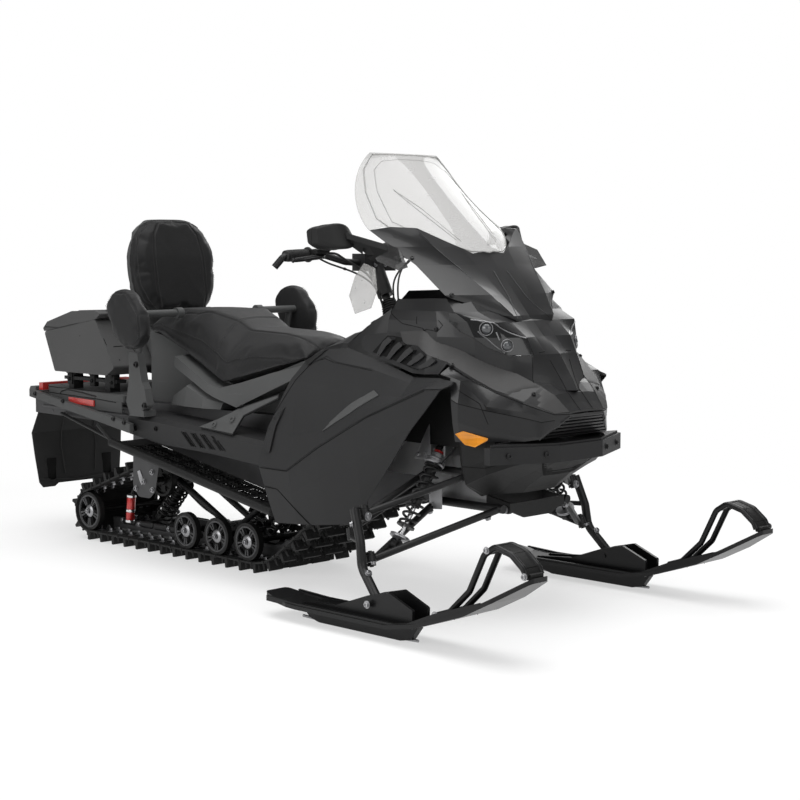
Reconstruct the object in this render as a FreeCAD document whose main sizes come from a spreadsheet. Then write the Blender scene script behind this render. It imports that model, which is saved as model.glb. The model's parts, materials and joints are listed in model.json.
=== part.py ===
import FreeCAD, Part
import math
import os

# Two-up touring snowmobile, millimetres.
# Frame: origin on the ground under the middle of the machine, -Y forward,
# +X to the rider's left, +Z up.

V = FreeCAD.Vector

# ---------------------------------------------------------------- sizes

SIZES = {
    # running gear
    "track_width": 380.0,
    "belt_thickness": 6.0,
    "lug_height": 32.0,
    "rear_axle_y": 1081.0,
    "rear_wheel_radius": 72.0,
    "drive_axle_y": -270.0,
    "drive_axle_z": 400.0,
    "sprocket_radius": 90.0,
    "bend_centre_y": 140.0,
    "bend_radius": 230.0,
    "carrier_y": 700.0,
    "carrier_z": 262.0,
    "carrier_radius": 62.0,
    "idler_radius": 65.0,
    "wheel_width": 22.0,
    "wheel_inset": 18.0,
    "axle_radius": 10.0,
    "rail_side": 92.0,
    "rail_thickness": 16.0,
    "rail_height": 46.0,
    # tunnel and boards
    "tunnel_half": 206.0,
    "tunnel_wall": 3.0,
    "tunnel_top": 552.0,
    "tunnel_front_y": -430.0,
    "tunnel_rear_y": 1385.0,
    "board_half": 356.0,
    "board_rear_y": 690.0,
    "board_rear_z": 419.0,
    "board_front_y": -171.0,
    "board_front_z": 264.0,
    "board_thickness": 3.0,
    "edge_tube_radius": 13.0,
    # rear end
    "bumper_half": 172.0,
    "bumper_rear_y": 1445.0,
    "bumper_height": 32.0,
    "bumper_depth": 22.0,
    "flap_half": 212.0,
    "flap_thickness": 5.0,
    "flap_bottom_z": 168.0,
    "deck_thickness": 24.0,
    "anchor_y": 1290.0,
    "anchor_spacing": 300.0,
    "anchor_radius": 8.0,
    # skis and steering
    "ski_stance": 1077.0,
    "ski_tip_y": -1445.0,
    "ski_width": 146.0,
    "ski_thickness": 12.0,
    "ski_pin_y": -843.0,
    "ski_pin_z": 95.0,
    "ski_pin_radius": 7.0,
    "saddle_gap": 52.0,
    "keel_width": 22.0,
    "loop_radius": 9.0,
    "loop_half": 30.0,
    "kingpin_low_x": 488.0,
    "kingpin_low_y": -758.0,
    "kingpin_low_z": 203.0,
    "kingpin_up_x": 478.0,
    "kingpin_up_y": -722.0,
    "kingpin_up_z": 334.0,
    "kingpin_radius": 6.0,
    "eye_radius": 15.0,
    "eye_length": 22.0,
    "arm_radius": 11.0,
    "lower_pivot_x": 150.0,
    "lower_pivot_z": 335.0,
    "upper_pivot_x": 205.0,
    "upper_pivot_z": 442.0,
    "shock_low_x": 395.0,
    "shock_top_x": 225.0,
    "shock_top_z": 503.0,
    "fit_gap": 0.4,
    "post_radius": 13.0,
    "post_y": -330.0,
    "post_z": 950.0,
    "post_rake": 27.0,
    "bar_radius": 11.0,
    "bar_half": 372.0,
    "grip_radius": 16.0,
    "grip_length": 92.0,
    # cargo box
    "box_half": 268.0,
    "box_wall": 4.0,
    "box_gap": 1.5,
    "hinge_y": 868.0,
    "hinge_z": 862.0,
    "hinge_side": 150.0,
    "hinge_pin_radius": 3.0,
    # shells
    "panel_wall": 4.0,
    "hood_wall": 5.0,
    "shield_wall": 4.0,
    "seam": 0.5,
    "seam_width": 5.0,
    "seam_depth": 1.8,
}

doc = FreeCAD.newDocument("snowmobile")
sheet = doc.addObject("Spreadsheet::Sheet", "Sizes")
for row, (alias, value) in enumerate(SIZES.items(), 1):
    sheet.set("A%d" % row, alias)
    sheet.set("B%d" % row, str(value))
    sheet.setAlias("B%d" % row, alias)
doc.recompute()


def size(alias):
    """Value of one cell of the sheet."""
    return float(sheet.get(alias))


# ---------------------------------------------------------------- helpers

NODES = []
SIDES = {"right": -1, "left": 1}


def keep(obj, label):
    """Names a finished sub-part, which becomes one file."""
    obj.Label = label
    NODES.append(obj)
    return obj


def rounded(points, radius=0.0, closed=True):
    """Lines and arcs through 2D points; a third number is that corner's radius."""
    flat = [V(p[0], p[1], 0) for p in points]
    radii = [p[2] if len(p) > 2 else radius for p in points]
    count = len(flat)
    starts = list(flat)
    ends = list(flat)
    arcs = [None] * count
    for i in range(count):
        if radii[i] <= 0 or (not closed and i in (0, count - 1)):
            continue
        before = (flat[i - 1] - flat[i]).normalize()
        after = (flat[(i + 1) % count] - flat[i]).normalize()
        half = before.getAngle(after) / 2
        if half > math.pi / 2 - 1e-4:
            continue
        reach = radii[i] / math.tan(half)
        ends[i] = flat[i] + before * reach
        starts[i] = flat[i] + after * reach
        middle = (before + after).normalize()
        tip = flat[i] + middle * (radii[i] / math.sin(half) - radii[i])
        arcs[i] = Part.Arc(ends[i], tip, starts[i])
    edges = []
    for i in range(count):
        if arcs[i]:
            edges.append(arcs[i])
        if closed or i < count - 1:
            nxt = (i + 1) % count
            if starts[i].distanceToPoint(ends[nxt]) > 1e-6:
                edges.append(Part.LineSegment(starts[i], ends[nxt]))
    return edges


TURNS = {
    "YZ": FreeCAD.Rotation(V(1, 1, 1), 120),
    "XZ": FreeCAD.Rotation(V(1, 0, 0), 90),
    "XY": FreeCAD.Rotation(),
}
AXES = {"YZ": V(1, 0, 0), "XZ": V(0, 1, 0), "XY": V(0, 0, 1)}


def sketch(name, plane, offset, points, radius=0.0):
    """A closed outline on a plane at that place along the third axis."""
    item = doc.addObject("Sketcher::SketchObject", name)
    item.addGeometry(rounded(points, radius), False)
    item.Placement = FreeCAD.Placement(AXES[plane] * offset, TURNS[plane])
    return item


def plane_of(body, role):
    """One of a body's own origin planes."""
    for item in body.Origin.OriginFeatures:
        if item.Role == role + "_Plane":
            return item
    raise ValueError(role)


def pad(name, plane, start, length, points, radius=0.0, bind=None, both=False):
    """A body of one padded outline, from start along the plane's normal."""
    body = doc.addObject("PartDesign::Body", name)
    outline = body.newObject("Sketcher::SketchObject", name + "_outline")
    outline.AttachmentSupport = [(plane_of(body, plane), "")]
    outline.MapMode = "FlatFace"
    height = -start if plane == "XZ" else start
    outline.AttachmentOffset = FreeCAD.Placement(V(0, 0, height), FreeCAD.Rotation())
    outline.addGeometry(rounded(points, radius), False)
    feature = body.newObject("PartDesign::Pad", name + "_pad")
    feature.Profile = outline
    feature.Midplane = both
    feature.Length = length
    if bind:
        feature.setExpression("Length", bind)
    return body


def revolve(name, plane, axis, points, radius=0.0):
    """A body turned round one of the sketch's own axes, H_Axis or V_Axis."""
    body = doc.addObject("PartDesign::Body", name)
    outline = body.newObject("Sketcher::SketchObject", name + "_outline")
    outline.AttachmentSupport = [(plane_of(body, plane), "")]
    outline.MapMode = "FlatFace"
    outline.addGeometry(rounded(points, radius), False)
    feature = body.newObject("PartDesign::Revolution", name + "_turn")
    feature.Profile = outline
    feature.ReferenceAxis = (outline, [axis])
    feature.Angle = 360
    return body


def loft(name, sections, ruled=False):
    """A solid through sketches."""
    item = doc.addObject("Part::Loft", name)
    item.Sections = sections
    item.Solid = True
    item.Ruled = ruled
    return item


def fuse(name, parts):
    """One solid of several."""
    item = doc.addObject("Part::MultiFuse", name)
    item.Shapes = parts
    item.Refine = True
    return item


def cut(name, base, tool):
    item = doc.addObject("Part::Cut", name)
    item.Base = base
    item.Tool = tool
    return item


def common(name, parts):
    item = doc.addObject("Part::MultiCommon", name)
    item.Shapes = parts
    return item


def group(name, parts):
    """Separate solids that share a node."""
    item = doc.addObject("Part::Compound", name)
    item.Links = parts
    return item


def box(name, low, high):
    """A block between two corners."""
    item = doc.addObject("Part::Box", name)
    item.Length = high[0] - low[0]
    item.Width = high[1] - low[1]
    item.Height = high[2] - low[2]
    item.Placement.Base = V(*low)
    return item


def rod(name, start, end, radius, bind=None):
    """A round bar between two points."""
    a = V(*start)
    b = V(*end)
    item = doc.addObject("Part::Cylinder", name)
    item.Height = (b - a).Length
    item.Radius = radius
    if bind:
        item.setExpression("Radius", bind)
    item.Placement = FreeCAD.Placement(a, FreeCAD.Rotation(V(0, 0, 1), b - a))
    return item


def ring(name, centre, axis, outer, inner, length):
    """A sleeve whose middle is at centre."""
    along = V(*axis)
    along.normalize()
    start = V(*centre) - along * (length / 2)
    end = V(*centre) + along * (length / 2)
    solid = rod(name + "_out", start, end, outer)
    hole = rod(name + "_bore", start - along, end + along, inner)
    return cut(name, solid, hole)


def path(points, bend):
    """A wire of straight runs joined by tangent arcs."""
    spots = [V(*p) for p in points]
    edges = []
    start = spots[0]
    for i in range(1, len(spots) - 1):
        before = spots[i - 1] - spots[i]
        after = spots[i + 1] - spots[i]
        lengths = (before.Length, after.Length)
        before.normalize()
        after.normalize()
        half = before.getAngle(after) / 2
        reach = min(bend / math.tan(half), 0.45 * min(lengths))
        radius = reach * math.tan(half)
        first = spots[i] + before * reach
        last = spots[i] + after * reach
        middle = (before + after).normalize()
        tip = spots[i] + middle * (radius / math.sin(half) - radius)
        edges.append(Part.LineSegment(start, first).toShape())
        edges.append(Part.Arc(first, tip, last).toShape())
        start = last
    edges.append(Part.LineSegment(start, spots[-1]).toShape())
    return Part.Wire(edges)


def tube(name, points, radius, bend=30.0):
    """A round tube swept along straight runs and arcs."""
    spine = doc.addObject("Part::Feature", name + "_line")
    spine.Shape = path(points, bend)
    circle = doc.addObject("Part::Circle", name + "_round")
    circle.Radius = radius
    direction = V(*points[1]) - V(*points[0])
    circle.Placement = FreeCAD.Placement(V(*points[0]), FreeCAD.Rotation(V(0, 0, 1), direction))
    item = doc.addObject("Part::Sweep", name)
    item.Sections = [circle]
    names = ["Edge%d" % (i + 1) for i in range(len(spine.Shape.Edges))]
    item.Spine = (spine, names)
    item.Solid = True
    item.Transition = "Right corner"
    return item


def offset_line(points, wall):
    """The same open line of 2D points, moved by wall to its right-hand side."""
    spots = [V(p[0], p[1], 0) for p in points]
    count = len(spots)
    moved = []
    for i in range(count):
        a = spots[i] - spots[i - 1] if i > 0 else spots[1] - spots[0]
        b = spots[i + 1] - spots[i] if i < count - 1 else spots[-1] - spots[-2]
        a.normalize()
        b.normalize()
        na = V(a.y, -a.x, 0)
        nb = V(b.y, -b.x, 0)
        middle = (na + nb).normalize()
        moved.append(spots[i] + middle * (wall / middle.dot(na)))
    return [(p.x, p.y) for p in moved]


def band(points, wall):
    """A closed outline round an open line, wall thick."""
    return list(points) + list(reversed(offset_line(points, wall)))


def both_sides(points):
    """A line from the middle out, continued to the other side: left to right."""
    left = [(-p[0],) + tuple(p[1:]) for p in reversed(points) if p[0] > 0]
    return left + list(points)


def shell(name, plane, rows, wall, ruled=False):
    """A thin shell through open lines: rows of (offset, points)."""
    sections = []
    for i, (offset, points) in enumerate(rows):
        sections.append(sketch("%s_s%d" % (name, i), plane, offset, band(points, wall)))
    return loft(name, sections, ruled)


def solid_rows(name, plane, rows, radius=0.0, ruled=False):
    """A solid through closed outlines: rows of (offset, points)."""
    sections = []
    for i, (offset, points) in enumerate(rows):
        sections.append(sketch("%s_s%d" % (name, i), plane, offset, points, radius))
    return loft(name, sections, ruled)


# ---------------------------------------------------------------- track and skid

BELT_IN = size("lug_height") + size("belt_thickness")
REAR_Z = BELT_IN + size("rear_wheel_radius") + size("fit_gap")
IDLER_Z = BELT_IN + size("idler_radius") + size("fit_gap")


# the bogie axles, from the rear
IDLER_YS = (498.0, 325.0, 162.0)


def belt_circles():
    """Circles that the belt's inner face runs round: centre y, z and radius."""
    gap = size("fit_gap")
    return [
        (size("rear_axle_y"), REAR_Z, size("rear_wheel_radius") + gap),
        (size("bend_centre_y"), BELT_IN + size("bend_radius"), size("bend_radius")),
        (size("drive_axle_y"), size("drive_axle_z"), size("sprocket_radius") + gap),
        (size("carrier_y"), size("carrier_z"), size("carrier_radius") + gap),
    ]


def tangent(first, second):
    """End points of the outer tangent of two circles, going clockwise seen from +X."""
    dy = second[0] - first[0]
    dz = second[1] - first[1]
    reach = math.hypot(dy, dz)
    base = math.atan2(dz, dy)
    lean = math.acos((first[2] - second[2]) / reach)
    angle = base + lean
    return [(c[0] + c[2] * math.cos(angle), c[1] + c[2] * math.sin(angle)) for c in (first, second)]


def belt_edges(out):
    """Lines and arcs of the belt, out from its inner face."""
    circles = [(y, z, r + out) for y, z, r in belt_circles()]
    count = len(circles)
    lines = [tangent(circles[i], circles[(i + 1) % count]) for i in range(count)]
    edges = []
    for i in range(count):
        y, z, r = circles[i]
        a = lines[i - 1][1]
        b = lines[i][0]
        middle = (V(a[0] - y, a[1] - z, 0).normalize() + V(b[0] - y, b[1] - z, 0).normalize())
        if math.hypot(a[0] - b[0], a[1] - b[1]) > 1.9 * r:
            middle = V(a[1] - b[1], b[0] - a[0], 0)
        middle.normalize()
        if i == 0 and middle.x < 0:
            middle = middle * -1
        tip = V(y, z, 0) + middle * r
        edges.append(Part.Arc(V(a[0], a[1], 0), tip, V(b[0], b[1], 0)))
        edges.append(Part.LineSegment(V(b[0], b[1], 0), V(*lines[i][1], 0)))
    return edges


def belt_wire(out):
    """The belt's outline as a wire in the middle plane."""
    wire = Part.Wire([e.toShape() for e in belt_edges(out)])
    wire.Placement = FreeCAD.Placement(V(-size("track_width") / 2, 0, 0), TURNS["YZ"])
    return wire


# each column of lugs as shares of the belt's width: start, end
LUG_SPANS = [(0.016, 0.163), (0.258, 0.468), (0.532, 0.742), (0.837, 0.984)]


def make_track():
    """The belt with its rows of lugs, one closed loop."""
    width = size("track_width")
    outer = Part.Face(belt_wire(size("belt_thickness")))
    inner = Part.Face(belt_wire(0))
    belt = outer.cut(inner).extrude(V(width, 0, 0))
    run = belt_wire(size("belt_thickness"))
    count = int(run.Length / 72.6)
    spots = run.discretize(Number=count + 1)[:-1]
    lugs = []
    for i, spot in enumerate(spots):
        ahead = spots[(i + 1) % count] - spots[i - 1]
        ahead.normalize()
        normal = V(0, -ahead.z, ahead.y)
        centre = V(0, size("carrier_y") / 2, size("carrier_z"))
        if normal.dot(spot - centre) < 0:
            normal = normal * -1
        root = spot - normal * 1.0
        tall = size("lug_height") + 1.0
        corners = [root + ahead * 9, root + ahead * 5 + normal * tall, root - ahead * 5 + normal * tall,
                   root - ahead * 9]
        face = Part.Face(Part.makePolygon(corners + [corners[0]]))
        for start, end in LUG_SPANS:
            block = face.extrude(V((end - start) * width, 0, 0))
            block.translate(V(start * width, 0, 0))
            lugs.append(block)
    item = doc.addObject("Part::Feature", "track")
    item.Shape = belt.fuse(lugs).removeSplitter()
    return keep(item, "track")


def wheel(name, x, y, z, radius, spokes=5):
    """A moulded bogie wheel with a rubber rim on its axle."""
    half = size("wheel_width") / 2
    bore = size("axle_radius") + size("fit_gap")
    rim = radius - 9
    profile = [(-half, bore), (half, bore), (half, bore + 9), (3, bore + 11), (3, rim - 4),
               (half, rim), (half, radius), (-half, radius), (-half, rim), (-3, rim - 4),
               (-3, bore + 11), (-half, bore + 9)]
    body = revolve(name, "XZ", "H_Axis", profile)
    windows = body.newObject("Sketcher::SketchObject", name + "_window")
    windows.AttachmentSupport = [(plane_of(body, "YZ"), "")]
    windows.MapMode = "FlatFace"
    low = bore + 15
    high = rim - 8
    windows.addGeometry(rounded([(-6, low), (6, low), (15, high), (-15, high)], 3), False)
    pocket = body.newObject("PartDesign::Pocket", name + "_cut")
    pocket.Profile = windows
    pocket.Type = "ThroughAll"
    pocket.Midplane = True
    doc.recompute()
    pattern = body.newObject("PartDesign::PolarPattern", name + "_spokes")
    pattern.Originals = [pocket]
    pattern.Axis = (windows, ["N_Axis"])
    pattern.Angle = 360
    pattern.Occurrences = spokes
    body.Tip = pattern
    body.Placement.Base = V(x, y, z)
    return body


def make_wheels():
    """Rear axle wheels, three bogie pairs and the upper carrier pair, each on its axle."""
    side = size("track_width") / 2 - size("wheel_inset")
    pieces = []
    for label, sign in SIDES.items():
        pieces.append(wheel("rear_wheel_" + label, sign * side, size("rear_axle_y"), REAR_Z,
                            size("rear_wheel_radius")))
    pieces.append(rod("rear_axle", (-side - 16, size("rear_axle_y"), REAR_Z),
                      (side + 16, size("rear_axle_y"), REAR_Z), size("axle_radius")))
    keep(group("rear_wheels_all", pieces), "rear_wheels")
    pieces = []
    for i, y in enumerate(IDLER_YS):
        for label, sign in SIDES.items():
            pieces.append(wheel("bogie_%d_%s" % (i, label), sign * side, y, IDLER_Z, size("idler_radius")))
        pieces.append(rod("bogie_axle_%d" % i, (-side - 16, y, IDLER_Z), (side + 16, y, IDLER_Z),
                          size("axle_radius")))
    keep(group("bogie_wheels_all", pieces), "bogie_wheels")
    pieces = []
    y = size("carrier_y")
    z = size("carrier_z")
    for label, sign in SIDES.items():
        pieces.append(wheel("carrier_" + label, sign * 120, y, z, size("carrier_radius")))
    reach = size("tunnel_half") - size("fit_gap")
    pieces.append(rod("carrier_axle", (-reach, y, z), (reach, y, z), size("axle_radius")))
    keep(group("carrier_all", pieces), "carrier_wheels")


def make_drive_axle():
    """The drive axle with its two sprockets."""
    y = size("drive_axle_y")
    z = size("drive_axle_z")
    pieces = [rod("drive_shaft", (-size("tunnel_half") + 2, y, z), (size("tunnel_half") - 2, y, z), 14)]
    teeth = 8
    for label, sign in SIDES.items():
        points = []
        for i in range(teeth * 2):
            angle = math.pi * i / teeth
            reach = size("sprocket_radius") - (0 if i % 2 else 14)
            points.append((reach * math.cos(angle), reach * math.sin(angle)))
        body = pad("sprocket_" + label, "YZ", sign * 92 - 15, 30, points)
        body.Placement.Base = V(0, y, z)
        pieces.append(body)
    return keep(fuse("drive_axle_solid", pieces), "drive_axle")


def make_rails():
    """The two slide rails that the belt runs under, with their cross tubes."""
    thick = size("rail_thickness")
    gap = size("fit_gap")
    low = BELT_IN + gap
    high = low + size("rail_height")
    by = size("bend_centre_y")
    bz = BELT_IN + size("bend_radius")
    outer = size("bend_radius") - gap
    inner = outer - size("rail_height")
    lean = math.radians(34)
    pieces = []
    for label, sign in SIDES.items():
        edges = [
            Part.LineSegment(V(1040, low, 0), V(by, low, 0)),
            Part.Arc(V(by, low, 0), V(by - outer * math.sin(lean / 2), bz - outer * math.cos(lean / 2), 0),
                     V(by - outer * math.sin(lean), bz - outer * math.cos(lean), 0)),
            Part.LineSegment(V(by - outer * math.sin(lean), bz - outer * math.cos(lean), 0),
                             V(by - inner * math.sin(lean), bz - inner * math.cos(lean), 0)),
            Part.Arc(V(by - inner * math.sin(lean), bz - inner * math.cos(lean), 0),
                     V(by - inner * math.sin(lean / 2), bz - inner * math.cos(lean / 2), 0),
                     V(by, high, 0)),
            Part.LineSegment(V(by, high, 0), V(1040, high, 0)),
            Part.LineSegment(V(1040, high, 0), V(1040, low, 0)),
        ]
        body = doc.addObject("PartDesign::Body", "rail_" + label)
        outline = body.newObject("Sketcher::SketchObject", "rail_outline_" + label)
        outline.AttachmentSupport = [(plane_of(body, "YZ"), "")]
        outline.MapMode = "FlatFace"
        outline.AttachmentOffset = FreeCAD.Placement(V(0, 0, sign * size("rail_side")), FreeCAD.Rotation())
        outline.addGeometry(edges, False)
        feature = body.newObject("PartDesign::Pad", "rail_pad_" + label)
        feature.Profile = outline
        feature.Midplane = True
        feature.setExpression("Length", "Sizes.rail_thickness")
        pieces.append(body)
    for y in (880.0, 600.0, 260.0, 60.0):
        z = high - 12 if y > 100 else high + 20
        pieces.append(rod("cross_%d" % y, (-size("rail_side"), y, z), (size("rail_side"), y, z), 9))
    return keep(fuse("rails", pieces), "slide_rails")


def make_arms():
    """Front and rear arms of the skid, between tunnel and rails."""
    reach = size("rail_side") - size("rail_thickness") / 2 - 8
    wall = size("tunnel_half") - size("fit_gap")
    pieces = []
    front = []
    for sign in (-1, 1):
        front.append(rod("front_arm_%d" % sign, (sign * reach, -30, 366), (sign * (reach - 4), 352, 112), 11))
    front.append(rod("front_arm_top", (-wall, -30, 366), (wall, -30, 366), 14))
    front.append(rod("front_arm_low", (-reach - 6, 352, 112), (reach + 6, 352, 112), 11))
    pieces.append(fuse("front_arm", front))
    rear = []
    y = size("carrier_y")
    z = size("carrier_z")
    bore = size("axle_radius") + size("fit_gap")
    for sign in (-1, 1):
        rear.append(rod("rear_arm_%d" % sign, (sign * 60, y - 16, z - 8), (sign * 60, 400, 118), 12))
    rear.append(rod("rear_arm_top", (-74, y, z), (74, y, z), bore + 9))
    rear.append(rod("rear_arm_low", (-reach, 400, 118), (reach, 400, 118), 10))
    hole = rod("rear_arm_bore", (-90, y, z), (90, y, z), bore)
    pieces.append(cut("rear_arm_bored", fuse("rear_arm", rear), hole))
    return keep(group("arms", pieces), "skid_arms")


def damper(name, low, high, body_radius, spring_radius, pins, eye_axis=(1, 0, 0), coils=8, seats=(24, 40)):
    """A coil-over damper whose two eyes turn on pins of those radii."""
    a = V(*low)
    b = V(*high)
    along = (b - a)
    length = along.Length
    along.normalize()
    across = V(*eye_axis)
    across.normalize()
    pieces = [rod(name + "_rod", a + along * (pins[0] + 4), b - along * (pins[1] + 4), 6),
              rod(name + "_tube", a + along * (length * 0.4), b - along * (pins[1] + 6), body_radius)]
    for tag, end, pin in (("low", a, pins[0]), ("high", b, pins[1])):
        pieces.append(ring("%s_eye_%s" % (name, tag), end, across, pin + 7, pin + size("fit_gap"), 22))
    spring = doc.addObject("Part::Helix", name + "_coil")
    first = a + along * seats[0]
    last = b - along * seats[1]
    spring.Pitch = (last - first).Length / coils
    spring.Height = (last - first).Length
    spring.Radius = spring_radius
    spring.Placement = FreeCAD.Placement(first, FreeCAD.Rotation(V(0, 0, 1), along))
    for spot in (first, last):
        pieces.append(rod("%s_cup_%d" % (name, len(pieces)), spot - along * 3, spot + along * 3,
                          spring_radius + 5))
    wire = doc.addObject("Part::Sweep", name + "_spring")
    circle = doc.addObject("Part::Circle", name + "_wire")
    circle.Radius = 4
    turn = FreeCAD.Rotation(V(0, 0, 1), along)
    circle.Placement = FreeCAD.Placement(first + turn.multVec(V(spring_radius, 0, 0)),
                                         turn.multiply(FreeCAD.Rotation(V(1, 0, 0), 90)))
    wire.Sections = [circle]
    wire.Spine = (spring, ["Edge1"])
    wire.Solid = True
    wire.Frenet = True
    pieces.append(wire)
    return fuse(name, pieces)


def make_skid_shocks():
    """The front and rear shock absorbers of the skid."""
    high = BELT_IN + size("fit_gap") + size("rail_height") - 12
    pieces = [damper("skid_front_shock", (0, 260, high), (0, -30, 366), 17, 27, (9, 14)),
              damper("skid_rear_shock", (0, 880, high), (0, size("carrier_y"), size("carrier_z")), 18, 30,
                     (9, size("axle_radius") + size("fit_gap") + 9))]
    return keep(group("skid_shocks_all", pieces), "skid_shocks")


# ---------------------------------------------------------------- tunnel and rear end

BOARD_RUN = size("board_rear_y") - size("board_front_y")
BOARD_RISE = size("board_rear_z") - size("board_front_z")
BOARD_LEAN = math.degrees(math.atan2(BOARD_RISE, BOARD_RUN))
BOARD_LENGTH = math.hypot(BOARD_RUN, BOARD_RISE)


def board_z(y):
    """Height of the boards' top at some y."""
    return size("board_rear_z") + (y - size("board_rear_y")) * BOARD_RISE / BOARD_RUN


def make_tunnel():
    """The folded sheet tunnel over the track."""
    half = size("tunnel_half")
    wall = size("tunnel_wall")
    top = size("tunnel_top")
    front = size("tunnel_front_y")
    rear = size("tunnel_rear_y")
    gap = size("seam")
    side = [(front, top), (front, board_z(front) + 60), (-300, board_z(-300) + gap),
            (size("board_rear_y"), board_z(size("board_rear_y")) + gap),
            (size("board_rear_y") + 60, top - 92), (rear, top - 84, 0), (rear, top, 0)]
    body = pad("tunnel_block", "YZ", 0, 2 * (half + wall), side, 12, both=True)
    hollow = [(front + wall, top - wall), (front + wall, 0), (rear + 50, 0), (rear + 50, top - wall)]
    inside = pad("tunnel_hollow", "YZ", 0, 2 * half, hollow, both=True)
    plates = []
    for sign in (-1, 1):
        start = half if sign > 0 else -half - wall
        plates.append(pad("skid_plate_%d" % sign, "YZ", start, wall, carrier_plate(), 24))
    return keep(fuse("tunnel_whole", [cut("tunnel_solid", body, inside)] + plates), "tunnel")


def carrier_plate():
    """Side outline of the plate that hangs from the tunnel round the carrier axle."""
    y = size("carrier_y")
    z = size("carrier_z")
    return [(y - 110, board_z(y - 110) + 20), (y - 66, z - 30), (y - 34, z - 58), (y + 34, z - 58),
            (y + 66, z - 20), (y + 60, z + 200)]


def make_boards():
    """A running board with its grip holes, edge tube and rear struts on each side."""
    half = size("tunnel_half") + size("tunnel_wall") + size("seam")
    tube_r = size("edge_tube_radius")
    outer = size("board_half") - tube_r
    thick = size("board_thickness")
    for label, sign in SIDES.items():
        low, high = sorted((sign * half, sign * (outer + 2)))
        body = pad("board_plate_" + label, "XY", -thick, thick,
                   [(low, -BOARD_LENGTH), (high, -BOARD_LENGTH), (high, 0), (low, 0)], 0,
                   "Sizes.board_thickness")
        holes = body.newObject("Sketcher::SketchObject", "board_holes_" + label)
        holes.AttachmentSupport = [(plane_of(body, "XY"), "")]
        holes.MapMode = "FlatFace"
        for column in range(2):
            middle = sign * (half + 40 + 52 * column)
            for i in range(9):
                y = -110 - 80 * i
                holes.addGeometry(rounded([(middle - 17, y - 28), (middle + 17, y - 28),
                                           (middle + 17, y + 28), (middle - 17, y + 28)], 8), False)
        pocket = body.newObject("PartDesign::Pocket", "board_cut_" + label)
        pocket.Profile = holes
        pocket.Type = "ThroughAll"
        pocket.Midplane = True
        edge = rod("board_tube_" + label, (sign * size("board_half"), -BOARD_LENGTH, -thick),
                   (sign * size("board_half"), 0, -thick), tube_r, "Sizes.edge_tube_radius")
        whole = fuse("board_" + label, [body, edge])
        whole.Placement = FreeCAD.Placement(V(0, size("board_rear_y"), size("board_rear_z")),
                                            FreeCAD.Rotation(V(1, 0, 0), BOARD_LEAN))
        foot = size("board_rear_y") - 6
        struts = [rod("strut_long_" + label, (sign * (half + 7), 1200, 476),
                      (sign * (outer - 8), foot, board_z(foot) - thick), 6),
                  rod("strut_short_" + label, (sign * 326, 816, 470),
                      (sign * size("board_half"), foot, board_z(foot) - thick), 6)]
        keep(fuse("board_all_" + label, [whole] + struts), "running_board_" + label)


def make_side_skirts():
    """The moulded side covers between tunnel and board, slotted, with the footrest plate."""
    inner = size("tunnel_half") + size("tunnel_wall") + size("seam")
    for label, sign in SIDES.items():
        rows = []
        for y, top, low, reach in ((640, 520, 450, 320), (440, 516, 428, 330), (150, 500, 420, 342),
                                   (-130, 480, 400, 342)):
            line = [(inner, top + 6), (reach - 16, top), (reach, top - 14), (reach - 6, low)]
            points = [(sign * p[0], p[1]) for p in band(line, 4)]
            rows.append((y, points))
        body = solid_rows("skirt_" + label, "XZ", rows, 0, True)
        start = 250 if sign > 0 else -450
        slots = []
        for i in range(4):
            y = 88 + 54 * i
            slots.append(pad("slot_%d_%s" % (i, label), "YZ", start, 200,
                             [(y, 436), (y + 14, 436), (y + 66, 482), (y + 52, 482)], 2))
        skirt = cut("skirt_slotted_" + label, body, fuse("slots_" + label, slots))
        plate = pad("footrest_" + label, "YZ", 0, 6,
                    [(230, 3), (146, 44), (74, 84), (-96, 150), (-104, 134), (30, 60), (46, -10)], 4,
                    both=True)
        plate.Placement = FreeCAD.Placement(V(sign * 331, 0, 500), FreeCAD.Rotation(V(0, 1, 0), -30 * sign))
        keep(group("skirt_all_" + label, [skirt, plate]), "side_skirt_" + label)


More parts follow.
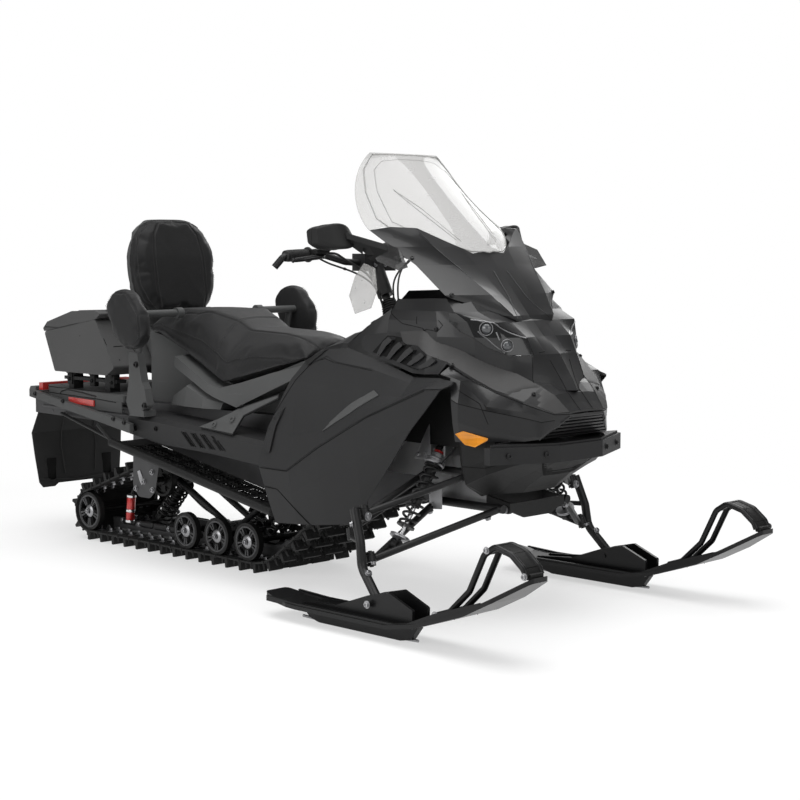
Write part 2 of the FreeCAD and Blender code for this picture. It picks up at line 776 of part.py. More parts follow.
def make_rear():
    """Rear bumper, snow flap, lamps and the deck under the cargo box."""
    half = size("bumper_half")
    rear = size("bumper_rear_y")
    tall = size("bumper_height")
    out = [(-354, 590), (-306, 920), (-half - 74, rear - 73), (-half - 20, rear), (half + 20, rear),
           (half + 74, rear - 73), (306, 920), (354, 590)]
    inn = offset_line(out, size("bumper_depth"))
    body = pad("bumper_plan", "XY", 440, 160, out + list(reversed(inn)), 6)
    line = [(560, 455), (rear + 40, 543), (rear + 40, 543 + tall * 0.8), (560, 455 + tall)]
    side = pad("bumper_side", "YZ", 0, 800, line, both=True)
    keep(common("bumper_solid", [body, side]), "rear_bumper")

    wide = size("flap_half")
    top = size("tunnel_top")
    hung = size("tunnel_rear_y") + size("flap_thickness") + size("seam")
    low = size("flap_bottom_z")
    outline = [(-169, top - 1), (-wide, 384), (-wide + 8, 300), (-wide + 22, low + 20), (-wide + 38, low),
               (-121, low), (-103, low + 12), (103, low + 12), (121, low), (wide - 38, low),
               (wide - 22, low + 20), (wide - 8, 300), (wide, 384), (169, top - 1)]
    front = pad("flap_front", "XZ", 1450, 160, outline)
    profile = band([(hung, top + 20), (hung, 500), (1414, 384), (1408, 290), (1394, 100)],
                   size("flap_thickness"))
    side = pad("flap_side", "YZ", 0, 600, profile, both=True)
    slots = [pad("flap_slot_%d" % sign, "XZ", 1450, 160,
                 [(sign * 131 - 20, 192), (sign * 131 + 20, 192), (sign * 131 + 20, 278),
                  (sign * 131 - 20, 278)], 8)
             for sign in (-1, 1)]
    keep(cut("flap_solid", common("flap_sheet", [front, side]), fuse("flap_slots", slots)), "snow_flap")

    under = size("tunnel_top") + size("seam")
    thick = size("deck_thickness")
    deck = [(-286, 716), (-262, 1000), (-225, 1270), (-180, 1340), (180, 1340), (225, 1270),
            (262, 1000), (286, 716)]
    parts = [pad("deck_pad", "XY", under, thick, deck, 10, "Sizes.deck_thickness")]
    for sign in (-1, 1):
        skin = band([(283 * sign, 722), (259 * sign, 1000), (222 * sign, 1268)], sign * 4)
        parts.append(pad("deck_side_%d" % sign, "XY", 514, under - 513, skin))
    holes = [rod("anchor_%d" % sign, (sign * size("anchor_spacing") / 2, size("anchor_y"), under - 1),
                 (sign * size("anchor_spacing") / 2, size("anchor_y"), under + thick + 1),
                 size("anchor_radius"), "Sizes.anchor_radius") for sign in (-1, 1)]
    keep(cut("deck_drilled", fuse("deck_solid", parts), fuse("anchors", holes)), "rear_deck")
    lamps = []
    for label, sign in SIDES.items():
        body = box("marker_" + label, (0, 0, 0), (5, 190, 22))
        x = 274.3 if sign > 0 else -279.3
        body.Placement = FreeCAD.Placement(V(x, 905, 526), FreeCAD.Rotation(V(0, 0, 1), sign * 6.4))
        lamps.append(body)
    lamps.append(box("tail_bar", (-205, 1340.6, 556), (205, 1366, 584)))
    keep(group("lamps", lamps), "tail_lights")


def make_cargo():
    """The cargo box tub, its hinged lid and the rack between box and deck."""
    half = size("box_half")
    wall = size("box_wall")
    gap = size("box_gap")
    hinge = (size("hinge_y"), size("hinge_z"))
    pin = size("hinge_pin_radius")
    knuckle = pin + 4
    tub = [(1230, 788), (904, 843), (790, 672), (838, 642), (1165, 642)]
    outer = pad("tub_outer", "YZ", 0, 2 * half, tub, 10, both=True)
    hollow = [(1230 - 2 * wall, 830), (930 + wall, 880), (793.5 + wall, 675.5), (842, 642 + wall),
              (1162 - wall, 642 + wall)]
    inside = pad("tub_inner", "YZ", 0, 2 * (half - wall), hollow, 8, both=True)
    tub_parts = [cut("tub", outer, inside)]
    lid = [(1230, 788 + gap), (1238, 800), (1210, 826), (1050, 870), (900, 876), (872, 864), (900, 843 + gap)]
    shape = pad("lid_outer", "YZ", 0, 2 * half, lid, 4, both=True)
    under = [(1222, 760), (1222, 802), (1205, 818), (1048, 862), (908, 868), (904, 780)]
    room = pad("lid_inner", "YZ", 0, 2 * (half - 8), under, both=True)
    notches = []
    rings = []
    for sign in (-1, 1):
        x = sign * size("hinge_side")
        rings.append(rod("lid_knuckle_%d" % sign, (x - 13, *hinge), (x + 13, *hinge), knuckle))
        tab = [(hinge[0], hinge[1] + 6), (hinge[0] + 18, hinge[1] + 8), (hinge[0] + 18, hinge[1] - 4),
               (hinge[0], hinge[1] - 6)]
        rings.append(pad("lid_tab_%d" % sign, "YZ", x - 13, 26, tab))
        tub_parts.append(rod("hinge_pin_%d" % sign, (x - 32, *hinge), (x + 32, *hinge), pin,
                             "Sizes.hinge_pin_radius"))
        for end in (-1, 1):
            middle = x + end * 24
            tub_parts.append(rod("tub_knuckle_%d_%d" % (sign, end), (middle - 8, *hinge),
                                 (middle + 8, *hinge), knuckle))
            arm = [(hinge[0] - 6, hinge[1]), (hinge[0] + 5, hinge[1] - 4), (896, 824), (884, 808)]
            tub_parts.append(pad("hinge_arm_%d_%d" % (sign, end), "YZ", middle - 8, 16, arm))
            notches.append(box("notch_%d_%d" % (sign, end), (middle - 10.5, 850, 845),
                               (middle + 10.5, 880.5, 880)))
    keep(fuse("tub_whole", tub_parts), "cargo_box")
    bare = cut("lid_hollow", cut("lid", shape, room), fuse("notches", notches))
    bores = [rod("lid_bore_%d" % sign, (sign * size("hinge_side") - 14, *hinge),
                 (sign * size("hinge_side") + 14, *hinge), pin + size("fit_gap")) for sign in (-1, 1)]
    keep(cut("lid_whole", fuse("lid_knuckled", [bare] + rings), fuse("lid_bores", bores)), "cargo_lid")
    top = size("tunnel_top") + size("seam") + size("deck_thickness")
    legs = []
    for sign in (-1, 1):
        for y in (880, 1110):
            legs.append(box("rack_leg_%d_%d" % (sign, y), (sign * 200 - 22, y, top + 0.3),
                            (sign * 200 + 22, y + 30, 641.5)))
        legs.append(box("rack_rail_%d" % sign, (sign * 200 - 22, 840, 610), (sign * 200 + 22, 1170, 622)))
    keep(group("rack", [fuse("rack_right", legs[:3]), fuse("rack_left", legs[3:])]), "cargo_rack")


# ---------------------------------------------------------------- seat

def hexagon(low, high, wide_low, mid, wide_mid, wide_top):
    """A seat's cross-section from its heights and half-widths."""
    return [(-wide_low, low), (wide_low, low), (wide_mid, mid), (wide_top, high), (-wide_top, high),
            (-wide_mid, mid)]


# y, low, high, half-width low, middle height, half-width there, half-width on top
SEAT_ROWS = [
    (712, 806, 866, 190, 832, 204, 150),
    (640, 792, 876, 196, 832, 209, 150),
    (400, 700, 876, 214, 780, 218, 130),
    (300, 655, 848, 226, 740, 226, 96),
    (238, 634, 814, 232, 720, 230, 92),
    (60, 682, 808, 214, 740, 216, 92),
    (-130, 742, 786, 165, 762, 168, 70),
]

# y and the corners of one side's fairing under the seat: x, z
FAIRING_ROWS = [
    (494, [(152, 690), (228, 692), (222, 726), (152, 731)]),
    (290, [(152, 616), (250, 612), (240, 640), (152, 644)]),
    (238, [(152, 600), (255, 598), (237, 629), (152, 632)]),
    (117, [(152, 585), (261, 573), (236, 656), (152, 662)]),
    (-30, [(152, 640), (261, 630), (226, 696), (152, 706)]),
    (-184, [(152, 694), (259, 690), (232, 728), (152, 728)]),
]


def make_seat():
    """Two-up seat, its base with side fairings, and the backrest."""
    rows = [(row[0], hexagon(*row[1:])) for row in SEAT_ROWS]
    keep(solid_rows("seat_solid", "XZ", rows, 6, True), "seat")
    top = size("tunnel_top") + size("seam")
    under = [(row[0], row[1] - size("seam")) for row in SEAT_ROWS]
    low = [(under[0][0], top)] + under + [(under[-1][0], top)]
    parts = [pad("seat_base_pad", "YZ", 0, 320, low, both=True)]
    for label, sign in SIDES.items():
        rows = [(y, [(sign * p[0], p[1]) for p in points]) for y, points in FAIRING_ROWS]
        parts.append(solid_rows("fairing_" + label, "XZ", rows, 0, True))
        rows = [(y, [(sign * 152, 558), (sign * wide, 558), (sign * (wide - 10), high - 12),
                     (sign * (wide - 34), high), (sign * 152, high)])
                for y, wide, high in ((500, 236, 600), (400, 258, 640), (300, 262, 606), (220, 244, 590))]
        parts.append(solid_rows("bulge_" + label, "XZ", rows, 0, True))
    keep(fuse("seat_base_solid", parts), "seat_base")
    rows = []
    for z, front, rear, half in ((864, 724, 792, 140), (960, 740, 800, 186), (1070, 756, 806, 196),
                                 (1160, 778, 812, 172), (1214, 790, 817, 108)):
        rows.append((z, [(-half, front + 18), (-half + 26, front), (half - 26, front), (half, front + 18),
                         (half, rear), (-half, rear)]))
    keep(solid_rows("backrest_solid", "XY", rows, 3, True), "backrest")
    rows = []
    for z, front, rear, half in ((820, 793, 850, 110), (960, 800.5, 864, 150), (1070, 806.5, 868, 160),
                                 (1160, 812.5, 862, 140), (1204, 817.5, 856, 96)):
        rows.append((z, [(-half, front), (half, front), (half, rear - 14), (half - 30, rear),
                         (-half + 30, rear), (-half, rear - 14)]))
    shell_part = solid_rows("backrest_shell", "XY", rows, 3, True)
    foot = top + size("deck_thickness") + 0.3
    post = pad("backrest_post", "YZ", 0, 180, [(742, foot), (784, foot), (784, 672), (838, 753), (838, 830),
                                               (800, 830), (800, 770), (742, 690)], both=True)
    keep(fuse("backrest_frame_solid", [shell_part, post]), "backrest_frame")


def make_side_pads():
    """The passenger's side pads, each on its foot, stalk and cross bar."""
    for label, sign in SIDES.items():
        outline = [(598, 960), (513, 961), (440, 880), (434, 788), (484, 756), (539, 754), (598, 796),
                   (650, 905)]
        start = 362 if sign > 0 else -416
        keep(pad("wing_pad_" + label, "YZ", start, 54, outline, 14), "passenger_pad_" + label)
        lower = [(590, 742), (540, 742), (515, 640), (500, 618), (486, 560), (530, 532), (590, 532),
                 (606, 568), (588, 650)]
        start = 322 if sign > 0 else -352
        x = sign * 337
        low, high = sorted((sign * 300, sign * 352))
        parts = [pad("wing_foot_" + label, "YZ", start, 30, lower, 6),
                 box("wing_base_" + label, (low, 505, 519.9), (high, 587, 542)),
                 rod("wing_stalk_" + label, (x, 560, 700), (x, 520, 876), 11),
                 rod("wing_bar_" + label, (sign * 361.5, 520, 876), (sign * 178, 520, 876), 13),
                 ring("wing_clamp_" + label, (sign * 184, 520, 876), (1, 0, 0), 19, 6, 26)]
        keep(fuse("wing_solid_" + label, parts), "passenger_bracket_" + label)


# ---------------------------------------------------------------- bodywork

# y and one side panel's line: top, upper fold, facet fold, middle, ridge, lower fold, bottom edge
PANEL_ROWS = [
    (-150, [(310, 810), (335, 735), (365, 690), (388, 540), (405, 413), (400, 345), (366, 200)]),
    (-310, [(300, 792), (320, 758), (360, 696), (397, 520), (412, 417), (398, 345), (364, 205)]),
    (-441, [(275, 798), (322, 755), (360, 682), (404, 545), (412, 499), (400, 400), (358, 215)]),
    (-600, [(290, 765), (325, 741), (366, 664), (392, 620), (409, 581), (396, 470), (352, 235)]),
    (-761, [(310, 725), (329, 710), (368, 669), (385, 661), (399, 653), (390, 560), (345, 380)]),
    (-878, [(325, 730), (335, 721), (362, 711), (378, 706), (390, 701), (382, 600), (350, 450)]),
    (-960, [(338, 722), (350, 716), (366, 711), (376, 708), (385, 704), (378, 620), (350, 500)]),
]

# the grooves on a side panel, seen from the side: y, z
PANEL_SEAMS = [
    [(-140, 410), (-304, 411), (-441, 493), (-653, 603), (-878, 696), (-975, 703)],
    [(-160, 352), (-243, 347), (-380, 232)],
    [(-200, 556), (-330, 742), (-380, 766), (-428, 752), (-600, 736)],
]


def make_panels():
    """The big side panels: faceted shells trimmed to their side outline, with seam grooves."""
    wall = size("panel_wall")
    outline = [(-345, 790), (-298, 751), (-191, 538), (-160, 426), (-184, 354), (-207, 234), (-388, 246),
               (-593, 272), (-622, 346), (-804, 562), (-947, 712), (-930, 745), (-640, 812)]
    for label, sign in SIDES.items():
        rows = []
        layer = []
        for y, line in PANEL_ROWS:
            rows.append((y, [(sign * p[0], p[1]) for p in band(line, wall)]))
            raised = offset_line(line, -1)
            layer.append((y, [(sign * p[0], p[1]) for p in band(raised, 1 + size("seam_depth"))]))
        skin = solid_rows("panel_skin_" + label, "XZ", rows, 0, True)
        start = 0 if sign > 0 else -500
        trim = pad("panel_trim_" + label, "YZ", start, 500, outline, 5)
        shape = common("panel_" + label, [skin, trim])
        zone = solid_rows("panel_zone_" + label, "XZ", layer, 0, True)
        lines = [pad("panel_seam_%d_%s" % (i, label), "YZ", start, 500, band(line, size("seam_width")))
                 for i, line in enumerate(PANEL_SEAMS)]
        grooves = common("panel_grooves_" + label, [zone, fuse("panel_lines_" + label, lines)])
        keep(cut("panel_cut_" + label, shape, grooves), "side_panel_" + label)


def arch_rows(rows, wall, name):
    """A shell through arch lines given from the middle out."""
    return shell(name, "XZ", [(y, both_sides(points)) for y, points in rows], wall, True)


# y and the hood's line from the middle out: flat, crease, stripe edge, lower edge
HOOD_ROWS = [
    (-505, [(0, 840), (150, 840), (270, 840), (275, 822), (281, 803)]),
    (-600, [(0, 850), (150, 850), (270, 850), (279, 818), (291, 772)]),
    (-752, [(0, 861), (150, 861), (262, 861), (286, 818), (309, 737)]),
    (-808, [(0, 838), (150, 838), (240, 838), (304, 794), (318, 737)]),
    (-872, [(0, 812), (145, 812), (215, 811), (301, 779), (322, 741)]),
    (-886, [(0, 806), (145, 806), (209, 805), (301, 776), (303, 771)]),
    (-945, [(0, 772), (120, 772), (180, 769), (278, 741), (280, 736)]),
    (-1018, [(0, 745), (90, 744), (141, 739), (238, 697), (240, 692)]),
    (-1085, [(0, 709), (70, 708), (109, 704), (190, 665), (192, 660)]),
    (-1120, [(0, 684), (60, 683), (95, 680), (150, 646), (152, 641)]),
    (-1145, [(0, 657), (50, 656), (86, 654), (122, 632), (123, 628)]),
    (-1166, [(0, 636), (45, 635), (74, 633), (79, 631), (80, 628)]),
]

# z and the raised block's plan from the middle out: x, y
POD_ROWS = [
    (690, [(0, -1130), (34, -1110), (122, -1064), (165, -985), (205, -905), (257, -770), (268, -600.2)]),
    (722, [(0, -1112), (32, -1093), (119, -1058), (162, -985), (203, -905), (255, -770), (268, -600.2)]),
    (795, [(0, -1062), (50, -1051), (100, -1043), (165, -992), (212, -915), (256, -800), (266, -600.2)]),
    (845, [(0, -1000), (46, -1005), (100, -1019), (172, -984), (216, -915), (259, -805), (264, -600.2)]),
    (890, [(0, -957), (50, -959), (108, -962), (180, -970), (226, -896), (254, -800), (256, -600.2)]),
    (920, [(0, -915), (60, -915), (112, -918), (188, -904), (246, -862), (248, -790), (242, -600.2)]),
    (975, [(0, -858), (60, -860), (110, -866), (185, -848), (228, -800), (222, -740), (196, -600.2)]),
]

# z and the shield's plan from the middle out: x, y
SHIELD_ROWS = [
    (868, [(0, -972), (40, -972), (70, -966), (96, -925)]),
    (906, [(0, -940), (45, -946), (92, -960), (150, -905)]),
    (968, [(0, -886), (65, -889), (126, -900), (250, -829)]),
    (1056, [(0, -809), (90, -807), (177, -802), (262, -720)]),
    (1110, [(0, -762), (105, -759), (208, -746), (285, -640)]),
    (1172, [(0, -696), (115, -693), (236, -684), (302, -540)]),
]

# the headlight's outline seen from the front: x, z
LENS_LINE = [(252, 918), (205, 905), (180, 886), (100, 846), (97, 794), (160, 793), (192, 815), (232, 862)]


def make_pod():
    """The raised block's shell over the hood, open below and under the windshield."""
    wall = size("hood_wall")
    closed = [(z, both_sides(points)) for z, points in POD_ROWS]
    block = solid_rows("pod_block", "XY", closed, 0, True)
    rows = []
    for i, (z, points) in enumerate(closed):
        line = offset_line(points, -wall)
        first = (line[0][0], points[0][1] - wall)
        last = (line[-1][0], points[-1][1] - wall)
        level = z - 8 if i == 0 else z - (wall if i == len(closed) - 1 else 0)
        rows.append((level, [first] + line[1:-1] + [last]))
    inside = solid_rows("pod_inside", "XY", rows, 0, True)
    room = 0.8
    shield = []
    for z, points in SHIELD_ROWS:
        edge = points[-1][0] - 8
        shield.append((z, offset_line(both_sides(points), room) + [(edge, -560), (-edge, -560)]))
    return cut("pod_open", cut("pod_shell", block, inside), solid_rows("shield_room", "XY", shield, 0, True))


def make_hood():
    """Hood with its raised block and louvres, and the headlights set in it."""
    wall = size("hood_wall")
    skin = arch_rows(HOOD_ROWS, wall, "hood_skin")
    rows = []
    for y, points in HOOD_ROWS:
        line = offset_line(both_sides(points), wall / 2)
        rows.append((y, line + [(line[-1][0], 560), (line[0][0], 560)]))
    below = solid_rows("hood_below", "XZ", rows, 0, True)
    pod = cut("pod_trimmed", make_pod(), below)
    room = fuse("hood_room", [box("hood_room_rear", (-243, -600.2, 600), (243, -400, 1100)),
                              box("hood_room_pod", (-150, -960, 600), (150, -620, 900))])
    parts = [pod, cut("hood_saddle", skin, room)]
    for label, sign in SIDES.items():
        for i in range(5):
            share = i / 4
            top = (-636 - 200 * share, 840 - 52 * share)
            low = (-588 - 196 * share, 778 - 26 * share)
            x = 272 + 22 * share
            fin = [top, (top[0] - 16, top[1] - 10), (top[0] + 8, top[1] - 26), (low[0] - 8, low[1]),
                   (low[0] + 6, low[1] + 4), (top[0] + 24, top[1] - 16)]
            start = x if sign > 0 else -x - 22
            parts.append(pad("louvre_%d_%s" % (i, label), "YZ", start, 22, fin, 2))
    whole = fuse("hood_all", parts)
    holes = []
    lenses = []
    for label, sign in SIDES.items():
        middle = (175, 855)
        near = [(sign * p[0], p[1]) for p in LENS_LINE]
        wide = [(sign * (p[0] + (p[0] - middle[0]) * 0.012), p[1] + (p[1] - middle[1]) * 0.016)
                for p in LENS_LINE]
        holes.append(pad("lens_hole_" + label, "XZ", -840, 300, wide, 2))
        line = pad("lens_line_" + label, "XZ", -840, 300, near, 2)
        lenses.append(common("lens_" + label, [pod, line]))
    keep(cut("hood_solid", whole, fuse("lens_holes", holes)), "hood")
    keep(group("headlights_all", lenses), "headlights")


# y and the cowl's line from the middle out: bottom, bottom edge, seam, middle, ridge, upper edge
NOSE_ROWS = [
    (-893, [(0, 548), (332, 548), (345, 604), (344, 690), (335, 745), (296, 765)]),
    (-955, [(0, 548), (318, 548), (330, 607), (330, 660), (318, 726), (274, 726)]),
    (-1018, [(0, 548), (258, 548), (264, 576), (262, 637), (276, 652), (240, 690)]),
    (-1085, [(0, 549), (190, 549), (193, 562), (192, 618), (196, 636), (192, 658)]),
    (-1120, [(0, 556), (152, 556), (155, 562), (152, 605), (152, 622), (152, 639)]),
    (-1145, [(0, 590), (116, 590), (118, 597), (120, 610), (122, 618), (123, 626)]),
    (-1166, [(0, 619), (75, 619), (77, 621), (78, 623), (79, 624.5), (80, 626)]),
]


def nose_side(y, z):
    """Half-width of the cowl's lower flank at one place."""
    for i in range(len(NOSE_ROWS) - 1):
        (y0, first), (y1, last) = NOSE_ROWS[i], NOSE_ROWS[i + 1]
        if y1 <= y <= y0:
            share = (y - y0) / (y1 - y0)
            low, mid = [[a + (b - a) * share for a, b in zip(first[k], last[k])] for k in (1, 2)]
            return low[0] + (mid[0] - low[0]) * (z - low[1]) / (mid[1] - low[1])
    raise ValueError(y)


def slope_box(name, depth_out, depth_in, start, end, half):
    """A block on the slanted face of the cowl, between two places along that face."""
    along = (0.584, -0.812)
    out = (-0.812, -0.584)
    corner = (-1166, 619)
    points = []
    for run, depth in ((start, depth_out), (end, depth_out), (end, -depth_in), (start, -depth_in)):
        points.append((corner[0] + along[0] * run + out[0] * depth,
                       corner[1] + along[1] * run + out[1] * depth))
    return pad(name, "YZ", 0, 2 * half, points, both=True)


def make_nose():
    """Nose cowl with its grille, the front bumper and the belly pan."""
    closed = [(y, both_sides(points)) for y, points in NOSE_ROWS]
    block = solid_rows("nose_block", "XZ", closed, 0, True)
    behind = pad("nose_behind", "YZ", 0, 900,
                 [(-938, 500), (-938, 608), (-930, 691), (-924, 714), (-924, 733), (-880, 745),
                  (-870, 820), (-700, 820), (-700, 500)], both=True)
    front = pad("grille_front", "XZ", -1040, 160, [(-146, 560), (146, 560), (74, 618), (-74, 618)])
    recess = common("grille_recess", [front, slope_box("grille_depth", 30, 16, 4, 72, 160)])
    keep(cut("nose_solid", block, fuse("nose_away", [behind, recess])), "nose_cowl")
    inner = pad("grille_inner", "XZ", -1040, 160, [(-144, 561), (144, 561), (73, 617), (-73, 617)])
    bars = [slope_box("grille_back", -10, 15.4, 5, 71, 160)]
    for i in range(5):
        bars.append(slope_box("grille_bar_%d" % i, -1, 12, 8 + 13 * i, 15 + 13 * i, 160))
    keep(common("grille_solid", [inner, fuse("grille_bars", bars)]), "grille")
    plan = [(-306, -1036), (-304, -1058), (-99, -1148), (99, -1148), (304, -1058), (306, -1036)]
    bar = pad("bumper_bar", "XY", 487, 49, plan + list(reversed(offset_line(plan, -22))), 3)
    shelf = pad("bumper_shelf", "XY", 534, 9, [(-300, -1050), (-99, -1142), (99, -1142), (300, -1050),
                                               (229, -1030), (-229, -1030)], 3)
    feet = [box("bumper_foot_%d" % sign, (sign * 121 - 6, -1090, 517.4), (sign * 121 + 6, -1040, 536))
            for sign in (-1, 1)]
    keep(fuse("bumper_all", [bar, shelf] + feet), "front_bumper")
    rows = [
        (-905, [(0, 300), (61, 303), (139, 352), (240, 409), (262, 470), (270, 547.5)]),
        (-925, [(0, 318), (66, 320), (140, 362), (262, 415), (276, 470), (282, 547.5)]),
        (-1000, [(0, 395), (72, 397), (136, 420), (255, 450), (266, 490), (262, 547.5)]),
        (-1022, [(0, 410.5), (71, 412.5), (125, 433), (235, 460), (247, 494), (244, 547.5)]),
        (-1028, [(0, 414.7), (70, 416.7), (122, 436), (230, 463), (242, 495), (239, 531)]),
        (-1061, [(0, 438), (68, 440), (105, 455), (200, 478), (214, 500), (212, 530)]),
        (-1099, [(0, 470), (88, 473), (112, 480), (126, 490), (134, 503), (134, 530)]),
        (-1117, [(0, 486), (60, 488), (76, 493), (86, 502), (92, 512), (92, 530)]),
    ]
    pan = arch_rows(rows, -size("panel_wall"), "belly_skin")
    keep(cut("belly_solid", pan, box("belly_room", (-170, -990, 250), (170, -850, 378))), "belly_pan")
    marks = []
    for label, sign in SIDES.items():
        rows = []
        for y, low, high in ((-1040, 560, 566), (-1018, 555, 573), (-955, 556, 590), (-944, 562, 588)):
            flank = [(nose_side(y, z) + out, z) for z, out in ((low, 0.5), (low, 4), (high, 4), (high, 0.5))]
            rows.append((y, [(sign * p[0], p[1]) for p in flank]))
        marks.append(solid_rows("reflector_" + label, "XZ", rows, 0, True))
    keep(group("reflectors_all", marks), "side_reflectors")


# the edge between black shield and clear screen, seen from the front: x, z
SCREEN_LINE = [(0, 1092), (23, 1096), (72, 1090), (150, 1128), (225, 1166), (265, 1170), (330, 1150)]


def make_windshield():
    """Black lower shield, the clear screen above it, and the mirrors."""
    wall = size("shield_wall")
    gap = size("seam") / 2
    rows = [(z, band(both_sides(points), -wall)) for z, points in SHIELD_ROWS]
    skin = solid_rows("shield_skin", "XY", rows, 0, True)
    low = [(0, 876), (74, 888), (160, 930), (252, 965), (300, 990), (345, 1000)]
    top = [(p[0], p[1] - gap) for p in SCREEN_LINE] + [(345, 1140)]
    trim = pad("shield_trim", "XZ", -400, 700, both_sides(low) + list(reversed(both_sides(top))))
    keep(common("shield_solid", [skin, trim]), "windshield_base")
    sections = []
    for i, (z, half, edge, centre) in enumerate(((1076, 262, -705, -794), (1150, 303, -577, -716),
                                                 (1205, 284, -506, -650), (1345, 209, -421, -490),
                                                 (1404, 150, -413, -424))):
        item = doc.addObject("Sketcher::SketchObject", "screen_s%d" % i)
        item.addGeometry([
            Part.Arc(V(-half, edge, 0), V(0, centre, 0), V(half, edge, 0)),
            Part.LineSegment(V(half, edge, 0), V(half - 1, edge + wall, 0)),
            Part.Arc(V(half - 1, edge + wall, 0), V(0, centre + wall, 0), V(-half + 1, edge + wall, 0)),
            Part.LineSegment(V(-half + 1, edge + wall, 0), V(-half, edge, 0)),
        ], False)
        item.Placement.Base = V(0, 0, z)
        sections.append(item)
    low = [(p[0], p[1] + gap) for p in SCREEN_LINE]
    trim = pad("screen_trim", "XZ", -300, 600, both_sides(low) + [(330, 1420), (-330, 1420)])
    keep(common("screen_solid", [loft("screen_skin", sections), trim]), "windshield")
    pieces = []
    for label, sign in SIDES.items():
        rows = [(sign * 346, [(-556, 1118), (-520, 1166), (-490, 1160), (-500, 1110)]),
                (sign * 400, [(-566, 1104), (-536, 1181), (-452, 1172), (-470, 1099)]),
                (sign * 462, [(-512, 1122), (-500, 1166), (-456, 1160), (-464, 1118)])]
        head = solid_rows("mirror_head_" + label, "YZ", rows, 8)
        rows = [(sign * 282.6, [(-676, 1087), (-664, 1108), (-572, 1072), (-578, 1056)]),
                (sign * 392, [(-562, 1134), (-556, 1152), (-536, 1148), (-540, 1130)])]
        arm = solid_rows("mirror_arm_" + label, "YZ", rows, 0, True)
        hole = pad("mirror_hole_" + label, "XZ", -500, 200,
                   [(sign * 312, 1084), (sign * 318, 1076), (sign * 346, 1106), (sign * 344, 1112)])
        pieces.append(fuse("mirror_" + label, [head, cut("mirror_strut_" + label, arm, hole)]))
    keep(group("mirrors_all", pieces), "mirrors")


def make_console():
    """Console between seat and windshield, with the gauge, and the engine below."""
    rows = [
        (-140, [(-110, 740), (110, 740), (104, 775), (60, 784), (-60, 784), (-104, 775)]),
        (-270, [(-150, 720), (150, 720), (140, 800), (80, 830), (-80, 830), (-140, 800)]),
        (-300, [(-150, 720), (150, 720), (140, 800), (80, 836), (-80, 836), (-140, 800)]),
    ]
    front = [
        (-300.5, [(-150, 720), (150, 720), (140, 800), (80, 836), (-80, 836), (-140, 800)]),
        (-470, [(-190, 720), (190, 720), (190, 880), (120, 900), (-120, 900), (-190, 880)]),
        (-599.6, [(-200, 720), (200, 720), (234, 922), (168, 976), (-168, 976), (-234, 922)]),
    ]
    whole = fuse("console_block", [solid_rows("console_rear", "XZ", rows, 0, True),
                                   solid_rows("console_front", "XZ", front, 0, True),
                                   box("console_joint", (-140, -302, 722), (140, -298, 790))])
    well = rod("post_well", post_point(-320), post_point(60), size("post_radius") + size("fit_gap"))
    keep(cut("console_solid", whole, well), "console")
    keep(box("engine_block", (-230, -880, 518.5), (230, -500, 719.6)), "engine")


def post_point(along):
    """A point on the steering axis, measured upward from the stem base."""
    rake = math.radians(size("post_rake"))
    return (0, size("post_y") + along * math.sin(rake), size("post_z") + along * math.cos(rake))


# ---------------------------------------------------------------- steering

def bar_at(x):
    """A point of the handlebar's straight outer run."""
    inner = V(190, -225, 1086)
    outer = V(350, -228, 1080)
    spot = inner + (outer - inner) * ((abs(x) - inner.x) / (outer.x - inner.x))
    return V(x, spot.y, spot.z)


def make_steering():
    """Handlebar, grips, controls and post, which turn together."""
    half = size("bar_half")
    middle = post_point(120)
    y0 = middle[1]
    z0 = middle[2]
    points = [(60, y0, z0), (120, y0 + 10, z0 + 4), tuple(bar_at(190)), tuple(bar_at(350)),
              (half, -208, 1045)]
    points = [(-p[0], p[1], p[2]) for p in reversed(points)] + points
    bar = tube("bar_tube", points, size("bar_radius"), 20)
    riser = rod("riser", post_point(0), post_point(124), 26)
    post = rod("post", post_point(-300), post_point(10), size("post_radius"), "Sizes.post_radius")
    pad_block = box("bar_pad", (-70, y0 - 30, z0 - 26), (70, y0 + 30, z0 + 30))
    keep(fuse("bar_solid", [bar, riser, post, pad_block]), "handlebar")
    grips = []
    controls = []
    bore = size("bar_radius") + size("fit_gap")
    for label, sign in SIDES.items():
        axis = bar_at(sign * 340) - bar_at(sign * 200)
        grips.append(ring("grip_" + label, bar_at(sign * 290), axis, size("grip_radius"), bore,
                          size("grip_length")))
        near = ring("perch_" + label, bar_at(sign * 222), axis, 18, bore, 32)
        spot = bar_at(sign * 222)
        lever = tube("lever_" + label,
                     [(sign * 226, spot.y - 20, spot.z - 2), (sign * 250, spot.y - 44, spot.z - 6),
                      (sign * 345, spot.y - 48, spot.z - 16)], 6, 12)
        block = box("control_block_" + label, (sign * 222 - 16, spot.y - 36, spot.z - 14),
                    (sign * 222 + 16, spot.y - 13.5, spot.z + 14))
        controls.append(fuse("control_" + label, [near, lever, block]))
    keep(group("grips_all", grips), "hand_grips")
    keep(group("controls_all", controls), "bar_controls")


def kingpin(side, along):
    """A point on one side's kingpin axis, measured upward from the lower joint."""
    low = V(side * size("kingpin_low_x"), size("kingpin_low_y"), size("kingpin_low_z"))
    up = V(side * size("kingpin_up_x"), size("kingpin_up_y"), size("kingpin_up_z"))
    direction = (up - low).normalize()
    return low + direction * along


KINGPIN_LENGTH = math.dist((size("kingpin_low_x"), size("kingpin_low_y"), size("kingpin_low_z")),
                           (size("kingpin_up_x"), size("kingpin_up_y"), size("kingpin_up_z")))


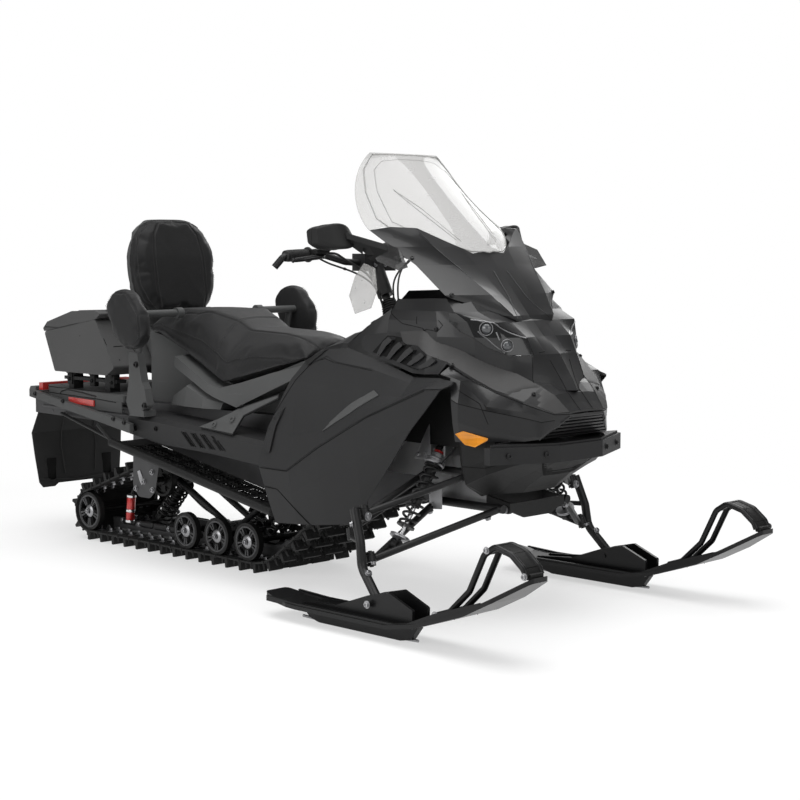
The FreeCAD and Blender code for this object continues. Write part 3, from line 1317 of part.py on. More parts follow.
def make_arms_front(label, sign):
    """Lower and upper A-arm and the shock of one side."""
    tall = size("eye_length")
    bore_r = size("kingpin_radius") + size("fit_gap")
    axis = kingpin(sign, 1) - kingpin(sign, 0)
    inner = V(-sign, 0, 0) * 18
    for name, spot, x, z, front, rear, radius in (
            ("lower", kingpin(sign, 0), size("lower_pivot_x"), size("lower_pivot_z"), -960, -705,
             size("arm_radius")),
            ("upper", kingpin(sign, KINGPIN_LENGTH), size("upper_pivot_x"), size("upper_pivot_z"), -905, -735,
             size("arm_radius") - 1)):
        tag = "%s_%s" % (name, label)
        parts = [rod("arm_front_" + tag, spot + inner, (sign * x, front, z), radius),
                 rod("arm_rear_" + tag, spot + inner, (sign * x, rear, z), radius),
                 rod("arm_eye_" + tag, spot - axis * (tall / 2), spot + axis * (tall / 2),
                     size("eye_radius")),
                 rod("arm_pivot_" + tag, (sign * x, front - 15, z), (sign * x, rear + 15, z), radius + 2)]
        if name == "lower":
            share = (spot.x * sign - 18 - size("shock_low_x")) / (spot.x * sign - 18 - x)
            y1 = spot.y + (front - spot.y) * share
            y2 = spot.y + (rear - spot.y) * share
            height = spot.z + (z - spot.z) * share
            low = (sign * size("shock_low_x"), -772, height)
            parts.append(rod("arm_cross_" + tag, (low[0], y1, height), (low[0], y2, height), 9))
        bore = rod("arm_bore_" + tag, spot - axis * 30, spot + axis * 30, bore_r)
        keep(cut("arm_" + tag, fuse("arm_whole_" + tag, parts), bore), "%s_arm_%s" % (name, label))
    keep(damper("front_shock_" + label, low, (sign * size("shock_top_x"), -790, size("shock_top_z")), 15, 23,
                (9, 7), (0, 1, 0), 8, (64, 56)), "front_shock_" + label)


def make_spindle(label, sign):
    """The spindle that carries the ski, and its tie rod."""
    lug = size("eye_radius") - 1.5
    tall = size("eye_length")
    pin = size("kingpin_radius")
    gap = size("fit_gap")
    axis = kingpin(sign, 1) - kingpin(sign, 0)
    low = kingpin(sign, 0)
    up = kingpin(sign, KINGPIN_LENGTH)
    out = V(sign, 0, 0)
    ski_x = sign * size("ski_stance") / 2
    pieces = [rod("kp_low_" + label, low - axis * 24, low + axis * 24, pin),
              rod("kp_up_" + label, up - axis * 24, up + axis * 24, pin)]
    for spot, tag in ((low, "l"), (up, "u")):
        for end in (-1, 1):
            a = spot + axis * (end * (tall / 2 + 1.0))
            b = spot + axis * (end * (tall / 2 + 10.0))
            pieces.append(rod("lug_%s%d_%s" % (tag, end, label), a, b, lug))
            centre = (a + b) * 0.5
            pieces.append(rod("web_%s%d_%s" % (tag, end, label), centre, centre + out * 34 + V(0, 8, 0), 4))
    leg = [up + out * 32 + V(0, 10, 14), low + out * 32 + V(0, 10, 50), low + out * 36 + V(0, 0, -20),
           V(ski_x, size("ski_pin_y"), size("ski_pin_z"))]
    pieces.append(tube("leg_" + label, leg, 14, 60))
    boss = size("saddle_gap") / 2 - 2
    pieces.append(rod("boss_" + label, (ski_x - boss, size("ski_pin_y"), size("ski_pin_z")),
                      (ski_x + boss, size("ski_pin_y"), size("ski_pin_z")), 20))
    arm_end = low + V(0, 72, 0) + axis * 56
    pieces.append(rod("steer_arm_" + label, low + axis * 56 + out * 32 + V(0, 10, 0), arm_end, 8))
    pieces.append(rod("steer_boss_" + label, arm_end - axis * 8, arm_end + axis * 8, 12))
    pieces.append(rod("steer_pin_" + label, arm_end, arm_end + axis * 30, 5))
    bolt_bore = rod("ski_bore_" + label, (ski_x - boss - 4, size("ski_pin_y"), size("ski_pin_z")),
                    (ski_x + boss + 4, size("ski_pin_y"), size("ski_pin_z")), size("ski_pin_radius") + gap)
    keep(cut("spindle_solid_" + label, fuse("spindle_f_" + label, pieces), bolt_bore), "spindle_" + label)
    ball_spot = arm_end + axis * 17.4
    end = V(sign * 190, ball_spot.y - 20, ball_spot.z + 120)
    tie = fuse("tie_" + label, [rod("tie_bar_" + label, ball_spot, end, 7),
                                rod("tie_eye_" + label, ball_spot - axis * 9, ball_spot + axis * 9, 12)])
    tie_bore = rod("tie_bore_" + label, ball_spot - axis * 12, ball_spot + axis * 12, 5 + gap)
    keep(cut("tie_solid_" + label, tie, tie_bore), "tie_rod_" + label)


def make_front_end():
    """A-arms, shocks, spindles, skis and tie rods for both sides."""
    for label, sign in SIDES.items():
        make_arms_front(label, sign)
        make_spindle(label, sign)
        make_ski(label, sign)


def make_ski(label, sign):
    """A ski with keel, saddle and loop, for one side."""
    centre = sign * size("ski_stance") / 2
    half = size("ski_width") / 2
    thick = size("ski_thickness")
    tip = size("ski_tip_y")
    plan = [(centre - half * 0.5, tip), (centre + half * 0.5, tip), (centre + half, -1330),
            (centre + half, -520), (centre + half * 0.6, -396), (centre - half * 0.6, -396),
            (centre - half, -520), (centre - half, -1330)]
    blade = pad("ski_plan_" + label, "XY", 0, 300, plan, 18)
    line = [(-380, 62), (-470, 46), (-560, 42), (-940, 42), (-1055, 62), (-1234, 122), (-1334, 172),
            (-1460, 244)]
    side = pad("ski_side_" + label, "YZ", centre, 2 * half + 20, band(line, thick), both=True)
    sole = common("ski_blade_" + label, [blade, side])
    keel_line = [(-1010, 46), (-980, 8), (-940, 0), (-600, 0), (-560, 10), (-520, 46)]
    keel = pad("keel_" + label, "YZ", centre, size("keel_width"), keel_line, both=True)
    pieces = [sole, keel]
    gap = size("saddle_gap") / 2
    for end in (-1, 1):
        cheek = [(-1010, 46), (-1012, 100), (-917, 138), (-832, 118), (-703, 72), (-560, 60), (-540, 44)]
        x = centre + end * (gap + 5)
        pieces.append(pad("cheek_%d_%s" % (end, label), "YZ", x, 10, cheek, 6, both=True))
        rib = [(-1290, 150), (-1290, 168), (-1120, 112), (-1000, 62), (-560, 60), (-430, 66), (-430, 50)]
        rib += [(-560, 46), (-940, 46), (-1055, 66), (-1234, 126)]
        pieces.append(pad("rib_%d_%s" % (end, label), "YZ", centre + end * (half - 8), 8, rib, both=True))
    pieces.append(rod("ski_bolt_" + label, (centre - gap - 14, size("ski_pin_y"), size("ski_pin_z")),
                      (centre + gap + 14, size("ski_pin_y"), size("ski_pin_z")), size("ski_pin_radius")))
    keep(fuse("ski_solid_" + label, pieces), "ski_" + label)
    rails = []
    for end in (-1, 1):
        x = centre + end * size("loop_half")
        rails.append(tube("loop_%d_%s" % (end, label),
                          [(x, -1100, 100.2), (x, -1150, 117), (x, -1222, 184), (x, -1276, 292),
                           (x, -1316, 318),
                           (x, -1372, 303), (x, -1414, 270), (x, -1423, 251)], size("loop_radius"), 30))
    rails.append(rod("loop_bridge_" + label, (centre - size("loop_half"), -1316, 316),
                     (centre + size("loop_half"), -1316, 316), size("loop_radius") - 1))
    keep(fuse("loop_solid_" + label, rails), "ski_loop_" + label)


def make_frame():
    """The alloy bulkhead that carries the arms, shocks and bumper."""
    pieces = []
    rear = size("tunnel_front_y") - size("seam")
    low_z = size("lower_pivot_z")
    inner = size("lower_pivot_x") - size("arm_radius") - 13
    for sign in (-1, 1):
        outline = [(-980, low_z - 17), (-688, low_z - 17), (-640, 400), (rear, 400), (rear, 518), (-890, 518),
                   (-890, low_z + 30), (-980, low_z + 15)]
        window = [(-860, 400), (-745, 400), (-745, 488), (-860, 488)]
        plate = pad("frame_side_%d" % sign, "YZ", sign * (inner - 5), 10, outline, 8, both=True)
        hole = pad("frame_window_%d" % sign, "YZ", sign * (inner - 5), 30, window, 8, both=True)
        pieces.append(cut("frame_cheek_%d" % sign, plate, hole))
        low, high = sorted((sign * (inner - 5), sign * 240))
        for y in (-822, -764):
            pieces.append(box("tower_%d_%d" % (sign, y), (low, y, 486), (high, y + 7, 518)))
        pieces.append(rod("tower_pin_%d" % sign, (sign * size("shock_top_x"), -818, size("shock_top_z")),
                          (sign * size("shock_top_x"), -760, size("shock_top_z")), 7))
        far = size("upper_pivot_x") + 12
        low, high = sorted((sign * (inner - 5), sign * far))
        for y in (-929, -719):
            pieces.append(box("bracket_%d_%d" % (sign, y), (low, y, size("upper_pivot_z") - 14),
                              (high, y + 8, size("upper_pivot_z") + 14)))
        pieces.append(box("frame_ear_%d" % sign, (sign * (inner - 5) - 5, -929, size("upper_pivot_z") - 14),
                          (sign * (inner - 5) + 5, -885, size("upper_pivot_z") + 14)))
        pieces.append(box("stay_%d" % sign, (sign * (inner - 5) - 6, -1092, 505),
                          (sign * (inner - 5) + 6, -880, 517)))
    pieces.append(box("frame_front", (5 - inner, -898, 330), (inner - 5, -890, 476)))
    pieces.append(box("frame_rear", (5 - inner, -700, 330), (inner - 5, -692, 476)))
    skid = [(-inner, low_z + 15), (inner, low_z + 15), (inner, low_z - 8), (61, 302), (-61, 302),
            (-inner, low_z - 8)]
    pieces.append(pad("frame_skid", "XZ", -972, 8, skid))
    reach = 408.5 - 0.8 * size("panel_wall") - size("seam")
    pieces.append(rod("frame_tube", (-reach, -447, 500), (reach, -447, 500), 13))
    keep(fuse("frame_solid", pieces), "front_frame")


# ---------------------------------------------------------------- build

make_track()
make_wheels()
make_drive_axle()
make_rails()
make_arms()
make_skid_shocks()
make_tunnel()
make_boards()
make_side_skirts()
make_rear()
make_cargo()
make_seat()
make_side_pads()
make_panels()
make_hood()
make_nose()
make_windshield()
make_console()
make_steering()
make_front_end()
make_frame()

doc.recompute()
for item in doc.Objects:
    if "Invalid" in item.State or "Error" in item.State:
        raise RuntimeError("%s is %s" % (item.Name, item.State))
for item in NODES:
    if item.Shape.isNull() or not item.Shape.isValid() or not item.Shape.Solids:
        raise RuntimeError("%s has no valid solid" % item.Label)

os.makedirs("parts", exist_ok=True)
for item in NODES:
    item.Shape.exportStep("parts/%s.step" % item.Label)
    bounds = item.Shape.optimalBoundingBox()
    print("%-26s solids %2d  x %6.0f %6.0f  y %6.0f %6.0f  z %6.0f %6.0f" % (
        item.Label, len(item.Shape.Solids), bounds.XMin, bounds.XMax, bounds.YMin, bounds.YMax,
        bounds.ZMin, bounds.ZMax))
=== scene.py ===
"""Visual model of a two-up touring snowmobile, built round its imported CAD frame.

-Y is forward, +X the rider's left, +Z up, and every length is in metres.
"""
import json
import logging
import math
from dataclasses import dataclass, field
from enum import Enum
from typing import Callable, Iterable, Sequence

import bmesh
import bpy
import numpy as np
from mathutils import Matrix, Vector
from mathutils.bvhtree import BVHTree


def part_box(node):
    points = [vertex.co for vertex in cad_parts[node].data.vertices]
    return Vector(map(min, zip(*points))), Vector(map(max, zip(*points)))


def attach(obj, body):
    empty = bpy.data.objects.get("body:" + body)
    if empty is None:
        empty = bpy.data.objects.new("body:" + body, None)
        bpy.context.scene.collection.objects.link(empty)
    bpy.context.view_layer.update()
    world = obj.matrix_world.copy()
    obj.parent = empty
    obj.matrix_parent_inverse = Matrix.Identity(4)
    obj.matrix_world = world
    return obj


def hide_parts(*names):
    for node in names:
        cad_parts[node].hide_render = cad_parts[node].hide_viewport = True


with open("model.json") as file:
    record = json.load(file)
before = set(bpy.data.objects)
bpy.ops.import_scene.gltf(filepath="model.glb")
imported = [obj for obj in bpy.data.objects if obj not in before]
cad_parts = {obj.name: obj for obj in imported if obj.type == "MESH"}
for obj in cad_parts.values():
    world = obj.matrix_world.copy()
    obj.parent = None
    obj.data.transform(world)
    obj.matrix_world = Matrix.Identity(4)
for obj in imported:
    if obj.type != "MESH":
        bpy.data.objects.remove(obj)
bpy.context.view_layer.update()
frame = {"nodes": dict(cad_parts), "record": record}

log = logging.getLogger("snowmobile")

Point = Sequence[float]
Colour = tuple[float, float, float]
MM = 0.001


class Side(Enum):
    """The rider's two sides, with the sign of their X."""

    RIGHT = -1
    LEFT = 1

    @property
    def label(self) -> str:
        """The side's name as the CAD nodes write it."""
        return self.name.lower()


class Body(Enum):
    """The bodies that a piece rides on."""

    CHASSIS = "chassis"
    STEERING = "steering_head"
    LID = "lid"
    RIGHT_SKI = "right_ski"
    LEFT_SKI = "left_ski"

    @staticmethod
    def ski(side: Side) -> "Body":
        """The ski body of one side."""
        return Body.RIGHT_SKI if side is Side.RIGHT else Body.LEFT_SKI


def mm(*values: float) -> Vector:
    """A point or vector given in millimetres."""
    return Vector(values) * MM


# ---------------------------------------------------------------- shader maths


@dataclass
class Wire:
    """An output socket of a material, on which arithmetic adds Math nodes."""

    bench: "Bench"
    socket: bpy.types.NodeSocket

    def math(self, operation: str, first: "Wire | float", second: "Wire | float" = 0.0) -> "Wire":
        """Adds one Math node.

        Args:
            operation: The node's operation.
            first: Its first value or link.
            second: Its second value or link.

        Returns:
            The node's output.
        """
        return self.bench.node("ShaderNodeMath", {"operation": operation}, {0: first, 1: second})

    def __add__(self, other: "Wire | float") -> "Wire":
        """self + other."""
        return self.math("ADD", self, other)

    def __radd__(self, other: float) -> "Wire":
        """other + self."""
        return self.math("ADD", other, self)

    def __sub__(self, other: "Wire | float") -> "Wire":
        """self - other."""
        return self.math("SUBTRACT", self, other)

    def __rsub__(self, other: float) -> "Wire":
        """other - self."""
        return self.math("SUBTRACT", other, self)

    def __mul__(self, other: "Wire | float") -> "Wire":
        """self * other."""
        return self.math("MULTIPLY", self, other)

    def __rmul__(self, other: float) -> "Wire":
        """other * self."""
        return self.math("MULTIPLY", other, self)

    def __truediv__(self, other: "Wire | float") -> "Wire":
        """self / other."""
        return self.math("DIVIDE", self, other)

    def __gt__(self, other: "Wire | float") -> "Wire":
        """1 where self is more than other."""
        return self.math("GREATER_THAN", self, other)

    def __lt__(self, other: "Wire | float") -> "Wire":
        """1 where self is less than other."""
        return self.math("LESS_THAN", self, other)

    def __mod__(self, other: float) -> "Wire":
        """self wrapped into 0 to other."""
        return self.math("FLOORED_MODULO", self, other)

    def __abs__(self) -> "Wire":
        """self without its sign."""
        return self.math("ABSOLUTE", self)

    def part(self, name: str) -> "Wire":
        """Another output of the same node."""
        return Wire(self.bench, self.socket.node.outputs[name])

    def axes(self) -> "tuple[Wire, Wire, Wire]":
        """The X, Y and Z of a vector."""
        first = self.bench.node("ShaderNodeSeparateXYZ", {}, {0: self})
        return first, first.part("Y"), first.part("Z")


class Bench:
    """The node tree of one new material."""

    def __init__(self, name: str) -> None:
        """Starts an empty material.

        Args:
            name: The material's name.
        """
        self.material = bpy.data.materials.new(f"{name}_finish")
        self.material.use_nodes = True
        self.tree = self.material.node_tree
        self.tree.nodes.clear()

    def node(self, kind: str, settings: dict | None = None, sockets: dict | None = None,
             out: int | str = 0) -> Wire:
        """Adds a node.

        Args:
            kind: The node's type.
            settings: Its own settings, set first. "stops" are a ramp's stops.
            sockets: The value or link of each input, by name or place.
            out: The output to return.

        Returns:
            One output of the node.
        """
        made = self.tree.nodes.new(kind)
        for key, value in (settings or {}).items():
            if key == "stops":
                self._stops(made.color_ramp, value)
            else:
                setattr(made, key, value)
        for key, value in (sockets or {}).items():
            if isinstance(value, Wire):
                self.tree.links.new(value.socket, made.inputs[key])
            else:
                made.inputs[key].default_value = value
        return Wire(self, made.outputs[out]) if len(made.outputs) else Wire(self, made.inputs[0])

    @staticmethod
    def _stops(ramp: bpy.types.ColorRamp, stops: Sequence[tuple[float, float]]) -> None:
        """Sets a ramp's grey stops.

        Args:
            ramp: The ramp.
            stops: Place and grey level of each stop.
        """
        for element, (place, level) in zip(ramp.elements, stops):
            element.position = place
            element.color = (level, level, level, 1.0)

    def place(self, scale: Point = (1, 1, 1)) -> Wire:
        """Object coordinates, scaled along each axis for a pattern.

        Args:
            scale: How much they are scaled.

        Returns:
            The coordinates' socket.
        """
        here = self.node("ShaderNodeTexCoord", out="Object")
        return self.node("ShaderNodeMapping", {"vector_type": "POINT"},
                         {"Vector": here, "Scale": scale})

    def noise(self, where: Wire, scale: float, detail: float = 3.0, rough: float = 0.55) -> Wire:
        """Noise from 0 to 1."""
        return self.node("ShaderNodeTexNoise", {},
                         {"Vector": where, "Scale": scale, "Detail": detail, "Roughness": rough})

    def cells(self, where: Wire, scale: float, feature: str = "F1") -> Wire:
        """Distance to the cells of a Voronoi pattern."""
        return self.node("ShaderNodeTexVoronoi", {"feature": feature},
                         {"Vector": where, "Scale": scale, "Randomness": 1.0}, "Distance")

    def ramp(self, value: Wire, low: float, high: float) -> Wire:
        """Runs a value from 0 at low to 1 at high, smoothly."""
        return self.node("ShaderNodeMapRange", {"interpolation_type": "SMOOTHSTEP"},
                         {"Value": value, "From Min": low, "From Max": high})

    def blend(self, mask: Wire | float, first: Wire | Colour, second: Wire | Colour) -> Wire:
        """Mixes two colours.

        Args:
            mask: How much of the second colour shows.
            first: The colour where the mask is 0.
            second: The colour where it is 1.

        Returns:
            The mixed colour's socket.
        """
        ends = [c if isinstance(c, Wire) else (*c, 1.0) for c in (first, second)]
        return self.node("ShaderNodeMix", {"data_type": "RGBA"},
                         {0: mask, 6: ends[0], 7: ends[1]}, 2)

    def bump(self, height: Wire, depth: float, strength: float = 1.0) -> Wire:
        """A normal that stands for a height, whose full step is depth metres."""
        return self.node("ShaderNodeBump", {},
                         {"Height": height, "Distance": depth, "Strength": strength})

    def finish(self, shader: Wire) -> bpy.types.Material:
        """Links the surface and returns the material."""
        self.node("ShaderNodeOutputMaterial", {}, {"Surface": shader})
        return self.material

    def surface(self, **sockets: object) -> Wire:
        """A Principled surface, its sockets' names given with _ for spaces.

        Args:
            sockets: The shader's inputs by name.

        Returns:
            The shader's socket.
        """
        named = {key.replace("_", " "): value for key, value in sockets.items()}
        colour = named.get("Base Color")
        if isinstance(colour, tuple) and len(colour) == 3:
            named["Base Color"] = (*colour, 1.0)
        return self.node("ShaderNodeBsdfPrincipled", {}, named)


def shade(colour: Colour, factor: float) -> Colour:
    """The colour made lighter or darker."""
    return tuple(min(1.0, c * factor) for c in colour)


# ---------------------------------------------------------------- finishes


@dataclass(frozen=True)
class Finish:
    """A named material with its main colour, made once and shared."""

    name: str
    colour: Colour

    def build(self) -> bpy.types.Material:
        """Makes the material."""
        raise NotImplementedError

    def material(self) -> bpy.types.Material:
        """The material, made at the first call."""
        return bpy.data.materials.get(f"{self.name}_finish") or self.build()


@dataclass(frozen=True)
class Moulded(Finish):
    """Moulded plastic: fine grain, cloudy tone and a little dust rubbed into it.

    grain is the grain's cells per metre, depth its height in metres, mottle the change of tone.
    """

    roughness: float = 0.5
    grain: float = 950.0
    depth: float = 0.00006
    mottle: float = 0.10
    specular: float = 0.2

    def build(self) -> bpy.types.Material:
        """Makes the material.

        Returns:
            The material.
        """
        bench = Bench(self.name)
        here = bench.place()
        cloud = bench.noise(here, 5.0, 4.0)
        fine = bench.noise(here, 140.0, 2.0)
        tone = bench.blend(cloud, shade(self.colour, 1 - self.mottle),
                           shade(self.colour, 1 + self.mottle))
        scuff = bench.ramp(bench.noise(bench.place(scale=(1, 0.12, 1)), 95.0, 2.0), 0.66, 0.8)
        tone = bench.blend(scuff * 0.16, tone, shade(self.colour, 2.2))
        rough = self.roughness - 0.05 + fine * 0.08 + cloud * 0.06
        height = bench.cells(here, self.grain, "SMOOTH_F1")
        return bench.finish(bench.surface(
            Base_Color=tone, Roughness=rough, Specular_IOR_Level=self.specular,
            Normal=bench.bump(height, self.depth, 0.6)))


@dataclass(frozen=True)
class Gloss(Finish):
    """Polished plastic under a clear coat, with faint smudges and dust."""

    roughness: float = 0.22
    coat: float = 0.35

    def build(self) -> bpy.types.Material:
        """Makes the material.

        Returns:
            The material.
        """
        bench = Bench(self.name)
        here = bench.place()
        smudge = bench.ramp(bench.noise(here, 9.0, 5.0, 0.6), 0.42, 0.72)
        dust = bench.ramp(bench.noise(here, 420.0, 1.0), 0.68, 0.78)
        tone = bench.blend(dust * 0.10 + smudge * 0.04, self.colour, shade(self.colour, 2.4))
        wave = bench.noise(here, 14.0, 1.0)
        return bench.finish(bench.surface(
            Base_Color=tone, Roughness=self.roughness + smudge * 0.05, Specular_IOR_Level=0.35,
            Coat_Weight=self.coat - smudge * 0.04, Coat_Roughness=0.06,
            Normal=bench.bump(wave, 0.0003, 0.2)))


@dataclass(frozen=True)
class Vinyl(Finish):
    """Seat vinyl: pebbled grain, shallow creases, and a tone that changes at random.

    dots is the punched holes' spacing in metres, on the part within half of the middle, or 0. The
    holes are darkened with painted shade.
    """

    dots: float = 0.0
    half: float = 0.1
    roughness: float = 0.5

    def build(self) -> bpy.types.Material:
        """Makes the material.

        Returns:
            The material.
        """
        bench = Bench(self.name)
        here = bench.place()
        pebble = bench.cells(here, 620.0, "SMOOTH_F1")
        crease = bench.noise(bench.place(scale=(1, 0.6, 1.4)), 26.0, 3.0, 0.5)
        cloud = bench.noise(here, 4.5, 3.0)
        tone = bench.blend(cloud, shade(self.colour, 0.88), shade(self.colour, 1.14))
        tone = bench.blend(bench.ramp(pebble, 0.1, 0.7) * 0.25, tone, shade(self.colour, 0.6))
        height = bench.ramp(pebble, 0.0, 0.6) * -0.30 + crease * 0.7
        rough = self.roughness + cloud * 0.12 - bench.ramp(crease, 0.5, 0.8) * 0.05
        if self.dots:
            x, _, z = here.axes()
            row = z / self.dots
            odd = (row % 2.0) > 1.0
            across = abs(((x / self.dots + odd * 0.5) % 1.0) - 0.5)
            up = abs((row % 1.0) - 0.5)
            hole = bench.ramp(across * across + up * up, 0.07, 0.03) * (abs(x) < self.half)
            # painted shade: the punched holes are darkened
            tone = bench.blend(hole * 0.75, tone, shade(self.colour, 0.25))
            height = height - hole * 0.9
        return bench.finish(bench.surface(
            Base_Color=tone, Roughness=rough, Specular_IOR_Level=0.16, Sheen_Weight=0.05,
            Sheen_Roughness=0.5, Normal=bench.bump(height, 0.0006, 0.55)))


@dataclass(frozen=True)
class Clear(Finish):
    """Clear acrylic sheet, seen through, with fine wipe marks, and more opaque where seen edge-on
    as a painted reflection.
    """

    alpha: float = 0.3
    roughness: float = 0.05

    def build(self) -> bpy.types.Material:
        """Makes the material.

        Returns:
            The material.
        """
        bench = Bench(self.name)
        wipe = bench.ramp(bench.noise(bench.place(scale=(0.25, 1, 1)), 60.0, 3.0), 0.5, 0.85)
        cloud = bench.noise(bench.place(), 5.0, 2.0)
        # painted reflection: the sheet is made more opaque where it is seen edge-on
        edge = bench.node("ShaderNodeLayerWeight", {}, {"Blend": 0.35}, "Facing")
        alpha = self.alpha + wipe * 0.04 + edge * 0.22
        tone = bench.blend(cloud, shade(self.colour, 0.95), self.colour)
        return bench.finish(bench.surface(
            Base_Color=tone, Roughness=self.roughness + wipe * 0.10, IOR=1.49, Alpha=alpha))


@dataclass(frozen=True)
class Lens(Finish):
    """Coloured lamp plastic with moulded ribs and a glossy face.

    ribs is their number per metre along X and Y.
    """

    ribs: float = 160.0
    alpha: float = 1.0

    def build(self) -> bpy.types.Material:
        """Makes the material.

        Returns:
            The material.
        """
        bench = Bench(self.name)
        x, y, z = bench.place().axes()
        slant = ((x + y) * self.ribs) % 1.0
        ridge = abs(slant - 0.5) * 2.0
        level = abs(((z * (self.ribs * 0.5)) % 1.0) - 0.5) * 2.0
        tone = bench.blend(ridge * 0.55 + level * 0.2, shade(self.colour, 0.72),
                           shade(self.colour, 1.12))
        return bench.finish(bench.surface(
            Base_Color=tone, Roughness=0.22 + ridge * 0.08, IOR=1.5, Coat_Weight=0.5,
            Coat_Roughness=0.04, Alpha=self.alpha, Normal=bench.bump(ridge, 0.0006, 0.6)))


@dataclass(frozen=True)
class Coated(Finish):
    """Steel tube under satin powder coat, with a light orange-peel skin and chips at random."""

    roughness: float = 0.36

    def build(self) -> bpy.types.Material:
        """Makes the material.

        Returns:
            The material.
        """
        bench = Bench(self.name)
        here = bench.place()
        peel = bench.noise(here, 520.0, 2.0)
        cloud = bench.noise(here, 11.0, 3.0)
        chip = bench.ramp(bench.noise(here, 230.0, 2.0, 0.7), 0.73, 0.78)
        tone = bench.blend(cloud, shade(self.colour, 0.85), shade(self.colour, 1.25))
        tone = bench.blend(chip * 0.5, tone, (0.16, 0.16, 0.16))
        return bench.finish(bench.surface(
            Base_Color=tone, Roughness=self.roughness + peel * 0.08 + chip * 0.2,
            Specular_IOR_Level=0.28, Coat_Weight=0.1 - chip * 0.1, Coat_Roughness=0.2,
            Normal=bench.bump(peel, 0.00008, 0.5)))


@dataclass(frozen=True)
class Metal(Finish):
    """Bare metal: cast and slightly pitted, or brushed along one axis.

    brush stretches the marks: 1 is cast, more is brushed along Y.
    """

    roughness: float = 0.35
    brush: float = 1.0
    pits: float = 0.4

    def build(self) -> bpy.types.Material:
        """Makes the material.

        Returns:
            The material.
        """
        bench = Bench(self.name)
        marks = bench.noise(bench.place(scale=(1, 1 / self.brush, 1)), 360.0, 3.0)
        cloud = bench.noise(bench.place(), 13.0, 4.0)
        pit = bench.ramp(bench.noise(bench.place(), 640.0, 2.0), 0.66, 0.8)
        tone = bench.blend(cloud, shade(self.colour, 0.8), shade(self.colour, 1.1))
        tone = bench.blend(pit * self.pits, tone, shade(self.colour, 0.45))
        return bench.finish(bench.surface(
            Base_Color=tone, Metallic=1.0 - cloud * 0.12,
            Roughness=self.roughness + marks * 0.16 - 0.04,
            Normal=bench.bump(marks - pit * 0.6, 0.00012, 0.5)))


@dataclass(frozen=True)
class Bulkhead(Finish):
    """Cast alloy plates that turn to black plastic ahead of a line across the machine.

    nose is that line's Y in metres.
    """

    nose: float = -1.0

    def build(self) -> bpy.types.Material:
        """Makes the material.

        Returns:
            The material.
        """
        bench = Bench(self.name)
        here = bench.place()
        _, y, _ = here.axes()
        cover = bench.ramp(y, self.nose + 0.002, self.nose - 0.002)
        marks = bench.noise(here, 340.0, 3.0)
        cloud = bench.noise(here, 12.0, 3.0)
        metal = bench.blend(cloud, shade(self.colour, 0.8), shade(self.colour, 1.1))
        tone = bench.blend(cover, metal, (0.014, 0.014, 0.014))
        return bench.finish(bench.surface(
            Base_Color=tone, Metallic=0.9 - cover * 0.9, Roughness=0.42 + marks * 0.14,
            Specular_IOR_Level=0.25, Normal=bench.bump(marks, 0.0001, 0.5)))


@dataclass(frozen=True)
class Rubber(Finish):
    """Rubber with a matt bloom, fine grit in it, and patches of dried dirt.

    weave adds the cord lines that show through a belt, per metre.
    """

    roughness: float = 0.72
    dirt: float = 0.25
    weave: float = 0.0

    def build(self) -> bpy.types.Material:
        """Makes the material.

        Returns:
            The material.
        """
        bench = Bench(self.name)
        here = bench.place()
        cloud = bench.noise(here, 16.0, 5.0, 0.6)
        grit = bench.noise(here, 480.0, 2.0)
        bloom = bench.ramp(cloud, 0.45, 0.75)
        tone = bench.blend(bloom * self.dirt, self.colour, shade(self.colour, 3.2))
        height = grit
        if self.weave:
            x, _, _ = here.axes()
            cord = abs(((x * self.weave) % 1.0) - 0.5)
            height = grit * 0.4 + bench.ramp(cord, 0.05, 0.4)
        return bench.finish(bench.surface(
            Base_Color=tone, Roughness=self.roughness + bloom * 0.12, Specular_IOR_Level=0.35,
            Normal=bench.bump(height, 0.0003, 0.6)))


@dataclass(frozen=True)
class SkiPlastic(Finish):
    """Waxy ski plastic, scratched lengthwise and paler where it has worn."""

    roughness: float = 0.32

    def build(self) -> bpy.types.Material:
        """Makes the material.

        Returns:
            The material.
        """
        bench = Bench(self.name)
        here = bench.place()
        scratch = bench.ramp(bench.noise(bench.place(scale=(1, 0.03, 1)), 520.0, 2.0), 0.6, 0.75)
        _, _, z = here.axes()
        worn = bench.ramp(z, 0.05, 0.0) * bench.ramp(bench.noise(here, 22.0, 4.0), 0.4, 0.7)
        tone = bench.blend(scratch * 0.10 + worn * 0.25, self.colour, shade(self.colour, 3.0))
        return bench.finish(bench.surface(
            Base_Color=tone, Roughness=self.roughness + scratch * 0.12 + worn * 0.2,
            Specular_IOR_Level=0.25, Normal=bench.bump(scratch, 0.0001, 0.4)))


@dataclass(frozen=True)
class Painted(Finish):
    """Coloured paint with a clear coat and a fine metallic fleck."""

    def build(self) -> bpy.types.Material:
        """Makes the material.

        Returns:
            The material.
        """
        bench = Bench(self.name)
        fleck = bench.cells(bench.place(), 1500.0)
        tone = bench.blend(bench.ramp(fleck, 0.2, 0.6), shade(self.colour, 1.3), self.colour)
        return bench.finish(bench.surface(
            Base_Color=tone, Metallic=0.35 + fleck * 0.1, Roughness=0.34, Coat_Weight=0.8,
            Coat_Roughness=0.08))


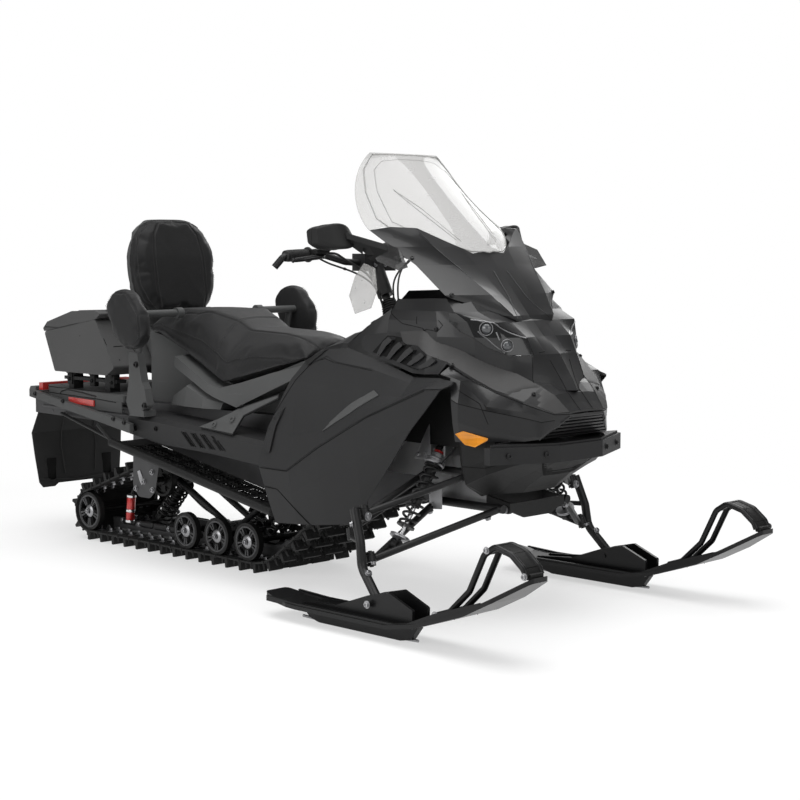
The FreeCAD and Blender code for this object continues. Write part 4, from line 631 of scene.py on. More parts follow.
@dataclass(frozen=True)
class Seamless(Finish):
    """The pale floor and backdrop, white to the camera and grey-white to the light."""

    glow: float = 1.0
    near_share: float = 0.55

    def build(self) -> bpy.types.Material:
        """Makes the material.

        Returns:
            The material.
        """
        bench = Bench(self.name)
        speck = bench.noise(bench.place(), 3.0, 2.0)
        tone = bench.blend(speck, shade(self.colour, 0.99), self.colour)
        path = bench.node("ShaderNodeLightPath", out="Is Camera Ray")
        seen = self.node_max(path, path.part("Is Glossy Ray"), path.part("Is Transmission Ray"))
        plain = bench.surface(Base_Color=tone, Roughness=0.9, Specular_IOR_Level=0.1)
        lit = bench.node("ShaderNodeEmission", {}, {"Color": (1, 1, 1, 1), "Strength": self.glow})
        x, y, _ = bench.place().axes()
        far = bench.ramp(x * x + y * y, 3.0, 9.0)
        share = seen * (far * (1.0 - self.near_share) + self.near_share)
        return bench.finish(bench.node("ShaderNodeMixShader", {}, {0: share, 1: plain, 2: lit}))

    @staticmethod
    def node_max(*values: Wire) -> Wire:
        """The largest of some values.

        Args:
            values: The sockets to compare.

        Returns:
            The socket of the greatest one.
        """
        most = values[0]
        for value in values[1:]:
            most = most.math("MAXIMUM", most, value)
        return most


class Finishes:
    """Every finish of the machine, and which CAD node has which."""

    panel = Moulded("panel_plastic", (0.020, 0.020, 0.0205), roughness=0.5)
    grey = Moulded("panel_grey", (0.062, 0.063, 0.063), roughness=0.56)
    stripe = Moulded("stripe_grey", (0.046, 0.0455, 0.0455), roughness=0.42)
    box = Moulded("box_grey", (0.062, 0.062, 0.062), roughness=0.5)
    black = Moulded("trim_black", (0.012, 0.012, 0.012), roughness=0.5)
    # dark joints and grooves, and also painted shadow in the flap's slots and behind the intake's
    # slats
    dark_joint_and_shadow = Moulded("joint_dark", (0.004, 0.004, 0.004), roughness=0.8)
    gloss = Gloss("gloss_black", (0.010, 0.010, 0.0105), roughness=0.31, coat=0.15)
    pod = Gloss("pod_satin", (0.013, 0.013, 0.0135), roughness=0.36, coat=0.12)
    vinyl = Vinyl("vinyl", (0.014, 0.014, 0.0144))
    punched = Vinyl("vinyl_punched", (0.011, 0.011, 0.0113), dots=0.0055, half=0.105)
    thread = Moulded("thread", (0.05, 0.05, 0.05), roughness=0.7, grain=2400.0)
    screen = Clear("clear_screen", (0.42, 0.415, 0.405), alpha=0.40)
    screen_rim = Clear("screen_rim", (0.36, 0.36, 0.35), alpha=0.7)
    smoke = Clear("smoke_screen", (0.03, 0.03, 0.03), alpha=0.7)
    lamp = Gloss("lamp_lens", (0.007, 0.0073, 0.0076), roughness=0.14, coat=0.55)
    glass = Gloss("projector_glass", (0.055, 0.058, 0.062), roughness=0.08, coat=1.0)
    bezel = Metal("bezel", (0.20, 0.20, 0.205), roughness=0.3, pits=0.05)
    amber = Lens("amber_lens", (0.78, 0.28, 0.012))
    red = Lens("red_lens", (0.52, 0.035, 0.028))
    steel = Coated("black_steel", (0.008, 0.008, 0.0083), roughness=0.42)
    alloy = Metal("alloy", (0.42, 0.42, 0.43), roughness=0.42)
    chrome = Metal("chrome", (0.72, 0.72, 0.73), roughness=0.14, brush=6.0, pits=0.05)
    dark_alloy = Metal("dark_alloy", (0.09, 0.09, 0.092), roughness=0.46)
    zinc = Metal("zinc_bolt", (0.34, 0.34, 0.35), roughness=0.34, pits=0.2)
    track = Rubber("track_rubber", (0.014, 0.014, 0.014), dirt=0.3, weave=110.0)
    grip = Rubber("grip_rubber", (0.012, 0.012, 0.012), roughness=0.62, dirt=0.12)
    flap = Rubber("flap_rubber", (0.016, 0.016, 0.016), roughness=0.62, dirt=0.2)
    wheel = Moulded("wheel_plastic", (0.010, 0.010, 0.010), roughness=0.45)
    rim = Moulded("wheel_rim", (0.070, 0.070, 0.072), roughness=0.4)
    plate = Bulkhead("frame_plate", (0.40, 0.40, 0.405), nose=-0.885)
    ski = SkiPlastic("ski_plastic", (0.007, 0.007, 0.0073))
    shock = Painted("shock_red", (0.42, 0.02, 0.018))
    engine = Metal("engine_metal", (0.03, 0.03, 0.03), roughness=0.6, pits=0.7)
    dial = Gloss("dial_glass", (0.006, 0.006, 0.007), roughness=0.1, coat=1.0)
    floor = Seamless("studio_floor", (0.92, 0.92, 0.92))

    by_slot = {
        "panel_plastic": panel, "panel_grey": grey, "gloss_black": gloss, "stripe_grey": stripe,
        "box_grey": box, "vinyl": vinyl, "clear_screen": screen, "lamp_lens": lamp,
        "amber_lens": amber, "red_lens": red, "black_steel": steel, "alloy": alloy,
        "dark_alloy": dark_alloy, "track_rubber": track, "grip_rubber": grip, "flap_rubber": flap,
        "wheel_plastic": wheel, "ski_plastic": ski, "shock_red": shock, "engine_metal": engine,
    }

    by_node = {
        "skid_shocks": steel, "mirrors": black, "front_frame": plate, "hood": pod,
        "belly_pan": black, "running_board_left": black, "running_board_right": black,
        "console": pod,
    }

    @classmethod
    def dress_frame(cls) -> None:
        """Gives every CAD node its own finish, or that of its slot in the record."""
        for row in frame["record"]["subparts"]:
            slots = frame["nodes"][row["node"]].data.materials
            slots.clear()
            finish = cls.by_node.get(row["node"], cls.by_slot[row["material_slot"]])
            slots.append(finish.material())
        log.info("finishes on %d CAD nodes", len(frame["nodes"]))


# ---------------------------------------------------------------- workshop


class Workshop:
    """Makes meshes with Blender's own tools.

    Every mesh is left in place, its object at the origin. Points closer than MERGE metres are one.
    """

    MERGE = 0.00002

    @staticmethod
    def clear() -> None:
        """Selects nothing."""
        if bpy.context.object and bpy.context.object.mode != "OBJECT":
            bpy.ops.object.mode_set(mode="OBJECT")
        bpy.ops.object.select_all(action="DESELECT")

    @classmethod
    def only(cls, obj: bpy.types.Object) -> None:
        """Makes one object the only selected and active one.

        Args:
            obj: The object to select.
        """
        cls.clear()
        obj.select_set(True)
        bpy.context.view_layer.objects.active = obj

    @classmethod
    def settle(cls, obj: bpy.types.Object, angle: float = 35.0) -> bpy.types.Object:
        """Moves the object's place into its mesh and shades it smooth up to an angle.

        Args:
            obj: A mesh object.
            angle: The sharpest edge that is shaded smooth, in degrees.

        Returns:
            The object.
        """
        cls.only(obj)
        bpy.ops.object.transform_apply(location=True, rotation=True, scale=True)
        bpy.ops.object.shade_smooth_by_angle(angle=math.radians(angle))
        return obj

    @classmethod
    def outward(cls, obj: bpy.types.Object) -> bpy.types.Object:
        """Merges doubles and turns every face outwards.

        Args:
            obj: The mesh to turn.

        Returns:
            The same object.
        """
        cls.only(obj)
        bpy.ops.object.mode_set(mode="EDIT")
        bpy.ops.mesh.select_all(action="SELECT")
        bpy.ops.mesh.remove_doubles(threshold=cls.MERGE)
        bpy.ops.mesh.normals_make_consistent(inside=False)
        bpy.ops.object.mode_set(mode="OBJECT")
        return obj

    @classmethod
    def modify(cls, obj: bpy.types.Object, kind: str, **settings: object) -> bpy.types.Object:
        """Adds one modifier and applies it.

        Args:
            obj: The object.
            kind: The modifier's type.
            settings: The modifier's settings.

        Returns:
            The object.
        """
        cls.only(obj)
        modifier = obj.modifiers.new(kind.title(), kind)
        for key, value in settings.items():
            setattr(modifier, key, value)
        bpy.ops.object.modifier_apply(modifier=modifier.name)
        return obj

    @classmethod
    def pick_faces(cls, obj: bpy.types.Object,
                   test: Callable[[bpy.types.MeshPolygon], bool]) -> int:
        """Selects the faces that pass a test, in edit mode's face mode.

        Args:
            obj: The object.
            test: Says whether a face is wanted.

        Returns:
            How many faces are selected. The object is left in edit mode.
        """
        cls.only(obj)
        bpy.ops.object.mode_set(mode="EDIT")
        bpy.ops.mesh.select_mode(type="FACE")
        bpy.ops.mesh.select_all(action="DESELECT")
        bpy.ops.object.mode_set(mode="OBJECT")
        count = 0
        for face in obj.data.polygons:
            face.select = bool(test(face))
            count += face.select
        bpy.ops.object.mode_set(mode="EDIT")
        return count

    @classmethod
    def outline(cls, points: Sequence[Point], name: str) -> bpy.types.Object:
        """A flat face through some points, started as a circle of as many corners.

        Args:
            points: The corners, in metres.
            name: The object's name.

        Returns:
            The object, with one face.
        """
        cls.clear()
        bpy.ops.mesh.primitive_circle_add(vertices=len(points), radius=1.0, fill_type="NGON")
        made = bpy.context.object
        made.name = name
        for vertex, point in zip(made.data.vertices, points):
            vertex.co = point
        return made

    @classmethod
    def plate(cls, points: Sequence[Point], push: Vector, name: str, bevel: float = 0.0,
              inset: float = 0.0, sink: float = 0.0, segments: int = 2) -> bpy.types.Object:
        """A plate: an outline extruded, its front face inset and sunk, its edges bevelled.

        Args:
            points: The outline's corners, in metres.
            push: How far and which way it is extruded.
            name: The object's name.
            bevel: The edges' bevel.
            inset: How far the front face is inset. 0 leaves it plain.
            sink: How far the inset face then goes in. Less than 0 raises it.
            segments: The bevel's segments.

        Returns:
            The finished object.
        """
        made = cls.outline(points, name)
        cls.only(made)
        bpy.ops.object.mode_set(mode="EDIT")
        bpy.ops.mesh.select_all(action="SELECT")
        bpy.ops.mesh.extrude_region_move(TRANSFORM_OT_translate={"value": tuple(push)})
        if inset:
            bpy.ops.mesh.inset(thickness=inset, depth=-sink)
        bpy.ops.object.mode_set(mode="OBJECT")
        cls.outward(made)
        if bevel:
            cls.modify(made, "BEVEL", width=bevel, segments=segments, limit_method="ANGLE",
                       angle_limit=math.radians(30), harden_normals=False)
        return cls.settle(made)

    @classmethod
    def block(cls, low: Point, high: Point, name: str, bevel: float = 0.002,
              segments: int = 2) -> bpy.types.Object:
        """A bevelled block between two corners.

        Args:
            low: The lowest corner, in metres.
            high: The highest corner, in metres.
            name: The object's name.
            bevel: The edges' bevel.
            segments: The bevel's segments.

        Returns:
            The finished object.
        """
        a, b = Vector(low), Vector(high)
        cls.clear()
        bpy.ops.mesh.primitive_cube_add(size=1.0, location=(a + b) / 2)
        made = bpy.context.object
        made.name = name
        made.scale = b - a
        cls.only(made)
        bpy.ops.object.transform_apply(location=False, rotation=False, scale=True)
        bpy.ops.object.mode_set(mode="EDIT")
        bpy.ops.mesh.select_all(action="SELECT")
        bpy.ops.mesh.bevel(offset=bevel, segments=segments, affect="EDGES")
        bpy.ops.object.mode_set(mode="OBJECT")
        return cls.settle(made)

    @classmethod
    def lathe(cls, start: Point, end: Point, profile: Sequence[tuple[float, float]], name: str,
              steps: int = 24) -> bpy.types.Object:
        """A round piece turned about a line.

        Args:
            start: The line's start, in metres.
            end: The line's end.
            profile: Place along the line, from 0 to 1, and radius in metres, in order.
            name: The object's name.
            steps: Faces round it.

        Returns:
            The finished object, closed at both ends.
        """
        a, b = Vector(start), Vector(end)
        cls.clear()
        bpy.ops.mesh.primitive_cylinder_add(vertices=steps, radius=1.0, depth=1.0,
                                            end_fill_type="NGON")
        made = bpy.context.object
        made.name = name
        cls.pick_faces(made, lambda face: face.normal.z > 0.9)
        for _ in profile[2:]:
            bpy.ops.mesh.extrude_region_move(TRANSFORM_OT_translate={"value": (0, 0, 0.5)})
        bpy.ops.object.mode_set(mode="OBJECT")
        levels = sorted({round(v.co.z, 4) for v in made.data.vertices})
        frame_turn = (b - a).to_track_quat("Z", "Y").to_matrix()
        for vertex in made.data.vertices:
            along, radius = profile[levels.index(round(vertex.co.z, 4))]
            flat = Vector((vertex.co.x, vertex.co.y, 0)).normalized() * radius
            vertex.co = a + (b - a) * along + frame_turn @ flat
        cls.outward(made)
        return cls.settle(made)

    @classmethod
    def rod(cls, start: Point, end: Point, radius: float, name: str, steps: int = 20,
            chamfer: float = 0.12) -> bpy.types.Object:
        """A round bar with chamfered ends.

        Args:
            start: Its first end.
            end: Its other end.
            radius: Its radius.
            name: Its name.
            steps: How many sides it has.
            chamfer: How far its ends are chamfered.

        Returns:
            The rod.
        """
        reach = (Vector(end) - Vector(start)).length
        soft = min(0.45, chamfer * radius / reach * 2)
        inner = radius * (1 - chamfer)
        profile = [(0, inner), (soft, radius), (1 - soft, radius), (1, inner)]
        return cls.lathe(start, end, profile, name, steps)

    @classmethod
    def tube(cls, points: Sequence[Point], radius: float, name: str, sides: int = 10,
             smooth: bool = True) -> bpy.types.Object:
        """A round tube along a smooth line through its control points.

        Args:
            points: The line's control points, in metres.
            radius: The tube's radius.
            name: The object's name.
            sides: Faces round it.
            smooth: Whether the line is a smooth curve rather than straight runs.

        Returns:
            The finished mesh object.
        """
        curve = bpy.data.curves.new(name, "CURVE")
        curve.dimensions = "3D"
        curve.bevel_depth = radius
        curve.bevel_resolution = max(0, sides // 2 - 2)
        curve.resolution_u = 6
        curve.use_fill_caps = True
        line = curve.splines.new("NURBS" if smooth else "POLY")
        line.points.add(len(points) - 1)
        for spot, point in zip(line.points, points):
            spot.co = (*point, 1.0)
        if smooth:
            line.order_u = 3
            line.use_endpoint_u = True
        made = bpy.data.objects.new(name, curve)
        bpy.context.scene.collection.objects.link(made)
        cls.only(made)
        bpy.ops.object.convert(target="MESH")
        return cls.settle(cls.outward(bpy.context.object), 50)

    @classmethod
    def coil(cls, start: Point, end: Point, radius: float, wire: float, turns: float,
             name: str) -> bpy.types.Object:
        """A coil spring between two points, its wire's section screwed round the line.

        Args:
            start: One end of the spring's axis, in metres.
            end: The other end.
            radius: From the axis to the wire's middle.
            wire: The wire's radius.
            turns: How many turns it has.
            name: The object's name.

        Returns:
            The finished object.
        """
        a, b = Vector(start), Vector(end)
        cls.clear()
        bpy.ops.mesh.primitive_circle_add(vertices=8, radius=wire, fill_type="NOTHING",
                                          location=(radius, 0, 0), rotation=(math.pi / 2, 0, 0))
        made = bpy.context.object
        made.name = name
        cls.only(made)
        bpy.ops.object.transform_apply(location=True, rotation=True, scale=True)
        cls.modify(made, "SCREW", angle=math.tau * turns, screw_offset=(b - a).length,
                   steps=int(18 * turns), render_steps=int(18 * turns), use_smooth_shade=True)
        bpy.ops.object.mode_set(mode="EDIT")
        bpy.ops.mesh.select_mode(type="VERT")
        bpy.ops.mesh.select_all(action="DESELECT")
        bpy.ops.mesh.select_non_manifold(extend=False)
        bpy.ops.mesh.edge_face_add()
        bpy.ops.object.mode_set(mode="OBJECT")
        turn = (b - a).to_track_quat("Z", "Y").to_matrix().to_4x4()
        made.data.transform(Matrix.Translation(a) @ turn)
        cls.outward(made)
        return cls.settle(made, 60)

    @classmethod
    def bolt(cls, spot: Point, out: Point, radius: float = 0.007, height: float = 0.005,
             name: str = "bolt") -> bpy.types.Object:
        """A flanged hex bolt's head with a socket in it, standing on a surface.

        Args:
            spot: The middle of its seat, in metres.
            out: The way it points.
            radius: The head's radius.
            height: The head's height over its washer.
            name: The object's name.

        Returns:
            The finished object.
        """
        cls.clear()
        bpy.ops.mesh.primitive_cylinder_add(vertices=18, radius=radius * 1.35, depth=height * 0.35)
        made = bpy.context.object
        made.name = name
        cls.pick_faces(made, lambda face: face.normal.z > 0.9)
        bpy.ops.mesh.inset(thickness=radius * 0.4, depth=0)
        bpy.ops.mesh.extrude_region_move(TRANSFORM_OT_translate={"value": (0, 0, height)})
        bpy.ops.mesh.inset(thickness=radius * 0.14, depth=radius * 0.1)
        bpy.ops.mesh.inset(thickness=radius * 0.28, depth=0)
        bpy.ops.mesh.inset(thickness=radius * 0.04, depth=-height * 0.6)
        bpy.ops.object.mode_set(mode="OBJECT")
        turn = Vector(out).to_track_quat("Z", "Y").to_matrix().to_4x4()
        made.data.transform(Matrix.Translation(Vector(spot)) @ turn)
        return cls.settle(made)

    @classmethod
    def copies(cls, master: bpy.types.Object, moves: Iterable[Matrix]) -> bpy.types.Object:
        """Replaces a piece by copies of it, each with its own mesh, joined in one object.

        Args:
            master: The piece that is repeated.
            moves: Each copy's move from the piece's own place.

        Returns:
            The object, which now holds the copies.
        """
        cls.clear()
        gathered = bmesh.new()
        for move in moves:
            old_points, old_faces = len(gathered.verts), len(gathered.faces)
            gathered.from_mesh(master.data)
            gathered.verts.ensure_lookup_table()
            gathered.faces.ensure_lookup_table()
            bmesh.ops.transform(gathered, matrix=move, verts=gathered.verts[old_points:])
            if move.is_negative:
                bmesh.ops.reverse_faces(gathered, faces=gathered.faces[old_faces:])
        gathered.to_mesh(master.data)
        gathered.free()
        return master

    @classmethod
    def join(cls, parts: Sequence[bpy.types.Object], name: str) -> bpy.types.Object:
        """Joins meshes into one object.

        Args:
            parts: The pieces to join.
            name: The joined piece's name.

        Returns:
            The joined piece.
        """
        cls.clear()
        for part in parts:
            part.select_set(True)
        bpy.context.view_layer.objects.active = parts[0]
        if len(parts) > 1:
            bpy.ops.object.join()
        parts[0].name = name
        return parts[0]

    @classmethod
    def mirrored(cls, obj: bpy.types.Object, name: str) -> bpy.types.Object:
        """The same piece on the other side, its faces turned outwards.

        Args:
            obj: The right piece.
            name: The left piece's name.

        Returns:
            The left piece.
        """
        twin = obj.copy()
        twin.data = obj.data.copy()
        twin.data.transform(Matrix.Scale(-1, 4, (1, 0, 0)))
        twin.data.flip_normals()
        twin.name = name
        bpy.context.scene.collection.objects.link(twin)
        return twin

    @staticmethod
    def dress(obj: bpy.types.Object, finish: Finish, body: Body, slot: str) -> bpy.types.Object:
        """Gives a piece its finish and its body.

        Args:
            obj: The piece.
            finish: Its finish.
            body: The body that it rides on.
            slot: The record's material slot. It is not used.

        Returns:
            The piece.
        """
        obj.data.materials.clear()
        obj.data.materials.append(finish.material())
        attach(obj, body.value)
        log.info("%s: %d faces on %s", obj.name, len(obj.data.polygons), body.value)
        return obj


# ---------------------------------------------------------------- soft goods


class Fill(Enum):
    """How tight a pad is stuffed."""

    FIRM = 0.75


@dataclass
class Outline:
    """A solid's outline in one plane, as a radius at each angle.

    It is also given with round corners.
    """

    plane: tuple[int, int]
    centre: np.ndarray
    sharp: np.ndarray
    soft: np.ndarray

    @classmethod
    def of(cls, node: str, plane: tuple[int, int], spread: float = 11.0) -> "Outline":
        """Measures a CAD node's outline.

        Args:
            node: The node.
            plane: The two axes of the plane.
            spread: How wide the corners are rounded, in degrees.

        Returns:
            The outline.
        """
        data = frame["nodes"][node].data
        flat = np.array([v.co[:] for v in data.vertices])[:, plane]
        centre = (flat.min(axis=0) + flat.max(axis=0)) / 2
        hull = np.array([flat[i] for i in cls.hull_order(flat)]) - centre
        sharp = np.zeros(360)
        for degree in range(360):
            ray = np.array([math.cos(math.radians(degree)), math.sin(math.radians(degree))])
            for a, b in zip(hull, np.roll(hull, -1, axis=0)):
                across = ray[0] * (b - a)[1] - ray[1] * (b - a)[0]
                if abs(across) < 1e-12:
                    continue
                reach = (a[0] * (b - a)[1] - a[1] * (b - a)[0]) / across
                share = (a[0] * ray[1] - a[1] * ray[0]) / across
                if reach > 0 and -1e-6 <= share <= 1 + 1e-6:
                    sharp[degree] = max(sharp[degree], reach)
        angles = np.minimum(np.arange(360), 360 - np.arange(360))
        weight = np.exp(-0.5 * (angles / spread) ** 2)
        soft = np.real(np.fft.ifft(np.fft.fft(sharp) * np.fft.fft(weight / weight.sum())))
        return cls(plane, centre, sharp, soft)

    @staticmethod
    def hull_order(flat: np.ndarray) -> list[int]:
        """The corners of the points' convex outline, in order.

        Args:
            flat: The points, a row for each.

        Returns:
            The corners' rows, going round once.
        """
        order = sorted(range(len(flat)), key=lambda i: (flat[i][0], flat[i][1]))

        def half(run: Iterable[int]) -> list[int]:
            """One side of the outline.

            Args:
                run: The points' rows, in sorted order.

            Returns:
                That side's rows.
            """
            kept: list[int] = []
            for i in run:
                while len(kept) > 1:
                    a, b = flat[kept[-2]], flat[kept[-1]]
                    if (b - a)[0] * (flat[i] - a)[1] - (b - a)[1] * (flat[i] - a)[0] > 1e-12:
                        break
                    kept.pop()
                kept.append(i)
            return kept[:-1]

        return half(order) + half(reversed(order))

    def round(self, points: np.ndarray, low: float | None = None) -> np.ndarray:
        """Moves points outwards or inwards so that the sharp outline becomes the soft one.

        Args:
            points: The points.
            low: Below this height nothing moves, or None.

        Returns:
            The moved points.
        """
        moved = points.copy()
        flat = points[:, self.plane] - self.centre
        degree = np.degrees(np.arctan2(flat[:, 1], flat[:, 0])) % 360
        sharp = np.interp(degree, np.arange(361), np.append(self.sharp, self.sharp[0]))
        soft = np.interp(degree, np.arange(361), np.append(self.soft, self.soft[0]))
        scale = soft / np.maximum(sharp, 1e-6)
        if low is not None:
            scale = 1 + (scale - 1) * np.clip((points[:, 2] - low) / 0.04, 0, 1)
        for k, axis in enumerate(self.plane):
            moved[:, axis] = self.centre[k] + flat[:, k] * scale
        return moved


@dataclass
class Cushion:
    """A padded piece blown up from its CAD solid, with sewn lines pressed into it.

    cap is how far the cloth may swell, shrink how much smaller it starts, voxel the remesh's size.
    The cloth is blown up by pressure over some frames, against its stiffness and its bending.
    """

    node: str
    body: Body = Body.CHASSIS
    voxel: float = 0.006
    shrink: float = 0.009
    cap: float = 0.016
    rounds: int = 6
    frames: int = 20
    mass: float = 0.3
    stiffness: float = 15
    bending: float = 3.0
    pressure: float = 4.0
    fill: Fill = Fill.FIRM
    finish: Finish = Finishes.vinyl
    seams: list[list[Vector]] = field(default_factory=list)
    seam_width: float = 0.0055
    seam_depth: float = 0.0035
    stitch_step: float = 0.007
    stitched: bool = True
    plane: tuple[int, int] | None = None
    rest: tuple[Vector, float] | None = None

    def start(self) -> bpy.types.Object:
        """A remeshed, slightly smaller copy of the CAD solid.

        Returns:
            The cushion's first mesh.
        """
        source = frame["nodes"][self.node]
        made = source.copy()
        made.data = source.data.copy()
        for key in list(made.keys()):
            del made[key]
        made.parent = None
        made.name = self.node + "_cushion"
        bpy.context.scene.collection.objects.link(made)
        Workshop.outward(made)
        Workshop.modify(made, "REMESH", mode="VOXEL", voxel_size=self.voxel)
        Workshop.modify(made, "SMOOTH", factor=0.5, iterations=self.rounds)
        Workshop.modify(made, "DISPLACE", strength=-self.shrink, mid_level=0.0)
        return made

    def swell(self, obj: bpy.types.Object) -> None:
        """Blows the piece up as cloth, and keeps each point within the cap.

        Args:
            obj: The piece.
        """
        scene = bpy.context.scene
        before = self.points(obj)
        cloth = obj.modifiers.new("cloth", "CLOTH")
        cloth.settings.quality = 5
        cloth.settings.mass = self.mass
        cloth.settings.tension_stiffness = self.stiffness
        cloth.settings.compression_stiffness = self.stiffness
        cloth.settings.bending_stiffness = self.bending
        cloth.settings.use_pressure = True
        cloth.settings.uniform_pressure_force = self.pressure
        cloth.settings.effector_weights.gravity = 0.0
        cloth.point_cache.frame_start = 1
        cloth.point_cache.frame_end = self.frames
        for step in range(1, self.frames + 1):
            scene.frame_set(step)
        graph = bpy.context.evaluated_depsgraph_get()
        swollen = self.points(obj.evaluated_get(graph))
        scene.frame_set(1)
        obj.modifiers.remove(cloth)
        move = swollen - before
        reach = np.linalg.norm(move, axis=1, keepdims=True)
        move *= np.minimum(1.0, self.cap / np.maximum(reach, 1e-9))
        if self.rest:
            out, share = self.rest
            normals = self.normals(obj)
            move *= np.where(normals @ np.array(out) > 0.6, share, 1.0)[:, None]
        self.write(obj, before + move)

    @staticmethod
    def points(obj: bpy.types.Object) -> np.ndarray:
        """The mesh's points, one to a row.

        Args:
            obj: The cushion.

        Returns:
            Its points, a row for each.
        """
        flat = np.empty(len(obj.data.vertices) * 3)
        obj.data.vertices.foreach_get("co", flat)
        return flat.reshape(-1, 3)

    @staticmethod
    def normals(obj: bpy.types.Object) -> np.ndarray:
        """The mesh's normals at its points.

        Args:
            obj: The cushion.

        Returns:
            Its normals, a row for each.
        """
        flat = np.empty(len(obj.data.vertices) * 3)
        obj.data.vertices.foreach_get("normal", flat)
        return flat.reshape(-1, 3)

    @staticmethod
    def write(obj: bpy.types.Object, points: np.ndarray) -> None:
        """Sets the mesh's points."""
        obj.data.vertices.foreach_set("co", points.ravel())
        obj.data.update()

    @staticmethod
    def reach(points: np.ndarray, line: Sequence[Vector]) -> np.ndarray:
        """Each point's distance to a line of straight runs.

        Args:
            points: The points.
            line: The line's corners.

        Returns:
            The distances in metres.
        """
        best = np.full(len(points), 1e9)
        for a, b in zip(line, line[1:]):
            start, run = np.array(a), np.array(b) - np.array(a)
            share = np.clip((points - start) @ run / max(run @ run, 1e-12), 0, 1)
            best = np.minimum(best, np.linalg.norm(points - start - share[:, None] * run, axis=1))
        return best

    def laid(self, tree: BVHTree, line: Sequence[Vector],
             step: float) -> list[tuple[Vector, Vector]]:
        """Points of a line laid on the surface, each with the surface's normal.

        Args:
            tree: The surface.
            line: The line's corners, near the surface.
            step: The distance between points.

        Returns:
            Place and normal of each point.
        """
        found = []
        for a, b in zip(line, line[1:]):
            count = max(2, int((b - a).length / step))
            for i in range(count):
                spot, normal, _, _ = tree.find_nearest(a + (b - a) * (i / count))
                if spot is not None:
                    found.append((spot, normal))
        return found

    def sew(self, obj: bpy.types.Object) -> list[list[tuple[Vector, Vector]]]:
        """Presses the seams into the surface.

        Args:
            obj: The piece.

        Returns:
            The seams as laid on the surface before they were pressed.
        """
        tree = BVHTree.FromObject(obj, bpy.context.evaluated_depsgraph_get())
        laid = [self.laid(tree, line, self.stitch_step) for line in self.seams]
        points, normals = self.points(obj), self.normals(obj)
        depth = np.zeros(len(points))
        for line in laid:
            near = self.reach(points, [spot for spot, _ in line])
            puff = 0.35 * np.exp(-((near - 2.4 * self.seam_width) / (1.6 * self.seam_width)) ** 2)
            depth = np.maximum(depth, np.exp(-((near / self.seam_width) ** 2)) - puff)
        self.write(obj, points - normals * (depth * self.seam_depth)[:, None])
        return laid

    def thread(self, laid: list[list[tuple[Vector, Vector]]]) -> None:
        """Adds the stitches beside the seams.

        Args:
            laid: The seams' points and normals.
        """
        moves = []
        for line in laid:
            for (spot, normal), (after, _) in zip(line, line[1:]):
                along = after - spot
                if along.length > 3 * self.stitch_step or along.length < 1e-5:
                    continue
                across = along.cross(normal).normalized()
                middle = (spot + after) / 2 + across * self.seam_width * 1.1 + normal * 0.0002
                turn = Matrix((along.normalized(), across, normal)).transposed().to_4x4()
                moves.append(Matrix.Translation(middle) @ turn)
        master = Workshop.rod(mm(-1.9, 0, 0), mm(1.9, 0, 0), 0.00065, self.node + "_stitches", 6,
                              0.4)
        Workshop.copies(master, moves)
        Workshop.dress(master, Finishes.thread, self.body, "vinyl")

    def shape(self, obj: bpy.types.Object) -> None:
        """Rounds the outline, for a piece with a rounding plane."""
        if self.plane:
            self.write(obj, Outline.of(self.node, self.plane).round(self.points(obj)))

    def build(self) -> bpy.types.Object:
        """Makes the piece and hides its CAD solid.

        Returns:
            The piece.
        """
        made = self.start()
        self.swell(made)
        self.shape(made)
        Workshop.modify(made, "SMOOTH", factor=0.5, iterations=5)
        Workshop.modify(made, "SUBSURF", levels=1, render_levels=1)
        laid = self.sew(made)
        Workshop.settle(made, 60)
        Workshop.dress(made, self.finish, self.body, "vinyl")
        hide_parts(self.node)
        if self.stitched and laid:
            self.thread(laid)
        return made


def both(lines: Sequence[Sequence[Point]]) -> list[list[Vector]]:
    """Lines given in millimetres on one side, and their mirror images."""
    made = [[mm(*p) for p in line] for line in lines]
    return made + [[Vector((-p.x, p.y, p.z)) for p in line] for line in made]


